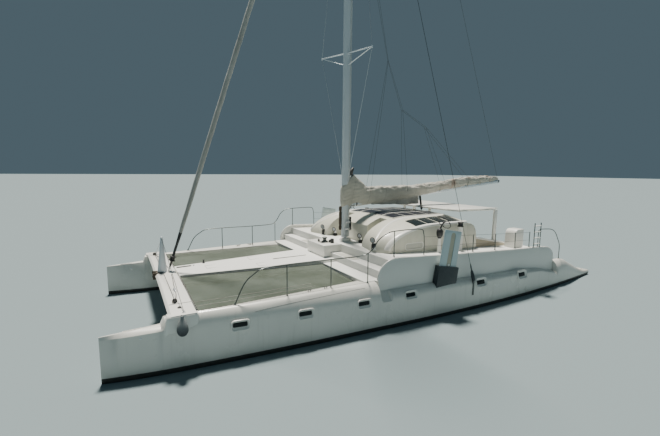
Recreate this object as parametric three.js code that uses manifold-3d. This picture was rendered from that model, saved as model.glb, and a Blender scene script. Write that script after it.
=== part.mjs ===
// Sailing catamaran, built as separate solids in one frame.
// Millimetres. Origin on the waterline amidships, +X to the bow, +Y to port, +Z up.
import * as THREE from 'three';
import { mergeVertices } from 'three/addons/utils/BufferGeometryUtils.js';
import Module from 'manifold-3d';

const wasm = await Module();
wasm.setup();

// Driving dimensions
const GAP = 0.3;              // face to face clearance between touching solids
const HULL_Y = 3600;          // centre plane of each hull
const BOW_X = 10300;          // stem
const STERN_X = -10250;       // end of the swim platform
const HULL_TOP = 1200;        // hull top under the side decks
const BULWARK_FRONT = 2750;   // front end of the raised side wall
const BULWARK_REAR = -6440;   // rear end of the raised side wall
const BULWARK_THICK = 60;
const CAP_FRONT_Z = 2180;     // top of the wall near its front end
const CAP_REAR_Z = 1795;      // top of the wall near its rear end
const CAP_FRONT_X = 2060;
const CAP_REAR_X = -5820;
const DECK_DROP = 120;        // side deck below the wall's top
const TUNNEL_Z = 850;         // underside of the bridge deck
const SOLE_Z = 1000;          // saloon floor
const COCKPIT_Z = 1250;       // cockpit floor
const NET_THICK = 12;
const NET_INNER_Z = 1480;     // underside of the bow nets beside the walkway
const NET_OUTER_Z = 1370;     // underside of the bow nets over the hull's centre plane
const NET_AFT_X = 3200;
const BEAM_FRONT_X = 8830;    // forward crossbeam
const BEAM_AFT_X = 8160;
const BEAM_TOP = 1565;
const BEAM_END_Y = 3960;
const BEAM_LEVEL_Y = 700;     // the beam is level inboard of this and falls towards its ends
const BEAM_FALL = 100;
const MAST_X = 1460;          // mast turning axis
const MAST_FOOT_Z = 2145;
const MAST_TOP = 27500;
const HOUNDS_Z = 21500;       // forestay and cap shrouds meet the mast
const MAST_TURN = 20;         // degrees the wing mast stands turned to port
const MAST_CHORD = 480;
const MAST_THICK = 210;
const ROOF_TOP = 3170;
const CABIN_Y = 2950;         // half width of the coachroof
const CABIN_REAR = -2550;
const SHELL = 70;             // wall of the coachroof
const BOARD_LEAN = 9.9;       // degrees the side boards lean aft at the top
const BOARD_CHORD = 820;
const BOARD_THICK = 80;
const BOARD_Y = 4345;         // centre plane of the side boards
const RUDDER_X = -9250;
const DRIVE_X = -7250;
const WALK_FRONT_HALF = 640;  // half width of the walkway at the beam
const WALK_AFT_HALF = 1160;
const STEP_X = 2560;          // lower step of the foredeck
const BENCH_Z = 1660;
const WELL_FRONT = -2560;     // front wall of the cockpit well
const DOOR_HALF = 430;
const DOOR_TOP = 2890;

// Colours
const finish = (color, roughness = 0.35, metalness = 0) =>
  new THREE.MeshStandardMaterial({ color, roughness, metalness });
const WHITE = () => finish('#e9e6d8');
const DARK = () => finish('#15181a', 0.5);
const STEEL = () => finish('#b9bcbd', 0.25, 0.9);
const MAST_GREY = () => finish('#b4bcc0', 0.4, 0.3);
const NET = () => finish('#6d6a58', 0.8);
const CANVAS = () => finish('#a7a291', 0.9);
const GLASS = () => finish('#20262a', 0.1);

const part = new THREE.Group();

// Solids and meshes
function toSolid(geometry) {
  const bare = geometry.clone();
  bare.deleteAttribute('normal');
  bare.deleteAttribute('uv');
  const merged = mergeVertices(bare, 1e-3);
  return new wasm.Manifold(new wasm.Mesh({
    numProp: 3,
    vertProperties: new Float32Array(merged.attributes.position.array),
    triVerts: new Uint32Array(merged.index.array),
  }));
}

function toGeometry(solid) {
  const mesh = solid.getMesh();
  const geometry = new THREE.BufferGeometry();
  geometry.setAttribute('position', new THREE.BufferAttribute(new Float32Array(mesh.vertProperties), 3));
  geometry.setIndex(new THREE.BufferAttribute(new Uint32Array(mesh.triVerts), 1));
  return geometry;
}

function add(name, shape, material) {
  const geometry = shape.isBufferGeometry ? shape : toGeometry(shape);
  const mesh = new THREE.Mesh(geometry, material);
  mesh.name = name;
  part.add(mesh);
  return mesh;
}

function unite(list) {
  return list.map((one) => (one.isBufferGeometry ? toSolid(one) : one)).reduce((a, b) => a.add(b));
}

function cut(body, tools) {
  return tools.reduce((a, b) => a.subtract(b.isBufferGeometry ? toSolid(b) : b),
    body.isBufferGeometry ? toSolid(body) : body);
}

// The same shape on the other side of the centre plane
function mirrored(shape) {
  const geometry = (shape.isBufferGeometry ? shape : toGeometry(shape)).clone();
  const place = geometry.attributes.position;
  for (let i = 0; i < place.count; i += 1) place.setY(i, -place.getY(i));
  if (geometry.index) {
    const index = geometry.index.array;
    for (let i = 0; i < index.length; i += 3) [index[i], index[i + 2]] = [index[i + 2], index[i]];
    return geometry;
  }
  const p = place.array;
  for (let i = 0; i < p.length; i += 9) {
    for (let k = 0; k < 3; k += 1) [p[i + k], p[i + 6 + k]] = [p[i + 6 + k], p[i + k]];
  }
  return geometry;
}

const SIDES = [['port', (s) => s], ['starboard', mirrored]];

function box(x0, x1, y0, y1, z0, z1) {
  return new THREE.BoxGeometry(x1 - x0, y1 - y0, z1 - z0)
    .translate((x0 + x1) / 2, (y0 + y1) / 2, (z0 + z1) / 2);
}

// Outline in X and Z, thick along Y
function sidePlate(points, y0, y1) {
  const shape = new THREE.Shape(points.map(([x, z]) => new THREE.Vector2(x, z)));
  return new THREE.ExtrudeGeometry(shape, { depth: y1 - y0, bevelEnabled: false })
    .rotateX(Math.PI / 2).translate(0, y1, 0);
}

// Outline in X and Y, thick along Z
function floorPlate(points, z0, z1) {
  const shape = new THREE.Shape(points.map(([x, y]) => new THREE.Vector2(x, y)));
  return new THREE.ExtrudeGeometry(shape, { depth: z1 - z0, bevelEnabled: false }).translate(0, 0, z0);
}

// Outline in Y and Z, thick along X
function crossPlate(points, x0, x1) {
  const shape = new THREE.Shape(points.map(([y, z]) => new THREE.Vector2(y, z)));
  return new THREE.ExtrudeGeometry(shape, { depth: x1 - x0, bevelEnabled: false })
    .rotateX(Math.PI / 2).rotateZ(Math.PI / 2).translate(x0, 0, 0);
}

const v = (x, y, z) => new THREE.Vector3(x, y, z);

// Radius of a many-sided bore that lets a pin of this radius turn
const PIN_PLAY = 0.4;
const boreRadius = (pin, sides) => (pin + PIN_PLAY) / Math.cos(Math.PI / sides);

// Straight round bar
function rod(from, to, radius, sides = 8, endRadius = radius) {
  const along = to.clone().sub(from);
  const turn = new THREE.Quaternion().setFromUnitVectors(v(0, 1, 0), along.clone().normalize());
  const middle = from.clone().add(to).multiplyScalar(0.5);
  return new THREE.CylinderGeometry(endRadius, radius, along.length(), sides)
    .applyQuaternion(turn).translate(middle.x, middle.y, middle.z);
}

// Bore for a pin of this radius, its corners turned half a step from the pin's
function bore(from, to, pin, sides) {
  const along = to.clone().sub(from);
  const turn = new THREE.Quaternion().setFromUnitVectors(v(0, 1, 0), along.clone().normalize());
  const middle = from.clone().add(to).multiplyScalar(0.5);
  const radius = boreRadius(pin, sides);
  return new THREE.CylinderGeometry(radius, radius, along.length(), sides).rotateY(Math.PI / sides)
    .applyQuaternion(turn).translate(middle.x, middle.y, middle.z);
}

// Turned body, its profile in radius and height
const turned = (profile, sides) =>
  new THREE.LatheGeometry(profile.map(([r, z]) => new THREE.Vector2(r, z)), sides, Math.PI / sides)
    .rotateX(Math.PI / 2);

// Bent round tube through points
function bentTube(points, radius, steps, sides = 8, tension = 0.5) {
  const circle = new THREE.Shape();
  circle.absarc(0, 0, radius, 0, Math.PI * 2, false);
  const path = new THREE.CatmullRomCurve3(points, false, 'catmullrom', tension);
  return new THREE.ExtrudeGeometry(circle, {
    steps, extrudePath: path, curveSegments: sides, bevelEnabled: false,
  });
}

// Skin over rings of equal length, closed at both ends
function loft(rings) {
  const n = rings[0].length;
  const position = rings.flat().flatMap((p) => [p.x, p.y, p.z]);
  const index = [];
  for (let i = 0; i < rings.length - 1; i += 1) {
    for (let k = 0; k < n; k += 1) {
      const a = i * n + k;
      const b = i * n + ((k + 1) % n);
      index.push(a, b, a + n, b, b + n, a + n);
    }
  }
  const ends = [[rings[0], 0, true], [rings[rings.length - 1], (rings.length - 1) * n, false]];
  for (const [ring, base, reverse] of ends) {
    const [u, w] = flatAxes(ring);
    const flat = ring.map((p) => new THREE.Vector2(p.dot(u), p.dot(w)));
    const forward = THREE.ShapeUtils.isClockWise(flat) === false;
    for (const [a, b, c] of THREE.ShapeUtils.triangulateShape(flat, [])) {
      if (reverse === forward) index.push(base + a, base + c, base + b);
      else index.push(base + a, base + b, base + c);
    }
  }
  const geometry = new THREE.BufferGeometry();
  geometry.setAttribute('position', new THREE.Float32BufferAttribute(position, 3));
  geometry.setIndex(index);
  return outward(geometry);
}

function flatAxes(ring) {
  const normal = v(0, 0, 0);
  ring.forEach((p, i) => normal.add(p.clone().cross(ring[(i + 1) % ring.length])));
  normal.normalize();
  const u = (Math.abs(normal.z) < 0.9 ? v(0, 0, 1) : v(1, 0, 0)).cross(normal).normalize();
  return [u, normal.clone().cross(u)];
}

function outward(geometry) {
  const p = geometry.attributes.position;
  const index = geometry.index.array;
  const corner = (i) => new THREE.Vector3().fromBufferAttribute(p, i);
  let volume = 0;
  for (let i = 0; i < index.length; i += 3) {
    volume += corner(index[i]).dot(corner(index[i + 1]).cross(corner(index[i + 2])));
  }
  if (volume < 0) {
    for (let i = 0; i < index.length; i += 3) [index[i], index[i + 2]] = [index[i + 2], index[i]];
  }
  return geometry;
}

// Hull stations. Columns: x, half beam at the waterline, keel z, turn of the shoulder z,
// shoulder top offset outboard, shoulder top z, deck edge offset inboard, shoulder bulge 0 to 1.
const STATIONS = [
  [BOW_X, 20, -150, 1080, 14, 1135, 14, 0],
  [10120, 62, -340, 1090, 30, 1146, 30, 0],
  [9600, 165, -450, 1100, 55, 1172, 55, 0.3],
  [9010, 258, -505, 1110, 85, 1205, 85, 0.5],
  [8930, 268, -510, 1040, 120, 1400, 40, 0.7],
  [8700, 296, -520, 1030, 150, 1425, -50, 0.8],
  [7800, 385, -565, 1000, 200, 1430, -80, 1],
  [6200, 520, -620, 970, 260, 1450, -20, 1],
  [4600, 632, -660, 945, 310, 1470, 50, 1],
  [BULWARK_FRONT + 60, 730, -690, 930, 340, 1485, 120, 1],
  [BULWARK_FRONT - 10, 733, -690, 900, 490, HULL_TOP, 300, 0],
  [2440, 762, -700, 900, 520, HULL_TOP, 420, 0],
  [2400, 764, -700, 930, 524, HULL_TOP, 430, 1],
  [0, 860, -715, 930, 620, HULL_TOP, 500, 1],
  [-2200, 885, -690, 920, 645, HULL_TOP, 500, 1],
  [-4400, 850, -620, 900, 610, HULL_TOP, 500, 1],
  [-5560, 790, -560, 880, 550, HULL_TOP, 460, 1],
  [-5700, 780, -550, 860, 560, HULL_TOP, 450, 0],
  [-6340, 742, -510, 850, 640, HULL_TOP - 60, 430, 0],
  [-7120, 690, -450, 840, 600, 1100, 560, 0.6],
  [-7160, 686, -448, 640, 600, 880, 560, 0.6],
  [-7800, 630, -375, 630, 540, 860, 520, 0.6],
  [-7840, 626, -370, 440, 540, 640, 520, 0.6],
  [-8420, 560, -290, 430, 470, 620, 460, 0.6],
  [-8460, 556, -286, 300, 470, 430, 460, 0.6],
  [-9040, 478, -205, 290, 400, 415, 390, 0.6],
  [-9080, 474, -200, 150, 420, 245, 410, 0.6],
  [STERN_X, 330, -50, 130, 290, 225, 280, 0.6],
];

const BILGE_STEPS = 5;
const SHOULDER_STEPS = 5;

function hullRing([x, half, keel, turn, outer, top, inner, bulge], grow) {
  const ring = [];
  const put = (y, z) => ring.push(v(x, HULL_Y + y, z));
  const wide = half + grow;
  for (let i = 0; i <= BILGE_STEPS; i += 1) {
    const a = (i / BILGE_STEPS) * (Math.PI / 2);
    put(wide * Math.sin(a), (keel - grow) * Math.cos(a));
  }
  const side = wide + 28 * Math.min(1, half / 300);
  for (let i = 0; i <= SHOULDER_STEPS; i += 1) {
    const t = i / SHOULDER_STEPS;
    const a = t * (Math.PI / 2);
    const reach = THREE.MathUtils.lerp(1 - t, Math.cos(a), bulge);
    const rise = THREE.MathUtils.lerp(t, Math.sin(a), bulge);
    put(outer + grow + (side - outer - grow) * reach, turn + (top + grow - turn) * rise);
  }
  put(-inner - grow, top + grow - Math.min(60, half * 0.1));
  put(-wide - 10 * Math.min(1, half / 300), turn * 0.72);
  for (let i = BILGE_STEPS; i > 0; i -= 1) {
    const a = (i / BILGE_STEPS) * (Math.PI / 2);
    put(-wide * Math.sin(a), (keel - grow) * Math.cos(a));
  }
  return ring;
}

const hullForm = (grow) => loft(STATIONS.map((row) => hullRing(row, grow)));

function stationValue(x, column) {
  const k = Math.max(1, STATIONS.findIndex((row) => row[0] <= x));
  const [a, b] = [STATIONS[k - 1], STATIONS[k]];
  return THREE.MathUtils.mapLinear(x, a[0], b[0], a[column], b[column]);
}

// Raised side wall: outer face a little inboard of the hull side
const WALL_INSET = 240;
const wallOuter = (x) => HULL_Y + stationValue(x, 1) - WALL_INSET;
const capZ = (x) => THREE.MathUtils.mapLinear(x, CAP_FRONT_X, CAP_REAR_X, CAP_FRONT_Z, CAP_REAR_Z);
const deckZ = (x) => capZ(x) - DECK_DROP;
const WALL_STATIONS = [3000, 2300, 1150, 0, -1100, -2200, -3300, -4400, -5560, BULWARK_REAR];

function wallPlan(outset, inset) {
  const outer = WALL_STATIONS.map((x) => [x, wallOuter(x) + outset]);
  const inner = WALL_STATIONS.map((x) => [x, wallOuter(x) - inset]).reverse();
  return [...outer, ...inner];
}

function bulwark() {
  const blank = toSolid(floorPlate(wallPlan(0, BULWARK_THICK), HULL_TOP + GAP, 2400));
  const arc = (cx, cz, rx, rz, from, to, n) => Array.from({ length: n + 1 }, (_, i) => {
    const a = THREE.MathUtils.degToRad(from + ((to - from) * i) / n);
    return [cx + rx * Math.cos(a), cz + rz * Math.sin(a)];
  });
  const profile = [
    ...arc(CAP_FRONT_X, CAP_FRONT_Z - 640, BULWARK_FRONT - CAP_FRONT_X, 640, 0, 90, 8),
    ...arc(CAP_REAR_X, CAP_REAR_Z - 480, CAP_REAR_X - BULWARK_REAR, 480, 90, 180, 8),
    [BULWARK_REAR, 1000],
    [BULWARK_FRONT - 10, 1000],
  ];
  return cut(unite([blank.intersect(toSolid(sidePlate(profile, 3500, 5000))), capRail()]), [hullForm(GAP)]);
}

function capRail() {
  const plan = floorPlate(wallPlan(18, BULWARK_THICK + 70), 1500, 2400);
  const [front, rear] = [CAP_FRONT_X - 40, CAP_REAR_X + 40];
  const strip = sidePlate([
    [front, capZ(front) - 8], [front, capZ(front) + 40], [rear, capZ(rear) + 40], [rear, capZ(rear) - 8],
  ], 3500, 5000);
  return toSolid(plan).intersect(toSolid(strip));
}

// The saloon stays behind the foot of each recess in the coachroof's front
function saloonSpace() {
  return [[-890, 890, 850], [890, 1490, 270], [-1490, -890, 270], [1490, 2450, 850], [-2450, -1490, 850]]
    .map(([y0, y1, x1]) => box(-2400, x1, y0, y1, SOLE_Z, 3000));
}

// Bridge deck: front steps, side decks, hollow saloon and cockpit well
function bridgeDeck() {
  const profile = [
    [2200, TUNNEL_Z], [3150, 1290], [3150, 1500], [2560, 1500], [2560, 1760], [2120, 1760],
    [2120, deckZ(2120)], [-6150, deckZ(-6150)], [-6150, 1300], [-5850, TUNNEL_Z],
  ];
  const inner = WALL_STATIONS.filter((x) => x <= 2300 && x > BULWARK_REAR);
  const front = BULWARK_FRONT + 2;
  const edge = [[3150, 3920], [front + 10, 3920], [front, wallOuter(front) - BULWARK_THICK - GAP]];
  inner.forEach((x) => edge.push([x, wallOuter(x) - BULWARK_THICK - GAP]));
  edge.push([-6150, wallOuter(-6150) - BULWARK_THICK - GAP]);
  const plan = [...edge, ...edge.map(([x, y]) => [x, -y]).reverse()];
  const body = toSolid(sidePlate(profile, -4400, 4400)).intersect(toSolid(floorPlate(plan, 700, 2400)));
  const hull = hullForm(GAP);
  const sides = coaming();
  return cut(unite([body, sides, mirrored(sides)]), [
    hull, mirrored(hull),
    ...saloonSpace(),
    box(-5650, WELL_FRONT, -1850, 1850, COCKPIT_Z, 3000),
    box(-5650, WELL_FRONT, -2500, 2500, BENCH_Z, 3000),
    box(-2600, -2300, -DOOR_HALF, DOOR_HALF, COCKPIT_Z, 3000),
  ]);
}

// Coachroof over rings from side to side.
// Columns: half width, front foot x, start of the flat roof x, roof z.
const ROOF_EDGE_Z = 2920;
const ROOF_RINGS = [
  [CABIN_Y, 1420, -900, ROOF_EDGE_Z],
  [2520, 1860, -620, 3000],
  [1900, 1700, -560, 3105],
  [900, 1450, -500, ROOF_TOP],
];
const ARCH_STEPS = 7;

function cabinForm(inset, floor) {
  const rows = [...ROOF_RINGS.map((row) => [1, row]), ...[...ROOF_RINGS].reverse().map((row) => [-1, row])];
  const rings = rows.map(([sign, [half, foot, flat, top]]) => {
    const y = sign * (half - (half === CABIN_Y ? inset : 0));
    const base = floor(foot);
    const ring = [];
    for (let i = 0; i <= ARCH_STEPS; i += 1) {
      const a = (i / ARCH_STEPS) * (Math.PI / 2);
      ring.push(v(flat + (foot - inset - flat) * Math.cos(a), y, base + (top - inset - base) * Math.sin(a)));
    }
    ring.push(v(CABIN_REAR + inset, y, top - inset), v(CABIN_REAR + inset, y, floor(CABIN_REAR)));
    return ring;
  });
  return cut(loft(rings), [
    box(1000 - inset, 3000, -960 + inset, 960 - inset, 1500, 4000),
    box(350 - inset, 3000, 960 - inset, 1420 + inset, 1500, 4000),
    box(350 - inset, 3000, -1420 - inset, -960 + inset, 1500, 4000),
  ]);
}

function coachroof() {
  const outer = cabinForm(0, (x) => deckZ(x) + GAP);
  const inner = cabinForm(SHELL, (x) => deckZ(x) - 200);
  let shell = outer.subtract(inner);
  const panes = [0, 1, 2, 3].map((i) => -20 - i * 620);
  for (const side of [1, -1]) {
    for (const x of panes) {
      shell = cut(shell, [box(x - 560, x, side > 0 ? 2000 : -2800, side > 0 ? 2800 : -2000, 2700, 3400)]);
    }
    shell = cut(shell, [
      box(0, 620, side > 0 ? 2800 : -3050, side > 0 ? 3050 : -2800, 2150, 2450),
      box(-2700, -2400, side > 0 ? 750 : -1950, side > 0 ? 1950 : -750, 2150, 2830),
    ]);
  }
  const [trackLow, trackTop] = [DOOR_TOP + 0.4, DOOR_TOP + 45];
  const track = box(WELL_FRONT - 54, CABIN_REAR + 20, -DOOR_HALF - 60, DOOR_HALF * 3 + 60, trackLow, trackTop);
  return unite([cut(shell, [box(-2700, -2400, -DOOR_HALF, DOOR_HALF, 1000, 2860)]), track]);
}

// Smoked panes lie behind the openings
function roofGlazing(sign) {
  const inner = cabinForm(SHELL, (x) => deckZ(x) - 200);
  const sheet = inner.translate([0, 0, -GAP]).subtract(inner.translate([0, 0, -16]));
  const [y0, y1] = sign > 0 ? [1920, 2840] : [-2840, -1920];
  return sheet.intersect(toSolid(box(-2460, 20, y0, y1, 2600, 3300)));
}

// Side board: flat blade with rounded edges and a shallow groove in its outer face
const BOARD_REF = v(-10, BOARD_Y, 1750);
const BOARD_UP = 1220;
const BOARD_DOWN = -2000;
const boardPlace = (mesh, sign) => {
  mesh.position.set(BOARD_REF.x, sign * BOARD_REF.y, BOARD_REF.z);
  mesh.rotation.y = -THREE.MathUtils.degToRad(BOARD_LEAN);
  return mesh;
};

function boardBlank(margin, low, high) {
  const c = BOARD_CHORD / 2 + margin;
  const t = BOARD_THICK / 2 + margin;
  const plan = [[-c, -t * 0.35], [-c + 60, -t], [c - 140, -t], [c, -t * 0.3], [c, t * 0.3], [c - 140, t],
    [-c + 60, t], [-c, t * 0.35]];
  return floorPlate(plan, low, high);
}

function sideBoard() {
  const groove = box(-110, 110, BOARD_THICK / 2 - 22, 100, -60, 1150);
  return cut(boardBlank(0, BOARD_DOWN, BOARD_UP), [groove]);
}

function boardSlot(margin) {
  const lean = -THREE.MathUtils.degToRad(BOARD_LEAN);
  return boardBlank(margin, -3000, 2500).rotateY(lean).translate(BOARD_REF.x, BOARD_REF.y, BOARD_REF.z);
}

function boardCase() {
  const lean = -THREE.MathUtils.degToRad(BOARD_LEAN);
  const blank = box(-465, 465, -112, 92, -900, -30)
    .rotateY(lean).translate(BOARD_REF.x, BOARD_REF.y, BOARD_REF.z);
  return cut(blank, [boardSlot(1), hullForm(GAP), bulwark().translate([0, GAP, 0])]);
}

const STOCK_RADIUS = 36;
const rudderBore = () => bore(v(RUDDER_X, HULL_Y, -600), v(RUDDER_X, HULL_Y, 60), STOCK_RADIUS, 12);

function hull() {
  return cut(hullForm(0), [boardSlot(7), rudderBore()]);
}

function rudder() {
  const blade = [[-10, 0], [60, 26], [200, 30], [520, 6], [560, 0], [520, -6], [200, -30], [60, -26]];
  const plan = blade.map(([x, y]) => [RUDDER_X + 160 - x, HULL_Y + y]);
  return unite([
    floorPlate(plan, -1350, -250),
    rod(v(RUDDER_X, HULL_Y, -300), v(RUDDER_X, HULL_Y, 30), STOCK_RADIUS, 12),
  ]);
}

const HUB_Z = -850;
const SHAFT_RADIUS = 20;
function driveLeg() {
  const section = [[180, 0], [80, 42], [-120, 25], [-180, 0], [-120, -25], [80, -42]];
  const strut = floorPlate(section.map(([x, y]) => [DRIVE_X + x, HULL_Y + y]), HUB_Z, -300);
  const bulb = new THREE.SphereGeometry(1, 12, 8).scale(300, 75, 75).translate(DRIVE_X, HULL_Y, HUB_Z);
  const aft = rod(v(DRIVE_X, HULL_Y, HUB_Z), v(DRIVE_X - 310, HULL_Y, HUB_Z), 62, 12);
  const shaft = rod(v(DRIVE_X, HULL_Y, HUB_Z), v(DRIVE_X - 400, HULL_Y, HUB_Z), SHAFT_RADIUS, 8);
  return cut(unite([strut, bulb, aft, shaft]), [hullForm(GAP)]);
}

function propeller() {
  const hub = rod(v(DRIVE_X - 318, HULL_Y, HUB_Z), v(DRIVE_X - 450, HULL_Y, HUB_Z), 60, 12, 25);
  const blades = [0, 1, 2].map((i) => {
    const blade = new THREE.SphereGeometry(1, 10, 6).scale(18, 75, 120).rotateZ(0.6)
      .translate(0, 0, 140).rotateX((i * Math.PI * 2) / 3);
    return blade.translate(DRIVE_X - 375, HULL_Y, HUB_Z);
  });
  const socket = bore(v(DRIVE_X - 300, HULL_Y, HUB_Z), v(DRIVE_X - 406, HULL_Y, HUB_Z), SHAFT_RADIUS, 8);
  return cut(unite([hub, ...blades]), [socket]);
}

// Forward crossbeam, walkway, nets and striker
function forwardBeam() {
  const low = BEAM_TOP - 270;
  const profile = [[BEAM_AFT_X, BEAM_TOP - 90], [BEAM_AFT_X + 40, BEAM_TOP], [BEAM_FRONT_X - 60, BEAM_TOP],
    [BEAM_FRONT_X, BEAM_TOP - 60], [BEAM_FRONT_X - 60, BEAM_TOP - 170], [BEAM_FRONT_X - 250, low],
    [BEAM_AFT_X + 180, low], [BEAM_AFT_X + 30, BEAM_TOP - 170]];
  const across = [BEAM_LEVEL_Y, 1500, 2400, 3200, BEAM_END_Y];
  const rings = [...across.map((y) => -y).reverse(), ...across].map((y) => {
    const fall = BEAM_FALL * ((Math.abs(y) - BEAM_LEVEL_Y) / (BEAM_END_Y - BEAM_LEVEL_Y)) ** 2;
    return profile.map(([x, z]) => v(x, y, z - fall));
  });
  const form = hullForm(GAP);
  return cut(unite([loft(rings), stayFoot()]), [form, mirrored(form)]);
}

const walkZ = (x) => THREE.MathUtils.mapLinear(x, BEAM_AFT_X, STEP_X, 1560, 1590);
const walkHalf = (x) => THREE.MathUtils.mapLinear(x, BEAM_AFT_X, NET_AFT_X, WALK_FRONT_HALF, WALK_AFT_HALF);

function walkway() {
  const front = BEAM_AFT_X - GAP;
  const aft = STEP_X + GAP;
  const profile = [[front, 1400], [front, walkZ(front)], [aft, walkZ(aft)], [aft, 1500 + GAP],
    [3150 + GAP, 1500 + GAP], [3150 + GAP, 1310], [5500, 1330]];
  const plan = [[front, walkHalf(front)], [NET_AFT_X, WALK_AFT_HALF], [aft, WALK_AFT_HALF],
    [aft, -WALK_AFT_HALF], [NET_AFT_X, -WALK_AFT_HALF], [front, -walkHalf(front)]];
  return toSolid(sidePlate(profile, -2000, 2000)).intersect(toSolid(floorPlate(plan, 1000, 2000)));
}

function bowNet() {
  const front = BEAM_AFT_X - GAP;
  const aft = 3150 + GAP;
  const outer = HULL_Y + 130;
  const plan = [[front, walkHalf(front) + GAP], [front, outer], [aft, outer], [aft, WALK_AFT_HALF + GAP],
    [NET_AFT_X, WALK_AFT_HALF + GAP]];
  const sheet = floorPlate(plan, 0, NET_THICK);
  const place = sheet.attributes.position;
  for (let i = 0; i < place.count; i += 1) {
    const level = THREE.MathUtils.mapLinear(place.getY(i), WALK_FRONT_HALF, HULL_Y, NET_INNER_Z, NET_OUTER_Z);
    place.setZ(i, place.getZ(i) + level);
  }
  return cut(sheet, [hullForm(GAP)]);
}

const STRIKER_TOP = v(8570, 0, 2690);
function strikerPost() {
  const level = (x0, x1, y, z) => [v(x0, -y * 0.5, z), v((x0 + x1) / 2, -y, z), v(x1, -y * 0.4, z),
    v(x1, y * 0.4, z), v((x0 + x1) / 2, y, z), v(x0, y * 0.5, z)];
  const post = loft([level(8450, 8750, 62, BEAM_TOP + GAP), level(8525, 8625, 36, STRIKER_TOP.z)]);
  const knob = new THREE.SphereGeometry(48, 12, 8).translate(STRIKER_TOP.x + 5, 0, STRIKER_TOP.z + 25);
  return unite([post, knob]);
}

function windlassLocker() {
  const step = STEP_X + GAP * 2;
  const profile = [[2120 + GAP, 1760 + GAP], [2120 + GAP, 2060], [2880, 2060], [2880, walkZ(2880) + GAP],
    [step, walkZ(step) + GAP], [step, 1760 + GAP]];
  const spindle = rod(v(WINDLASS.x, WINDLASS.y, 2000), v(WINDLASS.x, WINDLASS.y, 2130), SPINDLE_RADIUS, 16);
  return unite([sidePlate(profile, -740, 740), spindle]);
}

const WINDLASS = v(2480, 60, 2066);
function windlass() {
  const profile = [[0, 76], [SPINDLE_BORE, 76], [SPINDLE_BORE, 0], [130, 0], [130, 40], [70, 70], [70, 130],
    [105, 165], [105, 195], [0, 215]];
  return turned(profile, 16);
}

const WINCH_AT = v(-1890, 3180, 2820);
const SPINDLE_RADIUS = 30;
const SPINDLE_BORE = boreRadius(SPINDLE_RADIUS, 16);
function winchPedestal() {
  const base = deckZ(WINCH_AT.x + 120) + GAP;
  const level = (z) => v(WINCH_AT.x, WINCH_AT.y, z);
  return unite([
    rod(level(base), level(WINCH_AT.z - 6), 115, 16, 95),
    rod(level(WINCH_AT.z - 60), level(WINCH_AT.z + 70), SPINDLE_RADIUS, 16),
  ]);
}

function winchShape() {
  const profile = [[0, 76], [SPINDLE_BORE, 76], [SPINDLE_BORE, 0], [105, 0], [105, 35], [80, 60], [78, 130],
    [100, 165], [100, 180], [0, 195]];
  return turned(profile, 16);
}

// Rig
const HOUNDS = v(MAST_X + 330, 0, HOUNDS_Z);
const STAY_FOOT = v(8400, 0, BEAM_TOP + 40);

function mastSection(scale) {
  const c = MAST_CHORD * scale;
  const t = MAST_THICK * scale;
  const outline = [[0.48, 0], [0.44, 0.3], [0.3, 0.46], [0.08, 0.5], [-0.18, 0.44], [-0.4, 0.24],
    [-0.52, 0.06]];
  const ring = [...outline, ...outline.slice(1).map(([x, y]) => [x, -y]).reverse()];
  return ring.map(([x, y]) => [x * c, y * t]);
}

function mast() {
  const level = (z, scale) => mastSection(scale).map(([x, y]) => v(x, y, z));
  const wing = loft([level(2200, 1), level(21000, 1), level(MAST_TOP, 0.62)]);
  const heel = rod(v(0, 0, MAST_FOOT_Z + GAP), v(0, 0, 2210), 70, 16);
  const pin = GOOSENECK.x;
  const lugs = [[3424, 3450], [3630, 3656]]
    .map(([z0, z1]) => box(pin - 34, -MAST_CHORD * 0.44, -34, 34, z0, z1));
  const bolt = rod(v(pin, 0, 3430), v(pin, 0, 3650), PIN_RADIUS, 12);
  const wires = diamond();
  return unite([wing, heel, ...lugs, bolt, wires, mirrored(wires)]);
}

// Boom pin on the mast's own axes
const GOOSENECK = v(-MAST_CHORD * 0.52 - 80, 0, 3540);
const PIN_RADIUS = 14;
const SPREADER = { tip: v(110, 1260, 9600), root: 9600, brace: 9150, top: 19800, foot: 4300 };
function diamond() {
  const root = 0.4 * MAST_THICK;
  const wire = 8;
  return unite([
    rod(v(60, root, SPREADER.root), SPREADER.tip, 26, 8),
    rod(v(40, root, SPREADER.brace), SPREADER.tip, 18, 6),
    rod(SPREADER.tip, v(30, root - 40, SPREADER.top), wire, 4),
    rod(SPREADER.tip, v(30, root - 40, SPREADER.foot), wire, 4),
  ]);
}

const BOOM_RISE = 0.098;
const BOOM_RADIUS = 108;
const boomZ = (x) => 3560 + (1100 - x) * BOOM_RISE;

const BOOM_ENDS = [v(1010, -90, boomZ(1010)), v(-8350, 0, boomZ(-8350))];
function boomTube(grow) {
  const [start, end] = BOOM_ENDS;
  const past = end.clone().sub(start).normalize().multiplyScalar(grow * 400);
  return rod(start.clone().sub(past), end.clone().add(past), BOOM_RADIUS + grow, 14);
}

function boom() {
  const [start] = BOOM_ENDS;
  const pin = boomPin();
  const eye = rod(v(pin.x, pin.y, 3456), v(pin.x, pin.y, 3624), 36, 12);
  const neck = rod(v(pin.x - 10, pin.y, 3545), v(start.x - 60, start.y, boomZ(start.x - 60)), 34, 10);
  const socket = bore(v(pin.x, pin.y, 3300), v(pin.x, pin.y, 3800), PIN_RADIUS, 12);
  return cut(unite([boomTube(0), neck, eye]), [socket]);
}

const boomPin = () => GOOSENECK.clone().applyAxisAngle(v(0, 0, 1), THREE.MathUtils.degToRad(MAST_TURN))
  .add(v(MAST_X, 0, 0));

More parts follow.
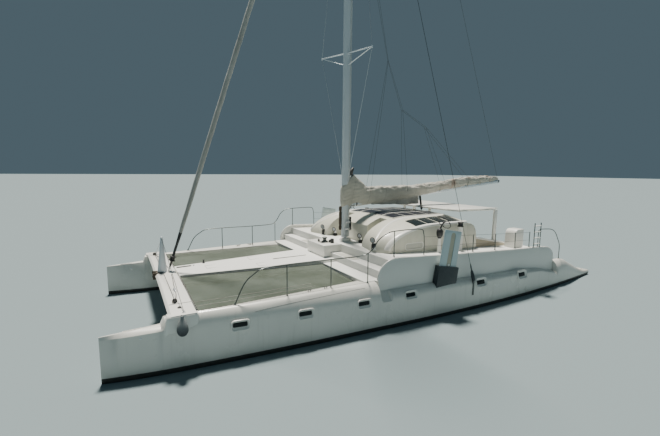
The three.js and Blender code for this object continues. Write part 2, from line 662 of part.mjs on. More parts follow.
// Stowed sail in its cover. Columns: x, top of the bundle, half width, bottom above the boom's axis.
// The cover encloses the boom near the mast and lies on top of it further aft.
const COVER = [
  [1030, 4820, 70, -135], [860, 4700, 150, -138], [340, 4320, 205, -140], [-800, 4335, 225, -138],
  [-1700, 4335, 222, -130], [-2600, 4365, 215, 40], [-4000, 4490, 205, 78], [-5500, 4690, 185, 78],
  [-7400, 4740, 140, 78], [-8230, 4690, 80, 78],
];
function sailCover() {
  const rings = COVER.map(([x, top, half, under]) => {
    const y = THREE.MathUtils.mapLinear(x, 1010, -8350, -90, 0);
    const low = boomZ(x) + under;
    const high = Math.max(top, low + 60);
    const middle = (low + high) / 2;
    return Array.from({ length: 12 }, (_, i) => {
      const a = (i / 12) * Math.PI * 2;
      return v(x, y + half * Math.cos(a), middle + ((high - low) / 2) * Math.sin(a));
    });
  });
  return cut(loft(rings), [boomTube(GAP)]);
}

// Furled headsail with its drum, turning round the stay
function furledHeadsail() {
  const along = HOUNDS.clone().sub(STAY_FOOT);
  const length = along.length();
  const turn = new THREE.Quaternion().setFromUnitVectors(v(0, 0, 1), along.clone().normalize());
  const inner = boreRadius(24, 12);
  const drum = [[34, 130], [34, 330], [115, 345], [115, 480], [40, 500]];
  const roll = [[46, 900], [72, 1800], [88, 5000], [92, 9000], [80, 14000], [52, length - 1500]];
  const head = [[26, length - 500], [26, length - 130], [0, length - 130]];
  const profile = [[0, 296], [inner, 296], [inner, 130], ...drum, ...roll, ...head];
  return turned(profile, 12).applyQuaternion(turn).translate(STAY_FOOT.x, STAY_FOOT.y, STAY_FOOT.z);
}

function stayFoot() {
  const along = HOUNDS.clone().sub(STAY_FOOT).normalize();
  return unite([
    rod(STAY_FOOT.clone().addScaledVector(along, -60), STAY_FOOT.clone().addScaledVector(along, 288), 24, 12),
    box(8330, 8440, -45, 45, BEAM_TOP - 20, BEAM_TOP + 22),
  ]);
}

const CHAIN_X = -1180;
const SHROUD_HEAD = 330;
function capShroud() {
  const hullSide = HULL_Y + stationValue(CHAIN_X, 1) + 28;
  const foot = v(CHAIN_X, hullSide + 14, 1060);
  const head = v(MAST_X - 20, SHROUD_HEAD - 20, HOUNDS.z);
  const dir = head.clone().sub(foot).normalize();
  const plate = box(CHAIN_X - 32, CHAIN_X + 32, hullSide - 60, hullSide + 22, 560, 1090);
  return cut(unite([
    rod(foot, head, 9, 6),
    rod(foot.clone().addScaledVector(dir, 60), foot.clone().addScaledVector(dir, 620), 24, 10),
    plate,
  ]), [hullForm(GAP), box(MAST_X - 90, MAST_X + 90, 0, SHROUD_HEAD + GAP, HOUNDS.z - 200, HOUNDS.z + 200)]);
}

// Stays and shrouds hold the collar in which the mast turns
function houndsCollar() {
  const profile = [[268, -70], [300, -70], [300, 70], [268, 70], [268, -70]];
  const collar = new THREE.LatheGeometry(profile.map(([r, z]) => new THREE.Vector2(r, z)), 24)
    .rotateX(Math.PI / 2).translate(MAST_X, 0, HOUNDS.z);
  const tang = box(MAST_X + 285, HOUNDS.x + 40, -26, 26, HOUNDS.z - 70, HOUNDS.z + 50);
  const along = HOUNDS.clone().sub(STAY_FOOT).normalize();
  const swivel = rod(HOUNDS.clone().addScaledVector(along, -124), HOUNDS, 18, 8);
  const ear = box(MAST_X - 60, MAST_X + 20, 286, SHROUD_HEAD, HOUNDS.z - 60, HOUNDS.z + 40);
  return unite([collar, tang, swivel, ear, mirrored(ear)]);
}

const mastStep = () => new THREE.CylinderGeometry(200, 260, MAST_FOOT_Z - deckZ(MAST_X + 260) - GAP, 20)
  .rotateX(Math.PI / 2).translate(MAST_X, 0, (MAST_FOOT_Z + deckZ(MAST_X + 260) + GAP) / 2);

// Helm
const HELM = v(-700, 3250, 0);
const WHEEL_AXIS = v(-0.79, 0, 0.61).normalize();
const WHEEL_AT = v(-900, 3250, 3060);
function helmConsole() {
  const base = deckZ(HELM.x + 90) + GAP;
  const hub = WHEEL_AT.clone().addScaledVector(WHEEL_AXIS, -46);
  return unite([
    rod(v(HELM.x, HELM.y, base), v(HELM.x, HELM.y, 2500), 90, 14, 70),
    new THREE.SphereGeometry(1, 16, 10).scale(150, 150, 240).translate(HELM.x, HELM.y, 2650),
    rod(v(HELM.x, HELM.y, 2790), hub, 30, 10),
    rod(hub.clone().addScaledVector(WHEEL_AXIS, -20), WHEEL_AT, 12, 8),
  ]);
}

function helmWheel() {
  const radius = 285;
  const spokes = [0, 1, 2].map((i) => new THREE.CylinderGeometry(10, 10, radius, 6)
    .translate(0, radius / 2, 0).rotateZ((i * Math.PI * 2) / 3));
  const hub = new THREE.CylinderGeometry(38, 38, 56, 12).rotateX(Math.PI / 2);
  const socket = bore(v(0, 0, -65), v(0, 0, 15), 12, 8);
  return cut(unite([new THREE.TorusGeometry(radius, 15, 6, 24), hub, ...spokes]), [socket]);
}

// Cockpit
const BIMINI_Z = 3300;
function hardBimini() {
  const top = floorPlate([[-2440, 1900], [-2600, 2450], [-4650, 2680], [-4860, 2480],
    [-4860, -2480], [-4650, -2680], [-2600, -2450], [-2440, -1900]], BIMINI_Z, BIMINI_Z + 80);
  const pieces = [top];
  for (const s of [1, -1]) {
    const y = s * 2600;
    pieces.push(sidePlate([[-4610, deckZ(-4610) + GAP], [-4790, deckZ(-4790) + GAP], [-4830, BIMINI_Z + 20],
      [-4640, BIMINI_Z + 20]], y - 45, y + 45));
    pieces.push(box(-2540, -2460, s * 850 - 60, s * 850 + 60, ROOF_TOP + GAP, BIMINI_Z + 20));
  }
  return unite(pieces);
}

function coaming() {
  const profile = [[WELL_FRONT, deckZ(WELL_FRONT) - 30], [WELL_FRONT, 2330], [-5640, deckZ(-5640) + 60],
    [-5640, deckZ(-5640) - 30]];
  return sidePlate(profile, 2750, 2830);
}

function door() {
  return box(WELL_FRONT - 41, WELL_FRONT - 6, -DOOR_HALF - 40, DOOR_HALF + 40, COCKPIT_Z + 8, DOOR_TOP);
}

function cushion() {
  return box(-5600, -2950, 1900, 2470, BENCH_Z + GAP, BENCH_Z + 100);
}

function solarArray() {
  const skin = cabinForm(-30, (x) => deckZ(x)).subtract(cabinForm(-GAP, (x) => deckZ(x)));
  return skin.intersect(toSolid(box(-2380, 420, -850, 850, 2600, 3400)));
}

function sternSeat() {
  const low = deckZ(-4900) - 10;
  const arc = Array.from({ length: 6 }, (_, i) => {
    const a = (i / 5) * (Math.PI / 2);
    return [-5130 + 200 * Math.sin(a), 2300 + 220 * Math.cos(a)];
  });
  const [ahead, astern] = [-3000, -8000];
  const deck = [[ahead, deckZ(ahead) + GAP], [astern, deckZ(astern) + GAP], [astern, 0], [ahead, 0]];
  return cut(sidePlate([...arc, [-4900, low], [-5500, low], [-5500, 2520]], 3000, 3500),
    [sidePlate(deck, 2000, 4000)]);
}

// Rails and ladder
const RAIL_R = 17;
const RAIL_SIDES = 6;
function sideRail() {
  const railY = 3780;
  const capY = (x) => wallOuter(x) - 105;
  const foot = (x, y, z0, z1) => rod(v(x, y, z0), v(x, y, z1), RAIL_R, RAIL_SIDES);
  const inHull = 1380;
  const top = bentTube([
    v(7218, 3815, inHull), v(6954, 3800, 1958), v(6676, 3785, 2193), v(6400, railY, 2312),
    v(5720, railY, 2338), v(4300, railY + 10, 2328), v(3300, 3890, 2348),
    v(2980, 4010, 2510), v(2740, 4060, 2840), v(2400, 4090, 3030),
    v(2000, capY(2000), 3060), v(650, capY(650), 3060), v(480, capY(480), 2900),
    v(440, capY(440), 2500), v(440, capY(440), capZ(440) + 44),
  ], RAIL_R, 30, RAIL_SIDES);
  const wire = [-1500, -2750, -4000, -5000];
  const posts = [
    foot(5720, railY, inHull, 2338),
    foot(4300, railY + 10, inHull, 2328),
    foot(3085, 3975, inHull, 2440),
    foot(2110, capY(2110), capZ(2110) + 41, 3060),
  ];
  return { top, posts, wire, capY, foot };
}

function railSolid() {
  const { top, posts, wire, capY, foot } = sideRail();
  const pieces = [top, ...posts];
  wire.forEach((x) => pieces.push(foot(x, capY(x), capZ(x) + 41, capZ(x) + 680)));
  const route = [440, ...wire];
  for (let i = 0; i < route.length - 1; i += 1) {
    for (const up of [340, 660]) {
      const [a, b] = [route[i], route[i + 1]];
      pieces.push(rod(v(a, capY(a), capZ(a) + up), v(b, capY(b), capZ(b) + up), 6, 4));
    }
  }
  return cut(unite(pieces), [hullForm(GAP)]);
}

function sternRail() {
  const y = (x) => wallOuter(x) - 60;
  const route = [
    v(-5600, y(-5600), capZ(-5600) + 41), v(-5600, y(-5600), 2400), v(-5680, y(-5680), 2560),
    v(-6350, 4060, 2560), v(-6850, 4000, 2480), v(-7020, 3970, 2200),
    v(-7060, 3960, 1500), v(-7060, 3950, 1090),
  ];
  const tube = bentTube(route, RAIL_R, 22, RAIL_SIDES);
  return cut(tube, [hullForm(GAP)]);
}

// Boarding ladder, folded up, on a pin outside the wall's top
const LADDER = { x: -5290, half: 210, z: 1880, length: 1010 };
const ladderY = () => wallOuter(LADDER.x) + 62;
function ladder() {
  const stile = (s) => rod(v(s * LADDER.half, 0, -16), v(s * LADDER.half, 0, LADDER.length), 19, 8);
  const treads = [120, 370, 620, 870].map((z) => box(-LADDER.half, LADDER.half, -45, 45, z, z + 26));
  const eyes = bore(v(-400, 0, 0), v(400, 0, 0), 9, 8);
  return cut(unite([stile(-1), stile(1), ...treads]), [eyes]);
}

function ladderBracket() {
  const [y0, y1] = [wallOuter(LADDER.x + 260) + 18 + GAP, ladderY() + 20];
  const [z0, z1] = [LADDER.z - 44, LADDER.z + 16];
  const cheek = (s) => box(LADDER.x + s * 242 - 8, LADDER.x + s * 242 + 8, y0, y1, z0, z1);
  const pin = rod(v(LADDER.x - 246, ladderY(), LADDER.z), v(LADDER.x + 246, ladderY(), LADDER.z), 9, 8);
  return unite([cheek(-1), cheek(1), pin]);
}

function fender() {
  const profile = [[0, 0], [75, 15], [150, 90], [172, 190], [150, 290], [80, 430], [40, 520],
    [30, 560], [0, 565]];
  const body = new THREE.LatheGeometry(profile.map(([r, z]) => new THREE.Vector2(r, z)), 16)
    .rotateX(Math.PI / 2).translate(8560, 4112, 940);
  const lanyard = rod(v(8560, 4112, 1480), v(8560, BEAM_END_Y + GAP, BEAM_TOP - BEAM_FALL - 30), 8, 6);
  return cut(unite([body, lanyard]), [hullForm(GAP), box(8000, 9000, 3000, BEAM_END_Y + GAP, 1000, 2000)]);
}

// Assembly
for (const [side, flip] of SIDES) {
  const sign = side === 'port' ? 1 : -1;
  add(`hull_${side}`, flip(hull()), WHITE());
  add(`bulwark_${side}`, flip(bulwark()), WHITE());
  add(`roof_glazing_${side}`, roofGlazing(sign), GLASS());
  add(`side_window_${side}`, flip(box(-40, 660, 2864, 2880 - GAP, 2110, 2490)), GLASS());
  add(`rear_window_${side}`, flip(box(-2480 + GAP, -2464, 700, 2000, 2110, 2870)), GLASS());
  boardPlace(add(`side_board_${side}`, flip(sideBoard()), finish('#5d7a80')), sign);
  add(`board_case_${side}`, flip(boardCase()), DARK());
  add(`rudder_${side}`, flip(rudder()), DARK());
  add(`drive_leg_${side}`, flip(driveLeg()), DARK());
  add(`propeller_${side}`, flip(propeller()), finish('#a08040', 0.35, 0.9));
  add(`bow_net_${side}`, flip(bowNet()), NET());
  add(`cap_shroud_${side}`, flip(capShroud()), STEEL());
  add(`helm_console_${side}`, flip(helmConsole()), DARK());
  const wheel = add(`helm_wheel_${side}`, helmWheel(), DARK());
  wheel.position.set(WHEEL_AT.x, sign * WHEEL_AT.y, WHEEL_AT.z);
  wheel.quaternion.setFromUnitVectors(v(0, 0, 1), WHEEL_AXIS);
  add(`cockpit_cushion_${side}`, flip(cushion()), CANVAS());
  add(`stern_seat_${side}`, flip(sternSeat()), WHITE());
  add(`side_rail_${side}`, flip(railSolid()), STEEL());
  add(`stern_rail_${side}`, flip(sternRail()), STEEL());
  const winch = add(`deck_winch_${side}`, winchShape(), DARK());
  winch.position.set(WINCH_AT.x, sign * WINCH_AT.y, WINCH_AT.z);
  add(`winch_pedestal_${side}`, flip(winchPedestal()), WHITE());
}
add('bridge_deck', bridgeDeck(), WHITE());
add('coachroof', coachroof(), WHITE());
add('companionway_door', door(), GLASS());
add('forward_beam', forwardBeam(), WHITE());
add('striker_post', strikerPost(), MAST_GREY());
add('walkway', walkway(), WHITE());
add('windlass_locker', windlassLocker(), WHITE());
add('windlass', windlass(), STEEL()).position.copy(WINDLASS);
add('mast_step', mastStep(), WHITE());
const spar = add('mast', mast(), MAST_GREY());
spar.position.set(MAST_X, 0, 0);
spar.rotation.z = THREE.MathUtils.degToRad(MAST_TURN);
add('boom', boom(), MAST_GREY());
add('sail_cover', sailCover(), CANVAS());
add('furled_headsail', furledHeadsail(), CANVAS());
add('hounds_collar', houndsCollar(), STEEL());
add('hard_bimini', hardBimini(), WHITE());
add('solar_array', solarArray(), finish('#1c2430', 0.2));
const steps = add('boarding_ladder', ladder(), STEEL());
steps.position.set(LADDER.x, ladderY(), LADDER.z);
add('ladder_bracket', ladderBracket(), STEEL());
add('bow_fender', fender(), finish('#27333b', 0.6));

export default part;
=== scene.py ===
"""Sailing catamaran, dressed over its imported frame.

Metres. The origin is on the waterline amidships, +X to the bow, +Y to port, +Z up.
"""
from __future__ import annotations

import logging
import math
from collections.abc import Iterable, Sequence
from dataclasses import dataclass
from enum import Enum

import bmesh
import bpy
from mathutils import Matrix, Vector, noise


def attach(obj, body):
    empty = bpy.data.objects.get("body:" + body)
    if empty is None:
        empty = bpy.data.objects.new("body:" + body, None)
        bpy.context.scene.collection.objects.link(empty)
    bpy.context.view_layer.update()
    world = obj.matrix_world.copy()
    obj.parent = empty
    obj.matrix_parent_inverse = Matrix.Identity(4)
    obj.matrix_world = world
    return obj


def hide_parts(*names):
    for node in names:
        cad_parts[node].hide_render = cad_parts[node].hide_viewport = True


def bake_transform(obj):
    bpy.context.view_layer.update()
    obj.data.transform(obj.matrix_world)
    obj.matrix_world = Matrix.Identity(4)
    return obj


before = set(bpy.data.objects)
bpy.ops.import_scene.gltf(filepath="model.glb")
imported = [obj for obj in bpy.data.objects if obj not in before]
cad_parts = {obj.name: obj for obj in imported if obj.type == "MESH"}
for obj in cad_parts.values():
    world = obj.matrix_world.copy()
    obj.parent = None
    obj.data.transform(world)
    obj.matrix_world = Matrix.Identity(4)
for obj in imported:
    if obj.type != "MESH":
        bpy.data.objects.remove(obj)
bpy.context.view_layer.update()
LOG = logging.getLogger("catamaran")

Point = tuple[float, float, float]
Flat = tuple[float, float]
Colour = Point
Row = tuple[float, ...]
Piece = bpy.types.Object
Socket = bpy.types.NodeSocket
BOAT = "boat"
WELD = 1e-6
NODE_WELD = 1e-5
AXIS_GAP = 1e-4


class Side(Enum):
    """The two sides of the boat, with the sign of their Y."""

    PORT = 1
    STARBOARD = -1

    @property
    def label(self) -> str:
        """Name used in node and body names."""
        return self.name.lower()

    def put(self, x: float, y: float, z: float) -> Vector:
        """Point given for port, placed on this side."""
        return Vector((x, y * self.value, z))


# ---- numbers along a line


def smooth_value(xs: Sequence[float], ys: Sequence[float], x: float) -> float:
    """Monotone cubic value between given points.

    Args:
        xs: Falling positions.
        ys: Value at each position.
        x: Position asked for.

    Returns:
        The value at x, with no overshoot between neighbours.
    """
    k = next((i for i in range(len(xs) - 1) if x >= xs[i + 1]), len(xs) - 2)
    slope = [(ys[i + 1] - ys[i]) / (xs[i + 1] - xs[i]) for i in range(len(xs) - 1)]

    def tangent(i: int) -> float:
        """Slope at a given point, zero at a turn.

        Args:
            i: Number of the point.

        Returns:
            The slope.
        """
        if i in (0, len(xs) - 1):
            return slope[min(i, len(slope) - 1)]
        a, b = slope[i - 1], slope[i]
        return 0.0 if a * b <= 0 else 2 * a * b / (a + b)

    h = xs[k + 1] - xs[k]
    t = (x - xs[k]) / h
    return (ys[k] * (2 * t**3 - 3 * t**2 + 1) + h * tangent(k) * (t**3 - 2 * t**2 + t) + ys[k + 1]
        * (3 * t**2 - 2 * t**3) + h * tangent(k + 1) * (t**3 - t**2))


def spread(start: float, end: float, count: int) -> list[float]:
    """Evenly spaced values, both ends included."""
    return [start + (end - start) * i / (count - 1) for i in range(count)]


def mix(a: float, b: float, t: float) -> float:
    """Straight mix of two numbers."""
    return a + (b - a) * t


# ---- meshes


def linked(name: str, data: bpy.types.ID) -> Piece:
    """Object with this data, put in the scene.

    Args:
        name: Name of the object.
        data: Mesh, camera or lamp that it shows.

    Returns:
        The new object.
    """
    made = bpy.data.objects.new(name, data)
    bpy.context.scene.collection.objects.link(made)
    return made


def mesh_object(name: str, points: Iterable[Sequence[float]], faces: Iterable[Sequence[int]]) -> Piece:
    """Makes a linked mesh object.

    Args:
        name: Piece name.
        points: Vertex places in metres.
        faces: Vertex numbers of each face.

    Returns:
        The new object.
    """
    data = bpy.data.meshes.new(name)
    data.from_pydata([tuple(p) for p in points], [], [tuple(f) for f in faces])
    data.validate()
    return linked(name, data)


def tidy_normals(obj: Piece, angle: float = 35.0, weld: float = 0.0) -> Piece:
    """Turns faces outward, smooths them and keeps edges sharper than an angle crisp.

    Args:
        obj: Mesh object to change.
        angle: Edge angle in degrees above which an edge stays sharp.
        weld: Distance below which points become one first.

    Returns:
        The same object.
    """
    work = bmesh.new()
    work.from_mesh(obj.data)
    if weld:
        bmesh.ops.remove_doubles(work, verts=work.verts, dist=weld)
    bmesh.ops.recalc_face_normals(work, faces=work.faces)
    for one in work.faces:
        one.smooth = True
    for edge in work.edges:
        edge.smooth = len(edge.link_faces) == 2 and edge.calc_face_angle(0) < math.radians(angle)
    work.to_mesh(obj.data)
    work.free()
    return obj


def apply_modifiers(obj: Piece) -> Piece:
    """Replaces the mesh by its evaluated form and drops the modifiers.

    Args:
        obj: Mesh object to change.

    Returns:
        The same object.
    """
    bpy.context.view_layer.update()
    graph = bpy.context.evaluated_depsgraph_get()
    final = bpy.data.meshes.new_from_object(obj.evaluated_get(graph), depsgraph=graph)
    obj.modifiers.clear()
    obj.data = final
    return obj


def soften(obj: Piece, width: float, segments: int = 2, angle: float = 30.0) -> Piece:
    """Rounds every edge sharper than an angle.

    Args:
        obj: Mesh object to change.
        width: Rounding in metres.
        segments: Faces across each rounding.
        angle: Edges below this many degrees stay.

    Returns:
        The same object.
    """
    rounding = obj.modifiers.new("round", "BEVEL")
    rounding.width = width
    rounding.segments = segments
    rounding.limit_method = "ANGLE"
    rounding.angle_limit = math.radians(angle)
    rounding.harden_normals = False
    return tidy_normals(apply_modifiers(obj), 40.0)


def carve(obj: Piece, tools: Iterable[Piece]) -> Piece:
    """Cuts the tools out of an object and removes them.

    Args:
        obj: Mesh object to change.
        tools: Pieces to cut away; they are used up.

    Returns:
        The same object.
    """
    tools = list(tools)
    for tool in tools:
        cut = obj.modifiers.new("cut", "BOOLEAN")
        cut.operation = "DIFFERENCE"
        cut.solver = "EXACT"
        cut.object = tool
    apply_modifiers(obj)
    for tool in tools:
        bpy.data.objects.remove(tool)
    return obj


def softened_node(node: str, name: str, width: float, segments: int = 2) -> Piece:
    """Makes a rounded piece from a CAD node's own shape and puts it in the node's place.

    Args:
        node: CAD node it stands for.
        name: Name of the new piece.
        width: Rounding of its edges in metres.
        segments: Faces across each rounding.

    Returns:
        The new piece.
    """
    made = linked(name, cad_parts[node].data.copy())
    made.data.materials.clear()
    work = bmesh.new()
    work.from_mesh(made.data)
    bmesh.ops.remove_doubles(work, verts=work.verts, dist=NODE_WELD)
    bmesh.ops.dissolve_limit(work, angle_limit=math.radians(1.0), verts=work.verts, edges=work.edges)
    work.to_mesh(made.data)
    work.free()
    soften(made, width, segments)
    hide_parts(node)
    return made


def loft(name: str, rings: Sequence[Sequence[Sequence[float]]], capped: bool = True, looped: bool = True,
        angle: float = 35.0) -> Piece:
    """Skin over rings of equal length.

    Args:
        name: Piece name.
        rings: Rings of points, in order.
        capped: Whether both ends are closed by a face.
        looped: Whether each ring closes on itself.
        angle: Edge angle in degrees above which an edge stays sharp.

    Returns:
        The new object.
    """
    n = len(rings[0])
    points = [p for ring in rings for p in ring]
    faces = []
    for i in range(len(rings) - 1):
        for k in range(n if looped else n - 1):
            a, b = i * n + k, i * n + (k + 1) % n
            faces.append((a, b, b + n, a + n))
    if capped:
        faces += [tuple(range(n)), tuple(range(len(points) - n, len(points)))]
    return tidy_normals(mesh_object(name, points, faces), angle)


def joined(name: str, pieces: Sequence[Piece], angle: float = 35.0) -> Piece:
    """Joins mesh objects into one piece, keeping their places, and smooths it up to an angle.

    Args:
        name: Piece name.
        pieces: Pieces to join; they are used up.
        angle: Edge angle in degrees above which an edge stays sharp.

    Returns:
        The joined piece.
    """
    work = bmesh.new()
    for one in pieces:
        part = one.data.copy()
        part.transform(one.matrix_world)
        work.from_mesh(part)
        bpy.data.meshes.remove(part)
        bpy.data.objects.remove(one)
    made = mesh_object(name, [], [])
    work.to_mesh(made.data)
    work.free()
    return tidy_normals(made, angle)


def catmull(points: Sequence[Sequence[float]], per_span: int) -> list[Vector]:
    """Smooth path through points.

    Args:
        points: Points on the path.
        per_span: Steps between two neighbours.

    Returns:
        The points of the smooth path.
    """
    pts = [Vector(p) for p in points]
    path = []
    for i, (b, c) in enumerate(zip(pts, pts[1:])):
        a = pts[i - 1] if i else b * 2 - c
        d = pts[i + 2] if i + 2 < len(pts) else c * 2 - b
        for t in (k / per_span for k in range(per_span)):
            path.append(0.5 * (2 * b + (c - a) * t + (2 * a - 5 * b + 4 * c - d) * t * t + (3 * b - a - 3 * c + d)
                * t**3))
    return [*path, pts[-1]]


def circle(count: int) -> list[Flat]:
    """Points of a unit circle, evenly spaced."""
    return [(math.cos(a), math.sin(a)) for a in (2 * math.pi * k / count for k in range(count))]


def tube(name: str, path: Sequence[Sequence[float]], radius: float | Sequence[float], sides: int = 10,
        closed: bool = False) -> Piece:
    """Round tube along a path.

    Args:
        name: Piece name.
        path: Points on its axis.
        radius: One radius, or one for each point.
        sides: Faces round the tube.
        closed: Whether it returns to its start.

    Returns:
        The new object.
    """
    path = [Vector(p) for p in path]
    n = len(path)
    radii = [radius] * n if isinstance(radius, (int, float)) else list(radius)
    along = []
    for i in range(n):
        ahead = path[(i + 1) % n] if closed else path[min(i + 1, n - 1)]
        behind = path[(i - 1) % n] if closed else path[max(i - 1, 0)]
        along.append((ahead - behind).normalized())
    u = along[0].orthogonal().normalized()
    rings = []
    for centre, way, r in zip(path, along, radii):
        u = (u - way * u.dot(way)).normalized()
        w = way.cross(u)
        rings.append([centre + (u * c + w * s) * r for c, s in circle(sides)])
    if closed:
        return tidy_normals(loft(name, [*rings, rings[0]], capped=False), weld=WELD)
    return loft(name, rings)


def rods(name: str, spans: Iterable[tuple[Sequence[float], Sequence[float]]], radius: float, sides: int = 8) -> Piece:
    """Several straight round bars as one piece."""
    return joined(name, [tube(name, span, radius, sides) for span in spans])


def turned(name: str, profile: Sequence[Flat], segments: int = 32, place: Matrix | Sequence[float] = (0, 0,
        0)) -> Piece:
    """Body of revolution about Z.

    Args:
        name: Piece name.
        profile: Radius and height of each point, from end to end.
        segments: Faces round the axis.
        place: Where it goes: a frame, or a point for an upright piece.

    Returns:
        The new object.
    """
    made = loft(name, [[(max(r, AXIS_GAP) * c, max(r, AXIS_GAP) * s, z) for c, s in circle(segments)] for r,
        z in profile])
    made.data.transform(place if isinstance(place, Matrix) else Matrix.Translation(place))
    return made


def block(name: str, low: Sequence[float], high: Sequence[float], rounding: float = 0.0, segments: int = 3) -> Piece:
    """Box between two corners with rounded edges.

    Args:
        name: Piece name.
        low: Lowest corner.
        high: Highest corner.
        rounding: Rounding of the edges in metres, or zero.
        segments: Faces across each rounding.

    Returns:
        The new object.
    """
    (x0, y0, z0), (x1, y1, z1) = low, high
    points = [(x, y, z) for x in (x0, x1) for y in (y0, y1) for z in (z0, z1)]
    faces = [(0, 1, 3, 2), (4, 6, 7, 5), (0, 4, 5, 1), (2, 3, 7, 6), (0, 2, 6, 4), (1, 5, 7, 3)]
    made = tidy_normals(mesh_object(name, points, faces))
    return soften(made, rounding, segments) if rounding else made


def side_block(name: str, side: Side, low: Sequence[float], high: Sequence[float], rounding: float) -> Piece:
    """Block given for port, placed on one side."""
    y0, y1 = sorted((low[1] * side.value, high[1] * side.value))
    return block(name, (low[0], y0, low[2]), (high[0], y1, high[2]), rounding)


def plate(name: str, outline: Sequence[Sequence[float]], push: Sequence[float], rounding: float = 0.0,
        segments: int = 2) -> Piece:
    """Flat outline pushed along a direction into a solid plate.

    Args:
        name: Piece name.
        outline: Points of the outline, in one plane.
        push: Direction and thickness.
        rounding: Rounding of the edges in metres.
        segments: Faces across each rounding.

    Returns:
        The new object.
    """
    lower = [Vector(p) for p in outline]
    made = loft(name, [lower, [p + Vector(push) for p in lower]])
    return soften(made, rounding, segments) if rounding else made


def rounded_outline(width: float, height: float, corner: float, steps: int = 5) -> list[Flat]:
    """Outline of a rectangle with round corners, centred on zero.

    Args:
        width: Full width.
        height: Full height.
        corner: Radius of the corners.
        steps: Faces round each corner.

    Returns:
        Points of the outline.
    """
    points = []
    for sx, sy, start in ((1, 1, 0), (-1, 1, 90), (-1, -1, 180), (1, -1, 270)):
        for i in range(steps + 1):
            a = math.radians(start + 90 * i / steps)
            points.append((sx * (width / 2 - corner) + corner * math.cos(a),
                sy * (height / 2 - corner) + corner * math.sin(a)))
    return points


def on_surface(outline: Sequence[Flat], place: Matrix, lift: float = 0.0, scale: float = 1.0) -> list[Vector]:
    """Flat outline carried to a local frame whose Z is the surface's normal."""
    return [place @ Vector((x * scale, y * scale, lift)) for x, y in outline]


def stacked(name: str, outline: Sequence[Flat], place: Matrix, levels: Sequence[Sequence[float]]) -> Piece:
    """Plate built up from one outline at several heights above a surface, each with its scale if it has one."""
    return loft(name, [on_surface(outline, place, *level) for level in levels])


def ringed_frame(name: str, outline: Sequence[Flat], inner: Sequence[Flat], place: Matrix, depth: float,
        rise: float) -> Piece:
    """Raised frame between two outlines, rounded outside and falling inward.

    Args:
        name: Piece name.
        outline: Outer outline.
        inner: Inner outline of equal length.
        place: Local frame on the surface.
        depth: How far it reaches below the surface.
        rise: How far it stands above it.

    Returns:
        The new object.
    """
    middle = [((a[0] + b[0]) / 2, (a[1] + b[1]) / 2) for a, b in zip(outline, inner)]

    def toward(line: Sequence[Flat], part: float) -> list[Flat]:
        """Outline moved part of the way to the frame's middle."""
        return [(mix(a[0], m[0], part), mix(a[1], m[1], part)) for a, m in zip(line, middle)]

    levels = ((outline, -depth), (outline, rise * 0.45), (toward(outline, 0.25), rise * 0.9), (middle, rise),
        (toward(inner, 0.2), rise * 0.7), (inner, 0.0), (inner, -depth), (outline, -depth))
    made = loft(name, [on_surface(line, place, lift) for line, lift in levels], capped=False)
    return tidy_normals(made, 50.0, WELD)


def local_frame(origin: Sequence[float], normal: Sequence[float], along: Sequence[float]) -> Matrix:
    """Frame with Z on the normal and X close to a direction.

    Args:
        origin: Its origin.
        normal: Direction of Z.
        along: Direction that X stays close to.

    Returns:
        The frame.
    """
    z = Vector(normal).normalized()
    x = (Vector(along) - z * Vector(along).dot(z)).normalized()
    return Matrix.Translation(origin) @ Matrix((x, z.cross(x), z)).transposed().to_4x4()


def coated(obj: Piece, finish: Finish) -> Piece:
    """Gives a piece its finish as its only material.

    Args:
        obj: Mesh object to change.
        finish: Its finish.

    Returns:
        The same object.
    """
    obj.data.materials.clear()
    obj.data.materials.append(finish.material())
    return obj


def dressed(obj: Piece, finish: Finish, body: str = BOAT) -> Piece:
    """Gives a piece its finish and the body that carries it."""
    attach(coated(obj, finish), body)
    return obj


def low_pad(name: str, side: Side, middle: Flat, size: Flat, corner: float, heights: Flat) -> None:
    """Thin rough pad with round corners that lies on a step.

    Args:
        name: Piece name.
        side: Side of the boat.
        middle: Its middle, given for port.
        size: Its length and width.
        corner: Radius of its corners.
        heights: Heights of its underside and its top.
    """
    outline = rounded_outline(*size, corner, 4)
    levels = [[side.put(middle[0] + a, middle[1] + b, z) for a, b in outline] for z in heights]
    dressed(loft(name, levels), Finishes.pad)


# ---- finishes


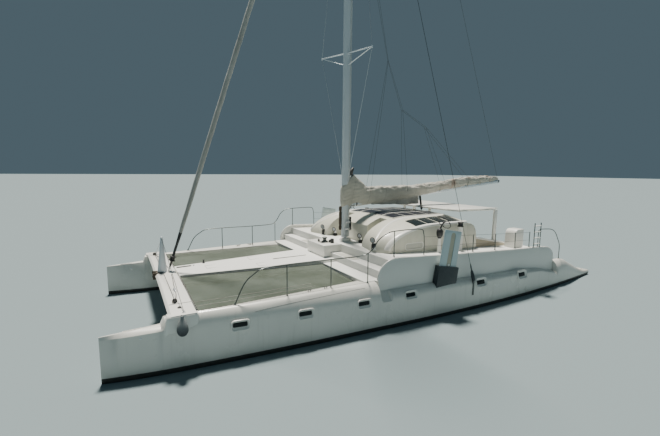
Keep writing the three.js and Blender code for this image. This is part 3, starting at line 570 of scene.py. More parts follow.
class Tree:
    """Node tree of one material or effect, filled from left to right."""

    def __init__(self, tree: bpy.types.NodeTree) -> None:
        """Keeps the tree that is filled."""
        self.tree = tree

    def feed(self, socket: Socket, value: object) -> None:
        """Links a socket to an input, or sets its value.

        Args:
            socket: Socket that is fed.
            value: Input to link, or a value.
        """
        if isinstance(value, Socket):
            self.tree.links.new(value, socket)
        else:
            socket.default_value = value

    def node(self, kind: str, inputs: dict[str | int, object] | None = None, **settings: object) -> bpy.types.Node:
        """Adds a node.

        Args:
            kind: Node type without its leading ShaderNode.
            inputs: Values or sockets by input name or number.
            settings: Properties of the node.

        Returns:
            The new node.
        """
        made = self.tree.nodes.new("ShaderNode" + kind)
        for key, value in settings.items():
            setattr(made, key, value)
        for key, value in (inputs or {}).items():
            self.feed(made.inputs[key], value)
        return made

    def math(self, operation: str, a: object, b: object = 0.0) -> Socket:
        """One sum, product, power or comparison."""
        return self.node("Math", {0: a, 1: b}, operation=operation).outputs[0]

    def times(self, a: object, b: object) -> Socket:
        """Product of two values."""
        return self.math("MULTIPLY", a, b)

    def plus(self, a: object, b: object) -> Socket:
        """Sum of two values."""
        return self.math("ADD", a, b)

    def gap(self, a: object, b: object) -> Socket:
        """Distance between two values."""
        return self.math("ABSOLUTE", self.math("SUBTRACT", a, b))

    def ramp(self, value: object, low: float, high: float, start: float = 0.0, end: float = 1.0) -> Socket:
        """Value carried smoothly from one range to another, and held at its ends."""
        inputs = {"Value": value, "From Min": low, "From Max": high, "To Min": start, "To Max": end}
        return self.node("MapRange", inputs, interpolation_type="SMOOTHSTEP").outputs["Result"]

    def blend(self, factor: object, a: object, b: object) -> Socket:
        """Colour between two colours."""
        return self.node("Mix", {0: factor, 6: a, 7: b}, data_type="RGBA").outputs[2]

    def place(self) -> Socket:
        """Place on the piece in metres."""
        return self.node("TexCoord").outputs["Object"]

    def parts(self, vector: object) -> tuple[Socket, ...]:
        """X, Y and Z of a vector."""
        return tuple(self.node("SeparateXYZ", {0: vector}).outputs)

    def noise(self, vector: object, scale: float, detail: float = 4.0) -> Socket:
        """Cloudy noise, 0 to 1."""
        return self.node("TexNoise", {"Vector": vector, "Scale": scale, "Detail": detail}).outputs[0]

    def stretched(self, vector: object, scale: Point) -> Socket:
        """Vector scaled along its axes."""
        return self.node("Mapping", {"Vector": vector, "Scale": scale}).outputs[0]


class Effect(Enum):
    """Surface effects that several finishes share."""

    PATCHES = "patches"
    STREAKS = "rain streaks"
    WEAVE = "cloth weave"
    GRAIN = "fine grain"
    RUB = "edge rub"


def _socket(group: bpy.types.NodeTree, name: str, way: str, kind: str, value: float | None = None) -> None:
    """Adds a named input or output to an effect.

    Args:
        group: Effect that gets it.
        name: Its name.
        way: Whether it is an input or an output.
        kind: Kind of value.
        value: Value it starts with, if any.
    """
    made = group.interface.new_socket(name=name, in_out=way, socket_type="NodeSocket" + kind)
    if value is not None:
        made.default_value = value


def effect_group(effect: Effect) -> bpy.types.NodeTree:
    """Node group of an effect, built once.

    Args:
        effect: Effect wanted.

    Returns:
        Group with inputs Place and Scale, and an output Mask or Height.
    """
    if effect.value in bpy.data.node_groups:
        return bpy.data.node_groups[effect.value]
    group = bpy.data.node_groups.new(effect.value, "ShaderNodeTree")
    _socket(group, "Place", "INPUT", "Vector")
    _socket(group, "Scale", "INPUT", "Float", 1.0)
    _socket(group, "Mask", "OUTPUT", "Float")
    t = Tree(group)
    enter = group.nodes.new("NodeGroupInput")
    leave = group.nodes.new("NodeGroupOutput")
    spot = t.node("VectorMath", {0: enter.outputs["Place"], 3: enter.outputs["Scale"]}, operation="SCALE").outputs[0]
    if effect is Effect.PATCHES:
        broad = t.ramp(t.noise(spot, 1.0, 6.0), 0.32, 0.68)
        fine = t.ramp(t.noise(spot, 7.0, 5.0), 0.3, 0.75)
        mask = t.times(t.plus(broad, t.times(fine, 0.5)), 0.667)
    elif effect is Effect.STREAKS:
        mask = t.ramp(t.noise(t.stretched(spot, (9.0, 9.0, 0.55)), 1.0, 5.0), 0.52, 0.8)
    elif effect is Effect.WEAVE:
        x, y, z = t.parts(t.stretched(spot, (628.0, 628.0, 628.0)))
        warp = t.math("SINE", t.plus(x, y))
        weft = t.math("SINE", t.plus(z, t.times(y, 0.5)))
        mask = t.ramp(t.times(warp, weft), -1.0, 1.0)
    elif effect is Effect.GRAIN:
        cells = t.node("TexVoronoi", {"Vector": spot, "Scale": 100.0}).outputs["Distance"]
        mask = t.plus(t.times(cells, 0.7), t.times(t.noise(spot, 240.0, 3.0), 0.5))
    else:
        edge = t.ramp(t.node("NewGeometry").outputs["Pointiness"], 0.52, 0.58)
        mask = t.times(edge, t.ramp(t.noise(spot, 9.0, 6.0), 0.4, 0.62))
    t.feed(leave.inputs["Mask"], mask)
    return group


class Relief(Enum):
    """Fine relief of a surface."""

    NONE = "none"
    GRAIN = "grain"
    WEAVE = "weave"


@dataclass(frozen=True)
class Finish:
    """Finish whose colour wanders between two shades, with streaks, rubbed edges and fine relief."""

    name: str
    colour: Colour
    shade: Colour
    roughness: float = 0.4
    patch_scale: float = 0.8
    metallic: float = 0.0
    coat: float = 0.0
    sheen: float = 0.0
    streaks: float = 0.0
    streak_colour: Colour = (0.32, 0.29, 0.22)
    rub: float = 0.0
    rub_colour: Colour = (0.6, 0.58, 0.52)
    relief: Relief = Relief.NONE
    relief_scale: float = 1.0
    relief_depth: float = 0.0005
    slot: str = "gelcoat"

    def material(self) -> bpy.types.Material:
        """Material of this finish, built once.

        Returns:
            The material.
        """
        if self.name in bpy.data.materials:
            return bpy.data.materials[self.name]
        made = bpy.data.materials.new(self.name)
        made.use_nodes = True
        shader = made.node_tree.nodes["Principled BSDF"]
        for name, value in (("Metallic", self.metallic), ("Coat Weight", self.coat), ("Coat Roughness", 0.12),
                ("Sheen Weight", self.sheen)):
            shader.inputs[name].default_value = value
        self.paint(Tree(made.node_tree), shader)
        return made

    def effect(self, t: Tree, effect: Effect, place: object, scale: float) -> Socket:
        """Places an effect's group and gives its mask.

        Args:
            t: Tree being filled.
            effect: Effect wanted.
            place: Place on the piece.
            scale: Scale of its pattern.

        Returns:
            Socket of the mask.
        """
        node = t.node("Group", node_tree=effect_group(effect))
        t.feed(node.inputs["Place"], place)
        node.inputs["Scale"].default_value = scale
        return node.outputs["Mask"]

    def colours(self, t: Tree, place: object) -> tuple[Socket, Socket]:
        """Base colour and roughness before a finish's own markings.

        Args:
            t: Tree being filled.
            place: Place on the piece.

        Returns:
            Sockets of colour and roughness.
        """
        patches = self.effect(t, Effect.PATCHES, place, self.patch_scale)
        colour = t.blend(patches, (*self.colour, 1), (*self.shade, 1))
        rough = t.ramp(patches, 0.0, 1.0, self.roughness * 0.88, min(1.0, self.roughness * 1.2))
        if self.streaks:
            runs = t.times(self.effect(t, Effect.STREAKS, place, 1.0), self.streaks)
            colour = t.blend(runs, colour, (*self.streak_colour, 1))
        if self.rub:
            worn = t.times(self.effect(t, Effect.RUB, place, 1.0), self.rub)
            colour = t.blend(worn, colour, (*self.rub_colour, 1))
        return colour, rough

    def raise_relief(self, t: Tree, shader: bpy.types.Node, place: object) -> None:
        """Feeds the fine relief to the normal.

        Args:
            t: Tree being filled.
            shader: Shader node that is fed.
            place: Place on the piece.
        """
        if self.relief is Relief.NONE:
            height = t.noise(place, 30.0, 3.0)
        else:
            kind = Effect.GRAIN if self.relief is Relief.GRAIN else Effect.WEAVE
            height = self.effect(t, kind, place, self.relief_scale)
        bump = t.node("Bump", {"Height": height, "Distance": self.relief_depth, "Strength": 0.6})
        t.feed(shader.inputs["Normal"], bump.outputs[0])

    def paint(self, t: Tree, shader: bpy.types.Node) -> None:
        """Fills the material's tree.

        Args:
            t: Tree being filled.
            shader: Shader node that is fed.
        """
        place = t.place()
        colour, rough = self.colours(t, place)
        t.feed(shader.inputs["Base Color"], colour)
        t.feed(shader.inputs["Roughness"], rough)
        self.raise_relief(t, shader, place)


@dataclass(frozen=True)
class HullFinish(Finish):
    """Gelcoat with a dark bottom, a worn edge above it and thin dark upright lines on the shoulder."""

    bottom: Colour = (0.012, 0.013, 0.014)
    bottom_z: float = 0.13
    seams: Row = ()

    def paint(self, t: Tree, shader: bpy.types.Node) -> None:
        """Fills the material's tree.

        Args:
            t: Tree being filled.
            shader: Shader node that is fed.
        """
        place = t.place()
        x, _, z = t.parts(place)
        colour, rough = self.colours(t, place)
        # Brownish darkening towards the waterline, broken by noise.
        low_darkening = t.times(t.ramp(z, self.bottom_z + 0.5, self.bottom_z, 0.0, 0.34), t.noise(place, 3.0))
        colour = t.blend(low_darkening, colour, (0.42, 0.40, 0.30, 1))
        # Thin dark upright lines at the listed places along the boat, only above 1.13 m.
        lined: object = 0.0
        for seam in self.seams:
            line = t.ramp(t.gap(x, seam), 0.007, 0.004)
            lined = t.math("MAXIMUM", lined, line)
        lined = t.times(lined, t.ramp(z, 1.13, 1.15))
        colour = t.blend(t.times(lined, 0.5), colour, (0.2, 0.2, 0.18, 1))
        edge = t.plus(z, t.times(t.noise(place, 8.0), 0.012))
        under = t.ramp(edge, self.bottom_z + 0.009, self.bottom_z + 0.003)
        grown = t.blend(t.noise(place, 5.0, 7.0), (*self.bottom, 1), (0.05, 0.045, 0.035, 1))
        t.feed(shader.inputs["Base Color"], t.blend(under, colour, grown))
        t.feed(shader.inputs["Roughness"], t.plus(rough, t.times(under, 0.35)))
        self.raise_relief(t, shader, place)


@dataclass(frozen=True)
class NetFinish(Finish):
    """Knotted netting with open meshes."""

    mesh_size: float = 0.028

    def paint(self, t: Tree, shader: bpy.types.Node) -> None:
        """Fills the material's tree.

        Args:
            t: Tree being filled.
            shader: Shader node that is fed.
        """
        place = t.place()
        colour, rough = self.colours(t, place)
        x, y, _ = t.parts(place)
        turn = math.pi / self.mesh_size
        one = t.math("ABSOLUTE", t.math("SINE", t.times(t.plus(x, y), turn)))
        two = t.math("ABSOLUTE", t.math("SINE", t.times(t.math("SUBTRACT", x, y), turn)))
        thread = t.math("MINIMUM", one, two)
        cover = t.ramp(thread, 0.8, 0.72)
        t.feed(shader.inputs["Base Color"], colour)
        t.feed(shader.inputs["Roughness"], rough)
        t.feed(shader.inputs["Alpha"], cover)
        bump = t.node("Bump", {"Height": t.ramp(thread, 0.5, 0.0), "Distance": 0.002, "Strength": 0.7})
        t.feed(shader.inputs["Normal"], bump.outputs[0])


@dataclass(frozen=True)
class SailFinish(Finish):
    """Sailcloth with seams across it and rust marks toward its after end."""

    seam_pitch: float = 0.85
    rust_from: float = -3.6

    def paint(self, t: Tree, shader: bpy.types.Node) -> None:
        """Fills the material's tree.

        Args:
            t: Tree being filled.
            shader: Shader node that is fed.
        """
        place = t.place()
        colour, rough = self.colours(t, place)
        x, _, z = t.parts(place)
        along = t.plus(x, t.times(z, 0.25))
        step = t.math("FRACT", t.math("DIVIDE", along, self.seam_pitch))
        seam = t.ramp(t.gap(step, 0.5), 0.012, 0.008)
        colour = t.blend(t.times(seam, 0.35), colour, (0.16, 0.15, 0.13, 1))
        spots = t.ramp(t.noise(place, 2.2, 7.0), 0.53, 0.68)
        rust = t.times(t.times(spots, t.ramp(x, self.rust_from, self.rust_from - 1.2)), 0.55)
        t.feed(shader.inputs["Base Color"], t.blend(rust, colour, (0.33, 0.17, 0.11, 1)))
        t.feed(shader.inputs["Roughness"], rough)
        weave = self.effect(t, Effect.WEAVE, place, self.relief_scale)
        creases = t.noise(t.stretched(place, (1.2, 3.0, 7.0)), 1.6, 6.0)
        height = t.plus(t.times(weave, 0.02), creases)
        bump = t.node("Bump", {"Height": height, "Distance": self.relief_depth, "Strength": 0.9})
        t.feed(shader.inputs["Normal"], bump.outputs[0])


@dataclass(frozen=True)
class SolarFinish(Finish):
    """Dark cells with thin pale lines between them, under glass."""

    cell: float = 0.125
    line: float = 0.03

    def paint(self, t: Tree, shader: bpy.types.Node) -> None:
        """Fills the material's tree.

        Args:
            t: Tree being filled.
            shader: Shader node that is fed.
        """
        place = t.place()
        x, y, _ = t.parts(place)
        colour, _ = self.colours(t, place)
        grid: object = 0.0
        for value in (x, y):
            part = t.math("FRACT", t.math("DIVIDE", value, self.cell))
            away = t.gap(part, 0.5)
            grid = t.math("MAXIMUM", grid, t.ramp(away, 0.5 - self.line, 0.5 - self.line * 0.6))
        bars = t.math("FRACT", t.math("DIVIDE", y, self.cell / 3))
        bar = t.ramp(t.gap(bars, 0.5), 0.03, 0.02)
        colour = t.blend(t.times(bar, 0.2), colour, (0.2, 0.21, 0.23, 1))
        colour = t.blend(t.times(grid, 0.4), colour, (0.26, 0.28, 0.30, 1))
        t.feed(shader.inputs["Base Color"], colour)
        t.feed(shader.inputs["Roughness"], t.ramp(t.noise(place, 4.0), 0.3, 0.7, 0.28, 0.42))
        shader.inputs["Specular IOR Level"].default_value = 0.1


@dataclass(frozen=True)
class FenderFinish(Finish):
    """Dark rubber painted lighter towards its top, where light falls from above."""

    low_z: float = 1.08
    high_z: float = 1.42
    lit_top: Colour = (0.24, 0.26, 0.26)

    def colours(self, t: Tree, place: object) -> tuple[Socket, Socket]:
        """Base colour and roughness, with the painted lighter top.

        Args:
            t: Tree being filled.
            place: Place on the piece.

        Returns:
            Sockets of colour and roughness.
        """
        colour, rough = super().colours(t, place)
        # Painted light: the rubber turns lighter up its height.
        height = t.plus(t.parts(place)[2], t.times(t.noise(place, 9.0), 0.08))
        return t.blend(t.ramp(height, self.low_z, self.high_z), colour, (*self.lit_top, 1)), rough


@dataclass(frozen=True)
class GlassFinish(Finish):
    """Smoked acrylic."""

    def material(self) -> bpy.types.Material:
        """Material of this finish, built once.

        Returns:
            The material.
        """
        made = super().material()
        made.node_tree.nodes["Principled BSDF"].inputs["Specular IOR Level"].default_value = 0.12
        return made


WHITE_GEL = (0.80, 0.79, 0.73)
CREAM = (0.74, 0.72, 0.63)


class Finishes:
    """All finishes of the boat."""

    hull = HullFinish("hull_gelcoat", WHITE_GEL, (0.74, 0.735, 0.68), 0.28, 0.35, coat=0.35, streaks=0.14,
        seams=(2.78, -2.4, -5.0, -5.62), relief_depth=0.0004)
    gelcoat = Finish("gelcoat", WHITE_GEL, (0.74, 0.73, 0.67), 0.32, 0.7, coat=0.25, streaks=0.16, rub=0.25,
        rub_colour=(0.45, 0.42, 0.34), relief_depth=0.0004)
    # Darker copy of the white gelcoat for the cabin skin: painted shade, so the white arch band and ridge stand out.
    shell = Finish("cabin_gelcoat_painted_shade", (0.68, 0.67, 0.57), (0.61, 0.60, 0.51), 0.4, 0.6, coat=0.15, streaks=0.2,
        rub=0.2, rub_colour=(0.45, 0.42, 0.34), relief_depth=0.0005)
    deck = Finish("deck_paint", CREAM, (0.64, 0.62, 0.53), 0.72, 0.9, streaks=0.08, rub=0.3,
        rub_colour=(0.42, 0.39, 0.32), relief=Relief.GRAIN, relief_scale=1.4, relief_depth=0.0016, slot="deck_paint")
    pad = Finish("tread_pad", (0.58, 0.57, 0.51), (0.48, 0.47, 0.41), 0.85, 1.3, relief=Relief.GRAIN,
        relief_scale=2.0, relief_depth=0.002, slot="deck_paint")
    net = NetFinish("netting", (0.112, 0.138, 0.104), (0.080, 0.098, 0.072), 0.85, 1.2, slot="net")
    canvas = SailFinish("sail_cover_cloth", (0.56, 0.54, 0.47), (0.45, 0.43, 0.37), 0.86, 1.1, sheen=0.2,
        relief_depth=0.03, slot="sailcloth")
    skirt = SailFinish("cover_skirt_cloth", (0.60, 0.58, 0.51), (0.42, 0.40, 0.36), 0.88, 1.4, sheen=0.2,
        relief_depth=0.03, rust_from=-1.5, slot="sailcloth")
    sail = Finish("furled_sailcloth", (0.44, 0.44, 0.41), (0.31, 0.31, 0.29), 0.78, 0.9, sheen=0.2,
        relief=Relief.WEAVE, relief_scale=0.5, relief_depth=0.0015, slot="sailcloth")
    sail_dark = Finish("sun_strip", (0.055, 0.058, 0.06), (0.03, 0.032, 0.035), 0.8, 2.0, sheen=0.2,
        relief=Relief.WEAVE, relief_scale=0.5, relief_depth=0.0012, slot="sailcloth")
    spar = Finish("spar_paint", (0.44, 0.50, 0.50), (0.37, 0.43, 0.43), 0.36, 0.6, metallic=0.25, coat=0.1,
        streaks=0.14, rub=0.2, rub_colour=(0.7, 0.7, 0.7), relief_depth=0.0004, slot="spar_paint")
    stainless = Finish("stainless", (0.40, 0.42, 0.41), (0.29, 0.30, 0.29), 0.24, 3.0, metallic=1.0, streaks=0.08,
        streak_colour=(0.3, 0.2, 0.12), relief_depth=0.0002, slot="stainless")
    # Steel far darker than bare stainless: painted dark reflection, so rails, cleats, stays and wires read dark.
    rail = Finish("rail_steel_dark_reflection", (0.17, 0.185, 0.18), (0.11, 0.12, 0.115), 0.32, 3.0, metallic=1.0, streaks=0.08,
        streak_colour=(0.2, 0.15, 0.1), relief_depth=0.0002, slot="stainless")
    black = Finish("black_plastic", (0.020, 0.021, 0.022), (0.034, 0.034, 0.034), 0.5, 3.0, rub=0.35,
        rub_colour=(0.16, 0.16, 0.155), relief=Relief.GRAIN, relief_scale=4.0, relief_depth=0.0003, slot="black")
    rubber = FenderFinish("fender_rubber", (0.022, 0.030, 0.038), (0.035, 0.042, 0.048), 0.58, 3.0, rub=0.3,
        rub_colour=(0.2, 0.21, 0.21), relief_depth=0.0008, slot="black")
    seam = Finish("seam_sealant", (0.10, 0.10, 0.09), (0.16, 0.155, 0.14), 0.8, 4.0)
    brown_metal = Finish("weathered_bracket", (0.085, 0.06, 0.035), (0.04, 0.032, 0.022), 0.6, 9.0, metallic=0.4,
        rub=0.5, rub_colour=(0.35, 0.32, 0.28), relief=Relief.GRAIN, relief_scale=2.0, relief_depth=0.0006,
        slot="black")
    board = Finish("board_paint", (0.15, 0.235, 0.24), (0.12, 0.195, 0.20), 0.42, 1.4, coat=0.15, streaks=0.3,
        streak_colour=(0.36, 0.36, 0.29), rub=0.25, rub_colour=(0.45, 0.44, 0.38), relief_depth=0.0008,
        slot="board_paint")
    groove = Finish("groove_paint", (0.52, 0.49, 0.38), (0.42, 0.39, 0.30), 0.5, 2.0, streaks=0.4,
        relief_depth=0.0006, slot="board_paint")
    case = Finish("case_paint", (0.022, 0.034, 0.042), (0.032, 0.045, 0.053), 0.45, 2.0, streaks=0.1,
        streak_colour=(0.1, 0.1, 0.09), rub=0.1, rub_colour=(0.12, 0.12, 0.115), relief_depth=0.0006, slot="black")
    glass = GlassFinish("smoked_glazing", (0.012, 0.018, 0.020), (0.019, 0.026, 0.028), 0.2, 0.8, coat=0.03,
        streaks=0.12, streak_colour=(0.12, 0.13, 0.13), relief_depth=0.0002, slot="glazing")
    # Pale glazing close to the cabin wall's own tone.
    pale_glass = GlassFinish("pale_glazing", (0.56, 0.56, 0.50), (0.50, 0.50, 0.45), 0.2, 0.8, coat=0.3,
        relief_depth=0.0002, slot="glazing")
    solar = SolarFinish("solar_cells", (0.008, 0.010, 0.017), (0.014, 0.016, 0.024), 0.3, 1.0, slot="solar")
    bronze = Finish("bronze", (0.52, 0.36, 0.16), (0.30, 0.26, 0.15), 0.34, 6.0, metallic=1.0, rub=0.4,
        rub_colour=(0.7, 0.52, 0.26), relief=Relief.GRAIN, relief_scale=3.0, relief_depth=0.0004, slot="bronze")
    bottom = Finish("bottom_paint", (0.015, 0.016, 0.018), (0.045, 0.042, 0.035), 0.8, 2.0, relief=Relief.GRAIN,
        relief_scale=0.8, relief_depth=0.001, slot="antifouling")
    cushion = Finish("cushion_cloth", (0.45, 0.43, 0.37), (0.38, 0.36, 0.31), 0.9, 1.6, sheen=0.35,
        relief=Relief.WEAVE, relief_scale=0.6, relief_depth=0.0009, slot="cushion")
    rope = Finish("rope_white", (0.58, 0.57, 0.52), (0.42, 0.41, 0.36), 0.85, 8.0, sheen=0.2, relief=Relief.WEAVE,
        relief_scale=1.6, relief_depth=0.0012, slot="net")
    rope_dark = Finish("rope_dark", (0.035, 0.036, 0.036), (0.07, 0.068, 0.06), 0.85, 8.0, relief=Relief.WEAVE,
        relief_scale=1.6, relief_depth=0.0012, slot="net")
    brown = Finish("brown_canvas", (0.055, 0.040, 0.028), (0.085, 0.062, 0.043), 0.85, 3.0, sheen=0.25,
        relief=Relief.WEAVE, relief_scale=0.6, relief_depth=0.0012, slot="sailcloth")
    coaming = Finish("coaming_paint", (0.42, 0.37, 0.28), (0.34, 0.30, 0.225), 0.55, 1.0, streaks=0.2,
        relief_depth=0.0006)


# ---- hulls


@dataclass
class HullShape:
    """Lines of one hull, given for port.

    Columns of a station: x, half beam at the waterline, keel z, turn of the shoulder z, shoulder top outboard,
    shoulder top z, deck edge inboard, shoulder bulge.
    """

    centre: float = 3.6
    inset: float = 0.24
    bilge_steps: int = 14
    shoulder_steps: int = 12
    ring_step: float = 0.14
    stations: tuple[Row, ...] = ((10.3, 0.02, -0.15, 1.08, 0.014, 1.135, 0.014, 0),
        (10.12, 0.062, -0.34, 1.09, 0.03, 1.146, 0.03, 0), (9.6, 0.165, -0.45, 1.1, 0.055, 1.172, 0.055, 0.3),
        (9.01, 0.258, -0.505, 1.11, 0.085, 1.205, 0.085, 0.5), (8.93, 0.268, -0.51, 1.04, 0.12, 1.4, 0.04, 0.7),
        (8.7, 0.296, -0.52, 1.03, 0.15, 1.425, -0.05, 0.8), (7.8, 0.385, -0.565, 1.0, 0.2, 1.43, -0.08, 1),
        (6.2, 0.52, -0.62, 0.97, 0.26, 1.45, -0.02, 1), (4.6, 0.632, -0.66, 0.945, 0.31, 1.47, 0.05, 1),
        (2.81, 0.73, -0.69, 0.93, 0.34, 1.485, 0.12, 1), (2.74, 0.733, -0.69, 0.9, 0.49, 1.2, 0.3, 0),
        (2.44, 0.762, -0.7, 0.9, 0.52, 1.2, 0.42, 0), (2.4, 0.764, -0.7, 0.93, 0.524, 1.2, 0.43, 1),
        (0, 0.86, -0.715, 0.93, 0.62, 1.2, 0.5, 1), (-2.2, 0.885, -0.69, 0.92, 0.645, 1.2, 0.5, 1),
        (-4.4, 0.85, -0.62, 0.9, 0.61, 1.2, 0.5, 1), (-5.56, 0.79, -0.56, 0.88, 0.55, 1.2, 0.46, 1),
        (-5.7, 0.78, -0.55, 0.86, 0.54, 1.2, 0.45, 0.9), (-6.43, 0.737, -0.502, 0.69, 0.497, 1.14, 0.45, 0.85),
        (-6.83, 0.711, -0.472, 0.5, 0.471, 1.115, 0.46, 0.8), (-6.87, 0.708, -0.469, 0.6, 0.42, 1.112, 0.47, 0.75),
        (-7.12, 0.69, -0.45, 0.62, 0.42, 1.1, 0.54, 0.75), (-7.16, 0.686, -0.448, 0.62, 0.43, 0.88, 0.54, 0.75),
        (-7.8, 0.63, -0.375, 0.5, 0.45, 0.86, 0.52, 0.75), (-7.84, 0.626, -0.37, 0.47, 0.45, 0.64, 0.52, 0.75),
        (-8.42, 0.56, -0.29, 0.35, 0.43, 0.62, 0.46, 0.7), (-8.46, 0.556, -0.286, 0.33, 0.43, 0.43, 0.46, 0.7),
        (-9.04, 0.478, -0.205, 0.19, 0.38, 0.415, 0.39, 0.6), (-9.08, 0.474, -0.2, 0.15, 0.4, 0.245, 0.4, 0.6),
        (-10.25, 0.33, -0.05, 0.13, 0.29, 0.225, 0.28, 0.6))
    smooth_runs: tuple[tuple[int, int], ...] = ((0, 3), (4, 9), (12, 16))
    shoulder_line: tuple[Flat, ...] = ((-10.25, 0.225), (-9.75, 0.262), (-9.4, 0.345), (-9.08, 0.47), (-8.68, 0.635),
        (-8.14, 0.86), (-7.68, 1.06), (-7.48, 1.105), (-6.87, 1.112), (-6.83, 0.66), (-6.43, 0.745), (-6.1, 0.81),
        (-5.6, 0.925), (-4.4, 1.07), (-1.85, 1.142), (0.0, 1.2))

    def column(self, index: int, rows: tuple[int, int] | None = None) -> tuple[list[float], list[float]]:
        """Positions and values of one column over a run of stations.

        Args:
            index: Column of the station table.
            rows: First and last station, or none for all.

        Returns:
            Positions and values.
        """
        low, high = rows or (0, len(self.stations) - 1)
        part = self.stations[low : high + 1]
        return [row[0] for row in part], [row[index] for row in part]

    def half_beam(self, x: float) -> float:
        """Half beam at the waterline."""
        return smooth_value(*self.column(1), x)

    def wall_outer(self, x: float) -> float:
        """Y of the side wall's outer face, port side."""
        return self.centre + self.half_beam(x) - self.inset

    def row_at(self, x: float) -> Row:
        """Station values at any place along the hull.

        Args:
            x: Place along the boat.

        Returns:
            The station's values.
        """
        k = next((i for i in range(len(self.stations) - 1) if x >= self.stations[i + 1][0]), len(self.stations) - 2)
        run = next((r for r in self.smooth_runs if r[0] <= k < r[1]), (k, k + 1))
        local = [smooth_value(*self.column(c, run), x) for c in range(3, 8)]
        return (x, self.half_beam(x), smooth_value(*self.column(2), x), *local)

    def shoulder_z(self, x: float, top: float) -> float:
        """Height of the shoulder's upper edge, which leaves the deck's height toward the stern.

        Args:
            x: Place along the boat.
            top: Height of the deck there.

        Returns:
            The height.
        """
        if x >= 0.0:
            return top
        line = self.shoulder_line
        k = next((i for i in range(1, len(line)) if x <= line[i][0]), len(line) - 1)
        (x0, z0), (x1, z1) = line[k - 1], line[k]
        z = mix(z0, z1, max(0.0, (x - x0) / (x1 - x0)))
        return z if x > -6.85 else max(top, z)

    def ring(self, row: Sequence[float], side: Side) -> list[Vector]:
        """Section of the hull at one place.

        Args:
            row: Station values.
            side: Side of the boat.

        Returns:
            Points of the section.
        """
        x, half, keel, turn, outer, top, inner, bulge = row
        line = self.shoulder_z(x, top)
        turn = min(turn, line - 0.09)
        flare = min(1.0, half / 0.3)
        quarter = [math.pi / 2 * i / self.bilge_steps for i in range(self.bilge_steps + 1)]
        flat = [(half * math.sin(a), keel * math.cos(a)) for a in quarter]
        edge = half + 0.028 * flare
        for i in range(self.shoulder_steps + 1):
            t = i / self.shoulder_steps
            a = t * math.pi / 2
            reach = mix(1 - t, math.cos(a), bulge)
            rise = mix(t, math.sin(a), bulge)
            flat.append((outer + (edge - outer) * reach, turn + (line - turn) * rise))
        lip = 0.085 if line > top + 0.03 else 0.035 if line > top + 0.002 else 0.003
        flat += [(outer - lip, line + (0.0 if lip > 0.01 else 0.002)), (outer - lip - 0.008, top)]
        flat.append((-inner, top - min(0.06, half * 0.1)))
        flat.append((-half - 0.01 * flare, turn * 0.72))
        flat += [(-half * math.sin(a), keel * math.cos(a)) for a in reversed(quarter[1:])]
        return [side.put(x, self.centre + y, z) for y, z in flat]

    def rings(self, side: Side) -> list[list[Vector]]:
        """All sections from bow to stern.

        Args:
            side: Side of the boat.

        Returns:
            The sections.
        """
        places = [self.stations[0][0]]
        for a, b in zip(self.stations, self.stations[1:]):
            steps = max(1, round((a[0] - b[0]) / self.ring_step))
            places += [mix(a[0], b[0], (i + 1) / steps) for i in range(steps)]
        return [self.ring(self.row_at(x), side) for x in places]

    def top_point(self, x: float, y: float, side: Side, lift: float = 0.0) -> Vector:
        """Point of the deck or the shoulder at a distance from the centre plane.

        Args:
            x: Place along the hull.
            y: Distance from the centre plane.
            side: Side of the boat.
            lift: Height above the surface.

        Returns:
            The point.
        """
        first = self.bilge_steps + 1
        ring = self.ring(self.row_at(x), Side.PORT)[first : first + self.shoulder_steps + 4]
        for out, into in zip(ring, ring[1:]):
            if into.y <= y <= out.y:
                return side.put(x, y, mix(out.z, into.z, (out.y - y) / max(1e-9, out.y - into.y)) + lift)
        return side.put(x, y, ring[-1].z + lift)

    def inner_y(self, x: float, z: float) -> float:
        """Y of the hull's inner side at a height, port side.

        Args:
            x: Place along the boat.
            z: Height above the water.

        Returns:
            The distance from the centre plane.
        """
        row = self.row_at(x)
        high = (self.centre - row[6], row[5] - min(0.06, row[1] * 0.1))
        low = (self.centre - row[1] - 0.01, row[3] * 0.72)
        return mix(low[0], high[0], min(1.0, (z - low[1]) / (high[1] - low[1])))

    def outer_face(self, x: float, z: float, side: Side) -> Matrix:
        """Frame on the hull's outer side, its Z outward and its X forward.

        Args:
            x: Place along the boat.
            z: Height above the water.
            side: Side of the boat.

        Returns:
            The frame.
        """

        def spot(px: float, pz: float) -> Vector:
            """Point of the outer face at a height.

            Args:
                px: Place along the hull.
                pz: Height above the water.

            Returns:
                The point.
            """
            ring = self.ring(self.row_at(px), side)[: self.bilge_steps + self.shoulder_steps + 2]
            for low, high in zip(ring, ring[1:]):
                if low.z <= pz <= high.z:
                    return low.lerp(high, (pz - low.z) / max(1e-9, high.z - low.z))
            return ring[-1]

        here = spot(x, z)
        ahead = spot(x + 0.05, z) - spot(x - 0.05, z)
        up = spot(x, z + 0.02) - spot(x, z - 0.02)
        normal = ahead.cross(up)
        if normal.y * side.value < 0:
            normal.negate()
        return local_frame(here, normal, Vector((1, 0, 0)))


LINES = HullShape()


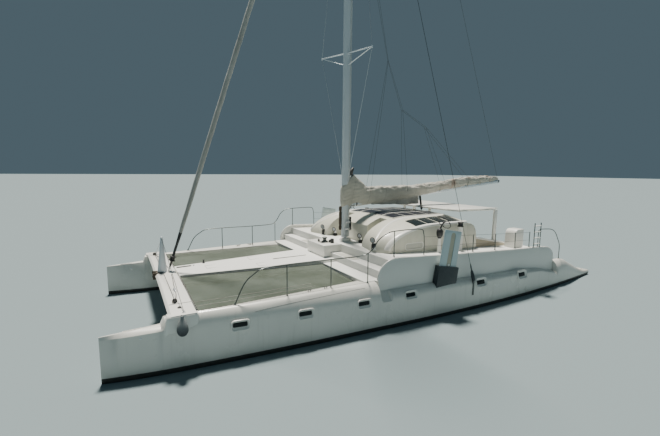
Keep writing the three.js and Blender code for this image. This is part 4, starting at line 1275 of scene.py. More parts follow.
@dataclass
class WallShape:
    """Raised side wall along each hull, with quarter-ellipse ends."""

    front: float = 2.75
    rear: float = -6.84
    thick: float = 0.06
    cap_front: Flat = (2.06, 2.18)
    cap_rear: Flat = (-6.0, 1.786)
    front_drop: float = 0.64
    rear_drop: float = 0.52
    foot: float = 1.13
    deck_drop: float = 0.12

    def cap_z(self, x: float) -> float:
        """Height of the wall's straight top."""
        (x0, z0), (x1, z1) = self.cap_front, self.cap_rear
        return mix(z0, z1, (x - x0) / (x1 - x0))

    def deck_z(self, x: float) -> float:
        """Height of the side deck."""
        return self.cap_z(x) - self.deck_drop

    def tops(self) -> list[Flat]:
        """Places along the wall with the height of its top, from the bow aft.

        Returns:
            Place and height of each point.
        """
        (x0, z0), (x1, z1) = self.cap_front, self.cap_rear
        quarter = [math.pi / 2 * i / 24 for i in range(25)]
        points = [(x0 + (self.front - x0) * math.cos(a), z0 - self.front_drop * (1 - math.sin(a))) for a in quarter]
        points += [(x, self.cap_z(x)) for x in spread(x0, x1, 60)[1:-1]]
        points += [(x1 - (x1 - self.rear) * math.sin(a), z1 - self.rear_drop * (1 - math.cos(a))) for a in quarter]
        return points


WALL = WallShape()


@dataclass
class BoardPlace:
    """Leaning line on which a side board slides."""

    x: float = -0.01
    y: float = 4.345
    z: float = 1.75
    lean: float = 9.9
    chord: float = 0.82
    thick: float = 0.08
    up: float = 1.22
    down: float = -2.0

    def frame(self, side: Side) -> Matrix:
        """Local frame of the board, its Z along the board."""
        turn = Matrix.Rotation(-math.radians(self.lean), 4, "Y")
        return Matrix.Translation(side.put(self.x, self.y, self.z)) @ turn

    def section(self, margin: float = 0.0) -> list[Flat]:
        """Rounded section of the blade, grown by a margin.

        Args:
            margin: How far the outline is grown.

        Returns:
            Points of the outline.
        """
        c, t = self.chord / 2 + margin, self.thick / 2 + margin
        points = []
        for x, y in circle(40):
            tail = 0.72 if x > 0 else 0.85
            points.append((c * math.copysign(abs(x) ** 0.42, x), t * math.copysign(abs(y) ** tail, y)))
        return points


BOARD = BoardPlace()


@dataclass
class Hulls:
    """Both hulls with their portlights, seams, bow fittings and stern steps."""

    portlights: tuple[Point, ...] = ((7.15, 0.965, 1.0), (5.33, 0.972, 1.0), (3.42, 0.97, 1.0), (1.66, 1.0, 1.0),
        (-1.61, 0.975, 1.16), (-4.06, 0.93, 1.2))
    recess_size: Flat = (0.47, 0.27)
    light_size: Flat = (0.385, 0.13)
    light_deep: float = 0.045
    treads: tuple[tuple[float, float, float, float], ...] = ((-6.62, -7.06, 1.115, 0.34),
        (-7.22, -7.76, 0.868, 0.37), (-7.9, -8.38, 0.628, 0.32), (-8.52, -9.0, 0.42, 0.27),
        (-9.18, -10.1, 0.238, 0.19))

    def build(self) -> None:
        """Builds both hulls."""
        for side in Side:
            self.shell(side)
            for number, light in enumerate(self.portlights, 1):
                self.portlight(side, number, self.light_place(side, *light))
            self.tread_pads(side)
            self.bow_fittings(side)
            self.deck_gear(side)

    def light_place(self, side: Side, x: float, z: float, size: float) -> Matrix:
        """Frame of a portlight on the hull's side, scaled to its size."""
        return LINES.outer_face(x, z, side) @ Matrix.Diagonal((size, size, 1, 1))

    def shell(self, side: Side) -> None:
        """Hull skin with the slot for its side board.

        Args:
            side: Side of the boat.
        """
        skin = loft(f"hull_skin_{side.label}", LINES.rings(side))
        place = BOARD.frame(side)
        outline = BOARD.section(0.007)
        tools = [loft("slot", [[place @ Vector((x, y, z)) for x, y in outline] for z in (-3.0, 2.5)])]
        wide = rounded_outline(*self.recess_size, 0.08, 6)
        floor = rounded_outline(self.light_size[0] + 0.02, self.light_size[1] + 0.02, 0.045, 6)
        for light in self.portlights:
            place = self.light_place(side, *light)
            tools.append(loft("recess", [on_surface(line, place, lift) for line,
                lift in ((floor, -self.light_deep - 0.02), (wide, 0.0), (wide, 0.06))]))
        tidy_normals(carve(skin, tools), 32)
        dressed(skin, Finishes.hull)
        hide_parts(f"hull_{side.label}")
        LOG.info("hull %s", side.label)

    def portlight(self, side: Side, number: int, place: Matrix) -> None:
        """Raised rim that slopes in to a dark pane.

        Args:
            side: Side of the boat.
            number: Number in its name.
            place: Frame on the hull's side.
        """
        wide, high = self.recess_size
        inner_wide, inner_high = self.light_size
        deep = self.light_deep
        profile = ((wide + 0.035, high + 0.035, 0.1, -0.006), (wide + 0.033, high + 0.033, 0.1, 0.016),
            (wide + 0.018, high + 0.018, 0.092, 0.027), (wide - 0.006, high - 0.006, 0.08, 0.028),
            (wide - 0.022, high - 0.024, 0.072, 0.016), (inner_wide + 0.014, inner_high + 0.014, 0.042,
            0.004 - deep), (inner_wide, inner_high, 0.036, -deep), (inner_wide, inner_high, 0.036, -deep - 0.01),
            (wide - 0.01, high - 0.01, 0.08, -0.006))
        rings = [on_surface(rounded_outline(a, b, corner, 7), place, lift) for a, b, corner, lift in profile]
        name = f"{number}_{side.label}"
        dressed(loft(f"portlight_rim_{name}", [*rings, rings[0]], capped=False, angle=40), Finishes.gelcoat)
        seal = rounded_outline(inner_wide + 0.004, inner_high + 0.004, 0.036, 6)
        dressed(stacked(f"portlight_gasket_{name}", seal, place, ((-deep - 0.008,), (0.002 - deep,),
            (0.005 - deep, 0.965))), Finishes.black)
        pane = rounded_outline(inner_wide - 0.03, inner_high - 0.03, 0.026, 6)
        dressed(stacked(f"portlight_pane_{name}", pane, place, ((-deep,), (0.008 - deep,), (0.01 - deep, 0.96))),
            Finishes.glass)

    def tread_pads(self, side: Side) -> None:
        """Rough pads on the stern steps.

        Args:
            side: Side of the boat.
        """
        for number, (x0, x1, z, half) in enumerate(self.treads, 1):
            middle = (x0 + x1) / 2
            row = LINES.row_at(middle)
            across = LINES.centre + (row[4] - 0.085 - row[6]) / 2
            low_pad(f"stern_tread_{number}_{side.label}", side, (middle, across), (x0 - x1, half * 2), 0.06,
                (z - 0.02, z + 0.006))

    def bow_fittings(self, side: Side) -> None:
        """Bow hatch and towing eyes.

        Args:
            side: Side of the boat.
        """
        place = local_frame(side.put(9.62, 3.6, 1.168), (0.035, 0, 1), (1, 0, 0))
        rim = ringed_frame(f"stem_locker_rim_{side.label}", rounded_outline(0.42, 0.075, 0.03, 4),
            rounded_outline(0.38, 0.045, 0.02, 4), place, 0.02, 0.006)
        dressed(rim, Finishes.gelcoat)
        for name, y in (("out", 1.0), ("in", -1.0)):
            spot = side.put(9.45, 3.6 + y * (LINES.row_at(9.45)[1] + 0.012), 1.0)
            eye = turned(f"bow_eye_{name}_{side.label}", [(0.0, 0.0), (0.03, 0.0), (0.03, 0.006), (0.02, 0.012),
                (0.0, 0.012)], 20, local_frame(spot, (0.2, y * side.value, 0), (0, 0, 1)))
            dressed(eye, Finishes.stainless)

    def deck_gear(self, side: Side) -> None:
        """Cleats along the foredeck and the seams of its deck.

        Args:
            side: Side of the boat.
        """
        for number, (x, y) in enumerate(((5.0, 3.74), (4.45, 3.74), (-6.98, 3.96)), 1):
            cleat(f"cleat_{number}_{side.label}", LINES.top_point(x, y, side, 0.001))
        for name, low, high in (("edge", 3.05, 7.05), ("shoulder", 3.3, 6.75)):
            path = []
            for x in spread(high, low, 40):
                y = LINES.centre + LINES.row_at(x)[4] + (0.004 if name == "edge" else 0.215)
                path.append(LINES.top_point(x, y, side, -0.0005))
            seam = tube(f"deck_seam_{name}_{side.label}", path, 0.0045, 6)
            dressed(seam, Finishes.seam)


def cleat(name: str, place: Vector) -> Piece:
    """Two-horned deck cleat on two feet, along the boat.

    Args:
        name: Piece name.
        place: Where its base stands.

    Returns:
        The cleat.
    """
    horns = [(x, 0, z) for x, z in ((-0.125, 0.058), (-0.09, 0.052), (-0.04, 0.05), (0, 0.05), (0.04, 0.05),
        (0.09, 0.052), (0.125, 0.058))]
    bar = tube("bar", horns, [0.006, 0.009, 0.012, 0.0125, 0.012, 0.009, 0.006], 10)
    feet = [turned("foot", [(0.022, 0), (0.022, 0.004), (0.012, 0.018), (0.011, 0.05)], 14, (x, 0, 0))
        for x in (-0.035, 0.035)]
    made = joined(name, [bar, *feet])
    made.data.transform(Matrix.Translation(place))
    return dressed(made, Finishes.rail)


@dataclass
class SideWalls:
    """Raised side walls with their cap rails."""

    cap_over: float = 0.018
    cap_wide: float = 0.148
    cap_low: float = -0.008
    cap_high: float = 0.04

    def build(self) -> None:
        """Builds both walls and caps."""
        for side in Side:
            self.wall(side)
            self.cap(side)
            self.front_rim(side)

    def wall(self, side: Side) -> None:
        """Thin wall with a rounded upper edge.

        Args:
            side: Side of the boat.
        """
        rings = []
        t, r = WALL.thick, 0.022
        for x, top in WALL.tops():
            foot = min(WALL.foot, LINES.shoulder_z(x, 1.2) - 0.05)
            half = mix(foot, top, 0.5)
            flat = [(0, foot), (0, half), (0, top - r), (-0.3 * r, top - 0.3 * r), (-r, top), (-t + r, top),
                (-t + 0.3 * r, top - 0.3 * r), (-t, top - r), (-t, half), (-t, foot)]
            rings.append([side.put(x, LINES.wall_outer(x) + a, max(z, foot)) for a, z in flat])
        wall = loft(f"side_wall_{side.label}", rings)
        dressed(wall, Finishes.gelcoat)
        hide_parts(f"bulwark_{side.label}")
        LOG.info("side wall %s", side.label)

    def cap(self, side: Side) -> None:
        """Broad rounded rail along the wall's top.

        Args:
            side: Side of the boat.
        """
        rings = []
        front, rear = WALL.cap_front[0] - 0.04, WALL.cap_rear[0] + 0.04
        places = [(front, 0.3), (front - 0.012, 0.75), (front - 0.04, 1.0)]
        places += [(x, 1.0) for x in spread(front - 0.12, rear + 0.12, 64)]
        places += [(rear + 0.04, 1.0), (rear + 0.012, 0.75), (rear, 0.3)]
        middle = (self.cap_high + self.cap_low) / 2
        for x, size in places:
            outline = rounded_outline(self.cap_wide, self.cap_high - self.cap_low, 0.02, 5)
            y = LINES.wall_outer(x) + self.cap_over - self.cap_wide / 2
            rings.append([side.put(x, y + a * size, WALL.cap_z(x) + middle + b * size) for a, b in outline])
        cap = loft(f"cap_rail_{side.label}", rings)
        dressed(cap, Finishes.gelcoat)

    def front_rim(self, side: Side) -> None:
        """Rounded bead that ends the wall at the bow and the stern.

        Args:
            side: Side of the boat.
        """
        tops = WALL.tops()
        for name, part in (("front", tops[:26]), ("rear", tops[-26:])):
            path = [side.put(x, LINES.wall_outer(x) - WALL.thick / 2, max(top, 1.2) - 0.006) for x, top in part]
            bead = tube(f"wall_bead_{name}_{side.label}", path, 0.036, 12)
            dressed(bead, Finishes.gelcoat)


@dataclass
class SideBoards:
    """Side boards in their cases on the outside of the hulls."""

    groove_half: float = 0.11
    groove_tall: float = 1.21
    groove_middle: float = 0.545
    groove_depth: float = 0.022

    def build(self) -> None:
        """Builds both boards and cases."""
        for side in Side:
            self.blade(side)
            self.case(side)

    def strip(self, name: str, size: Point, faces: Sequence[float]) -> Piece:
        """Plate with round corners in the groove's place, between two depths.

        Args:
            name: Piece name.
            size: Its length, its width and the radius of its corners.
            faces: Depths of its two faces.

        Returns:
            The plate.
        """
        low, high = sorted(faces)
        outline = [(a, low, b + self.groove_middle) for a, b in rounded_outline(*size, 6)]
        return plate(name, outline, (0, high - low, 0))

    def blade(self, side: Side) -> None:
        """Leaning blade with a groove in its outer face and a block at the groove's foot.

        Args:
            side: Side of the boat.
        """
        outline = BOARD.section()
        small = [(x * 0.985, y * 0.8) for x, y in outline]
        levels = [(BOARD.down, small), (BOARD.down + 0.02, outline)]
        levels += [(z, outline) for z in spread(BOARD.down + 0.2, BOARD.up - 0.2, 12)]
        levels += [(BOARD.up - 0.015, outline), (BOARD.up, small)]
        blade = loft(f"board_blade_{side.label}", [[(x, y, z) for x, y in ring] for z, ring in levels])
        s = side.value
        face = BOARD.thick / 2 * s
        deep = face - self.groove_depth * s
        wide = self.groove_half * 2
        groove = self.strip("groove", (wide, self.groove_tall, 0.09), (deep, face + 0.06 * s))
        tidy_normals(carve(blade, [groove]), 35)
        lining = self.strip(f"board_groove_{side.label}", (wide - 0.012, self.groove_tall - 0.012, 0.085),
            (deep - 0.004 * s, deep + 0.003 * s))
        b0, b1 = sorted((deep, face + 0.004 * s))
        stop = block(f"board_stop_{side.label}", (-0.05, b0, -0.03), (0.05, b1, 0.07), 0.012)
        for piece, finish in ((blade, Finishes.board), (lining, Finishes.groove), (stop, Finishes.gelcoat)):
            piece.data.transform(BOARD.frame(side))
            dressed(piece, finish, f"board_{side.label}")
        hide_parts(f"side_board_{side.label}")
        LOG.info("side board %s", side.label)

    def case(self, side: Side) -> None:
        """Case that holds the board against the hull."""
        made = softened_node(f"board_case_{side.label}", f"board_case_skin_{side.label}", 0.012)
        dressed(made, Finishes.case)


@dataclass
class UnderwaterGear:
    """Rudders, drive legs and propellers."""

    rudder_x: float = -9.25
    drive_x: float = -7.25
    hub_z: float = -0.85

    def build(self) -> None:
        """Builds the gear below the waterline."""
        for side in Side:
            self.rudder(side)
            self.leg(side)
            self.propeller(side)

    def foil(self, nose: float, tail: float, half: float, count: int = 18) -> list[Flat]:
        """Outline of a foil from its nose to its tail.

        Args:
            nose: Place of its nose.
            tail: Place of its tail.
            half: Half its thickness.
            count: Steps from nose to tail.

        Returns:
            Points of the outline.
        """
        top = []
        for i in range(count + 1):
            t = (1 - math.cos(math.pi * i / count)) / 2
            thick = 2.6 * half * (math.sqrt(t) * 1.05 - 0.45 * t - 0.6 * t * t) * 1.02
            top.append((mix(nose, tail, t), max(thick, 0.0)))
        return top + [(x, -y) for x, y in reversed(top[1:-1])]

    def rudder(self, side: Side) -> None:
        """Foil blade below a round stock.

        Args:
            side: Side of the boat.
        """
        rings = []
        for z, start, length, half in ((-1.35, 0.13, 0.46, 0.02), (-1.3, 0.155, 0.52, 0.026),
                (-0.9, 0.168, 0.56, 0.03), (-0.35, 0.17, 0.57, 0.03), (-0.25, 0.165, 0.56, 0.028)):
            outline = self.foil(start, start - length, half)
            rings.append([side.put(self.rudder_x + a, LINES.centre + b, z) for a, b in outline])
        stock = turned("stock", [(0.036, -0.3), (0.036, 0.03)], 24, side.put(self.rudder_x, LINES.centre, 0))
        made = joined(f"rudder_skin_{side.label}", [loft("blade", rings), stock])
        dressed(made, Finishes.bottom, f"rudder_blade_{side.label}")
        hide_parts(f"rudder_{side.label}")

    def shaft(self, side: Side) -> Matrix:
        """Frame on the propeller's shaft, its Z forward."""
        return Matrix.Translation(side.put(self.drive_x, LINES.centre, self.hub_z)) @ Matrix.Rotation(math.pi / 2, 4,
            "Y")

    def leg(self, side: Side) -> None:
        """Streamlined strut with a bulb and a shaft.

        Args:
            side: Side of the boat.
        """
        rings = [[side.put(self.drive_x + a, LINES.centre + b, h) for a, b in self.foil(0.18, -0.18, 0.042)]
            for h in (self.hub_z, -0.5, -0.36)]
        profile = [(0.001, 0.3)] + [(0.075 * math.sin(math.pi * (0.08 + 0.42 * i / 8)), 0.3 - 0.3 * i / 8)
            for i in range(1, 9)] + [(0.07, -0.12), (0.062, -0.31), (0.02, -0.311), (0.02, -0.4)]
        bulb = turned("bulb", profile, 24, self.shaft(side))
        made = joined(f"drive_leg_skin_{side.label}", [loft("strut", rings), bulb])
        dressed(made, Finishes.bottom)
        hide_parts(f"drive_leg_{side.label}")

    def propeller(self, side: Side) -> None:
        """Three twisted blades on a tapered hub.

        Args:
            side: Side of the boat.
        """
        place = self.shaft(side)
        pieces = [turned("hub", [(0.024, -0.318), (0.06, -0.318), (0.06, -0.39), (0.045, -0.43), (0.02, -0.45),
            (0.0, -0.452)], 24, place)]
        for k in range(3):
            rings = []
            for t in spread(0, 1, 10):
                wide = 0.075 * math.sin(math.pi * min(1.0, 0.22 + 0.78 * t)) ** 0.6 + 0.012
                pitch = mix(1.0, 0.45, t)
                rings.append([(a * math.cos(pitch), mix(0.04, 0.255, t), -0.375 + (-a * math.sin(pitch) + b) * 0.55)
                    for a, b in self.foil(wide, -wide, mix(0.016, 0.004, t), 8)])
            blade = loft("blade", rings)
            blade.data.transform(place @ Matrix.Rotation(2 * math.pi * k / 3, 4, "Z"))
            pieces.append(blade)
        made = joined(f"propeller_skin_{side.label}", pieces)
        dressed(made, Finishes.bronze, f"screw_{side.label}")
        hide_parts(f"propeller_{side.label}")


# ---- deck and cabin


@dataclass
class Foredeck:
    """Forward crossbeam, walkway, nets, locker with windlass, vents and the bridge deck behind."""

    beam_aft: float = 8.16
    beam_top: float = 1.565
    beam_level: float = 0.7
    beam_fall: float = 0.1
    net_inner_z: float = 1.487
    net_outer_z: float = 1.377
    net_aft: float = 3.2
    walk_front_half: float = 0.64
    walk_aft_half: float = 1.16
    windlass_at: Point = (2.48, 0.06, 2.066)
    vents: tuple[tuple[float, float, float, float], ...] = ((1.755, 2.46, 2.27, 0.30), (1.12, 0.68, 2.055, 0.34),
        (1.2, -1.27, 2.055, 0.34), (1.58, -1.66, 2.2, 0.30))

    def build(self) -> None:
        """Builds everything ahead of the cabin."""
        self.softened_pieces()
        for side in Side:
            self.net(side)
            self.lacing(side)
        self.striker()
        self.beam_gear()
        self.walkway_gear()
        self.pads()
        self.locker_gear()
        for number, (x, y, z, high) in enumerate(self.vents, 1):
            self.vent(number, x, y, z, high)
        LOG.info("foredeck")

    def softened_pieces(self) -> None:
        """Beam, walkway, locker and bridge deck with rounded edges."""
        for node, name, width, finish in (("forward_beam", "beam_skin", 0.03, Finishes.gelcoat),
                ("walkway", "walkway_skin", 0.02, Finishes.deck), ("windlass_locker", "locker_skin", 0.02,
                Finishes.gelcoat), ("bridge_deck", "bridge_deck_skin", 0.018, Finishes.deck),
                ("mast_step", "mast_step_skin", 0.012, Finishes.gelcoat)):
            dressed(softened_node(node, name, width, 3), finish)

    def walk_half(self, x: float) -> float:
        """Half width of the walkway."""
        return mix(self.walk_front_half, self.walk_aft_half, (self.beam_aft - x) / (self.beam_aft - self.net_aft))

    def walk_z(self, x: float) -> float:
        """Height of the walkway's top."""
        return mix(1.56, 1.59, (self.beam_aft - x) / (self.beam_aft - 2.56))

    def beam_z(self, y: float) -> float:
        """Height of the beam's top, which falls towards its ends."""
        return self.beam_top - self.beam_fall * (max(0.0, abs(y) - self.beam_level) / (3.96 - self.beam_level)) ** 2

    def net_z(self, y: float) -> float:
        """Height of the nets, which fall from the walkway to the hull."""
        part = (y - self.walk_front_half) / (LINES.centre - self.walk_front_half)
        return mix(self.net_inner_z, self.net_outer_z, part)

    def net_edge(self, x: float) -> float:
        """Y of the net's outer edge."""
        return LINES.inner_y(x, self.net_outer_z) - 0.035

    def net(self, side: Side) -> None:
        """Stretched net that sags a little between the walkway and the hull.

        Args:
            side: Side of the boat.
        """
        columns, rows = 40, 28
        sheet = []
        for i in range(columns + 1):
            x = mix(self.beam_aft - 0.045, self.net_aft, i / columns)
            inner = self.walk_half(x) + 0.03
            line = []
            for k in range(rows + 1):
                t = k / rows
                y = mix(inner, self.net_edge(x), t)
                sag = 0.022 * math.sin(math.pi * t) * math.sin(math.pi * i / columns)
                line.append(side.put(x, y, self.net_z(y) - sag))
            sheet.append(line)
        net = loft(f"bow_net_sheet_{side.label}", sheet, capped=False, looped=False)
        dressed(net, Finishes.net)
        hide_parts(f"bow_net_{side.label}")
        border = [sheet[0][0], *[line[0] for line in sheet[4::4]], *sheet[-1][4::4],
            *[line[-1] for line in reversed(sheet[:-1:4])], *list(reversed(sheet[0]))[4:-1:4]]
        edge = tube(f"net_edge_{side.label}", [p + Vector((0, 0, 0.004)) for p in border], 0.009, 8, closed=True)
        dressed(edge, Finishes.rope_dark)
        bands = [tube("band", [line[k] + Vector((0, 0, 0.006)) for line in sheet[:30]], 0.006, 6) for k in (22, 25)]
        dressed(joined(f"net_bands_{side.label}", bands), Finishes.rope)

    def lacing(self, side: Side) -> None:
        """Zigzag lacing between the net's edge rope and its lugs.

        Args:
            side: Side of the boat.
        """
        x0 = self.beam_aft
        runs = ([(x0 - 0.008, y, x0 - 0.045, y + 0.1) for y in spread(0.75, 3.4, 19)],
            [(x, self.walk_half(x) + 0.006, x - 0.12, self.walk_half(x - 0.12) + 0.03)
            for x in spread(7.98, 3.35, 34)], [(x, self.net_edge(x) + 0.03, x - 0.12, self.net_edge(x - 0.12))
            for x in spread(7.98, 3.35, 34)])
        pieces = []
        for run in runs:
            spots = [spot for a, b, c, d in run for spot in ((a, b), (c, d))]
            pieces.append(tube("lacing", [side.put(x, y, self.net_z(y) + 0.008) for x, y in spots], 0.0042, 5))
        dressed(joined(f"net_lacing_{side.label}", pieces), Finishes.rope)

    def beam_fairing(self, side: Side) -> None:
        """Rounded shoulder that carries the hull's side up over the beam's end.

        Args:
            side: Side of the boat.
        """
        rings = []
        for x in (9.0, 8.975, 8.95, 8.925, 8.9, 8.875, 8.855, 8.5, 8.2, 8.175, 8.15, 8.12, 8.09, 8.06):
            near = max(0.0, min(1.0, (9.0 - x) / 0.145, (x - 8.06) / 0.14))
            away = 1 - near * near * (3 - 2 * near)
            top = self.beam_z(3.9)
            section = ((3.66, top - 0.03), (3.8, top - 0.004), (3.9, top + 0.003),
                (3.938, self.beam_z(3.96) - 0.002), (3.962, top - 0.03), (3.974, top - 0.07), (3.975, 1.36),
                (3.97, 1.24), (3.955, 1.12), (3.925, 1.03), (3.85, 0.99), (3.66, 1.0))
            drop = (0.42 if x > 8.5 else 0.17) * away
            rings.append([side.put(x, y - 0.13 * away, max(z - drop, 0.95)) for y, z in section])
        fairing = tidy_normals(loft(f"beam_fairing_{side.label}", rings), 60)
        dressed(fairing, Finishes.gelcoat)

    def beam_gear(self) -> None:
        """A thin dark line, a rope and fittings that lie along the beam, and the fitting in its middle."""
        top = self.beam_z
        for side in Side:
            # Thin dark line along the beam's top.
            wire = tube(f"beam_wire_{side.label}", [side.put(8.585, y, top(y) + 0.009)
                for y in (0.12, 0.7, 1.3, 1.9, 2.5, 3.02)], 0.0075, 8)
            dressed(wire, Finishes.rope_dark)
            base = top(3.1)
            arch = [(8.6 + 0.05 * math.cos(a), 0.05 + 0.05 * math.sin(a))
                for a in (math.pi * k / 12 for k in range(13))]
            bow = tube("bow", [side.put(x, 3.1, base + z) for x, z in [(8.65, 0.0), *arch, (8.55, 0.0)]], 0.014, 10)
            pin = tube("pin", [side.put(8.6, y, base + 0.05) for y in (3.04, 3.16)], 0.016, 12)
            cheek = side_block("cheek", side, (8.565, 3.07, base + 0.0004), (8.635, 3.13, base + 0.085), 0.012)
            dressed(joined(f"beam_shackle_{side.label}", [bow, pin, cheek], 40), Finishes.black)
            rope = [(8.37, 0.42), (8.4, 1.0), (8.445, 1.6), (8.47, 2.1), (8.5, 2.6), (8.575, 3.0)]
            line = tube(f"beam_rope_{side.label}", catmull([side.put(x, y, top(y) + 0.012) for x, y in rope], 5),
                0.009, 8)
            dressed(line, Finishes.rope_dark)
            rings = [[side.put(8.475 + long * c, 2.1 + wide * s, top(2.1) + z) for c, s in circle(28)] for long,
                wide, z in ((0.05, 0.21, -0.006), (0.03, 0.15, 0.032))]
            dressed(soften(loft(f"beam_lead_{side.label}", rings), 0.008, 2), Finishes.stainless)
            eye = turned(f"beam_eye_{side.label}", [(0.055, -0.004), (0.055, 0.006), (0.03, 0.012), (0.026, 0.03),
                (0.0, 0.034)], 20, side.put(8.535, 3.48, top(3.48)))
            dressed(eye, Finishes.black)
            seam = tube(f"beam_seam_{side.label}", [side.put(x, 3.2, top(3.2) - 0.001) for x in (8.76, 8.5, 8.21)],
                0.005, 6)
            dressed(seam, Finishes.seam)
            self.beam_fairing(side)
        roller = tube("bow_roller", [(8.852, y, 1.50) for y in (-0.1, 0.1)], 0.05, 20)
        cheeks = [block("cheek", (8.74, y, 1.38), (8.90, y + 0.02, 1.60), 0.008) for y in (-0.15, 0.13)]
        floor = block("floor", (8.60, -0.15, 1.5656), (8.80, 0.15, 1.578), 0.004)
        dressed(joined("bow_roller_fitting", [roller, *cheeks, floor], 40), Finishes.brown_metal)

    def walkway_gear(self) -> None:
        """Dark line of painted shade under the walkway's lips, a pole that lies on it and a short black post."""
        for side in Side:
            # Dark tube under the walkway's lip: painted shade.
            path = [side.put(x, self.walk_half(x) + 0.002, self.walk_z(x) - 0.042) for x in spread(8.12, 3.25, 30)]
            groove = tube(f"walkway_groove_{side.label}", path, 0.007, 6)
            dressed(groove, Finishes.seam)
        z = self.walk_z(8.0) + 0.019
        pole = tube("walkway_pole", [(8.12, -0.365, z), (8.08, -0.367, z), (7.66, -0.405, z), (7.62, -0.408, z)],
            [0.012, 0.018, 0.018, 0.012], 14)
        dressed(pole, Finishes.black)
        end = turned("walkway_pole_end", [(0.0, -0.03), (0.026, -0.02), (0.03, 0.0), (0.026, 0.02), (0.0, 0.03)], 16,
            (7.54, -0.415, self.walk_z(7.5) + 0.028))
        dressed(end, Finishes.stainless)
        post = turned("walkway_post", [(0.05, 0.0), (0.05, 0.012), (0.03, 0.02), (0.026, 0.09), (0.04, 0.105),
            (0.04, 0.125), (0.0, 0.13)], 22, (7.15, -0.66, self.walk_z(7.15) + 0.0003))
        dressed(post, Finishes.black)

    def striker(self) -> None:
        """Tapered post on the beam with its stays."""
        rings = []
        for z, x0, x1, half in ((self.beam_top + 0.0004, 8.45, 8.75, 0.062),
                (self.beam_top + 0.05, 8.455, 8.745, 0.06), (2.2, 8.5, 8.672, 0.046), (2.66, 8.527, 8.622, 0.036),
                (2.69, 8.535, 8.615, 0.028)):
            middle, long = (x0 + x1) / 2, (x1 - x0) / 2
            rings.append([(middle + long * c, half * s, z) for c, s in circle(32)])
        knob = turned("knob", [(0.0, -0.045), (0.03, -0.036), (0.046, -0.012), (0.048, 0.006), (0.034, 0.034),
            (0.0, 0.047)], 24, (8.575, 0, 2.715))
        made = joined("striker_post_skin", [loft("post", rings), knob])
        dressed(made, Finishes.spar)
        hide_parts("striker_post")
        stays = []
        for side in Side:
            base = side.put(8.48, 3.82, self.beam_z(3.82) - 0.004)
            stays.append(((8.575, 0, 2.70), base + Vector((0, 0, 0.02))))
            fitting = turned(f"striker_foot_{side.label}", [(0.04, 0), (0.04, 0.01), (0.018, 0.03), (0.014, 0.06)],
                18, base)
            dressed(fitting, Finishes.stainless)
        dressed(rods("striker_stays", stays, 0.007), Finishes.rail)

    def lid(self, name: str, spot: Point, normal: Point, long: float, wide: float, rise: float) -> None:
        """Low rim round a lid that lies flush in the deck.

        Args:
            name: Piece name.
            spot: Its middle.
            normal: Direction it faces.
            long: Its length.
            wide: Its width.
            rise: Height of its rim.
        """
        rim = ringed_frame(name, rounded_outline(long, wide, 0.05, 5), rounded_outline(long - 0.04, wide - 0.04,
            0.035, 5), local_frame(spot, normal, (1, 0, 0)), 0.01, rise)
        dressed(rim, Finishes.gelcoat)

    def pads(self) -> None:
        """Rough pads on the step behind the walkway, lids and slot along the walkway."""
        for side in Side:
            low_pad(f"step_pad_top_{side.label}", side, ((2.16 + 2.5) / 2, (2.2 + 0.9) / 2), (2.5 - 2.16, 2.2 - 0.9),
                0.05, (1.76 - 0.01, 1.76 + 0.006))
        for number, (x, y) in enumerate(((6.9, 0.0), (5.2, 0.55), (5.2, -0.55)), 1):
            self.lid(f"walkway_lid_{number}", (x, y, self.walk_z(x) + 0.001), (-0.0214, 0, 1), 0.62, 0.44, 0.005)
        track = block("walkway_slot", (3.3, -0.03, self.walk_z(4.0) - 0.02), (4.7, 0.03, self.walk_z(4.0) + 0.012),
            0.006)
        dressed(track, Finishes.rope_dark)

    def locker_gear(self) -> None:
        """Windlass drum, its base, lids and blocks on the locker."""
        x, y, z = self.windlass_at
        profile = [(0.0305, 0.076), (0.0305, 0.0), (0.128, 0.0), (0.130, 0.01), (0.126, 0.03), (0.098, 0.046),
            (0.074, 0.066), (0.068, 0.09), (0.066, 0.118), (0.074, 0.138), (0.096, 0.158), (0.105, 0.172),
            (0.104, 0.19), (0.07, 0.206), (0.02, 0.214)]
        grips = [tube("grip", [(0.066 * c, 0.066 * s, 0.08), (0.067 * c, 0.067 * s, 0.13)], 0.005, 6) for c,
            s in circle(12)]
        made = joined("windlass_drum_skin", [turned("drum", profile, 40), *grips])
        made.data.transform(Matrix.Translation((x, y, z)))
        dressed(made, Finishes.rail, "windlass_drum")
        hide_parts("windlass")
        base = block("windlass_base", (x - 0.19, y - 0.17, 2.052), (x + 0.22, y + 0.17, 2.0645), 0.003)
        dressed(base, Finishes.rail)
        motor = turned("windlass_motor", [(0.07, 0), (0.075, 0.02), (0.075, 0.15), (0.06, 0.175), (0.0, 0.18)], 28,
            (x - 0.18, y + 0.3, 2.055))
        dressed(motor, Finishes.black)
        for number, y in enumerate((-0.42, 0.5), 1):
            self.lid(f"locker_lid_{number}", (2.5, y, 2.06), (0, 0, 1), 0.6, 0.36, 0.006)
        for number, (x, y) in enumerate(((2.34, 0.24), (2.66, -0.12)), 1):
            sheave_block(f"locker_block_{number}", (x, y, 2.115), (0.3, 1, 0), BOAT, 0.05)

    def vent(self, number: int, x: float, y: float, z: float, high: float) -> None:
        """Cowl vent: a bell on a bent pipe that stands on a black base, which paints the shade below the cowl.

        Args:
            number: Number in its name.
            x: Place along the boat.
            y: Place across the boat.
            z: Height of its foot.
            high: How far it stands up.
        """
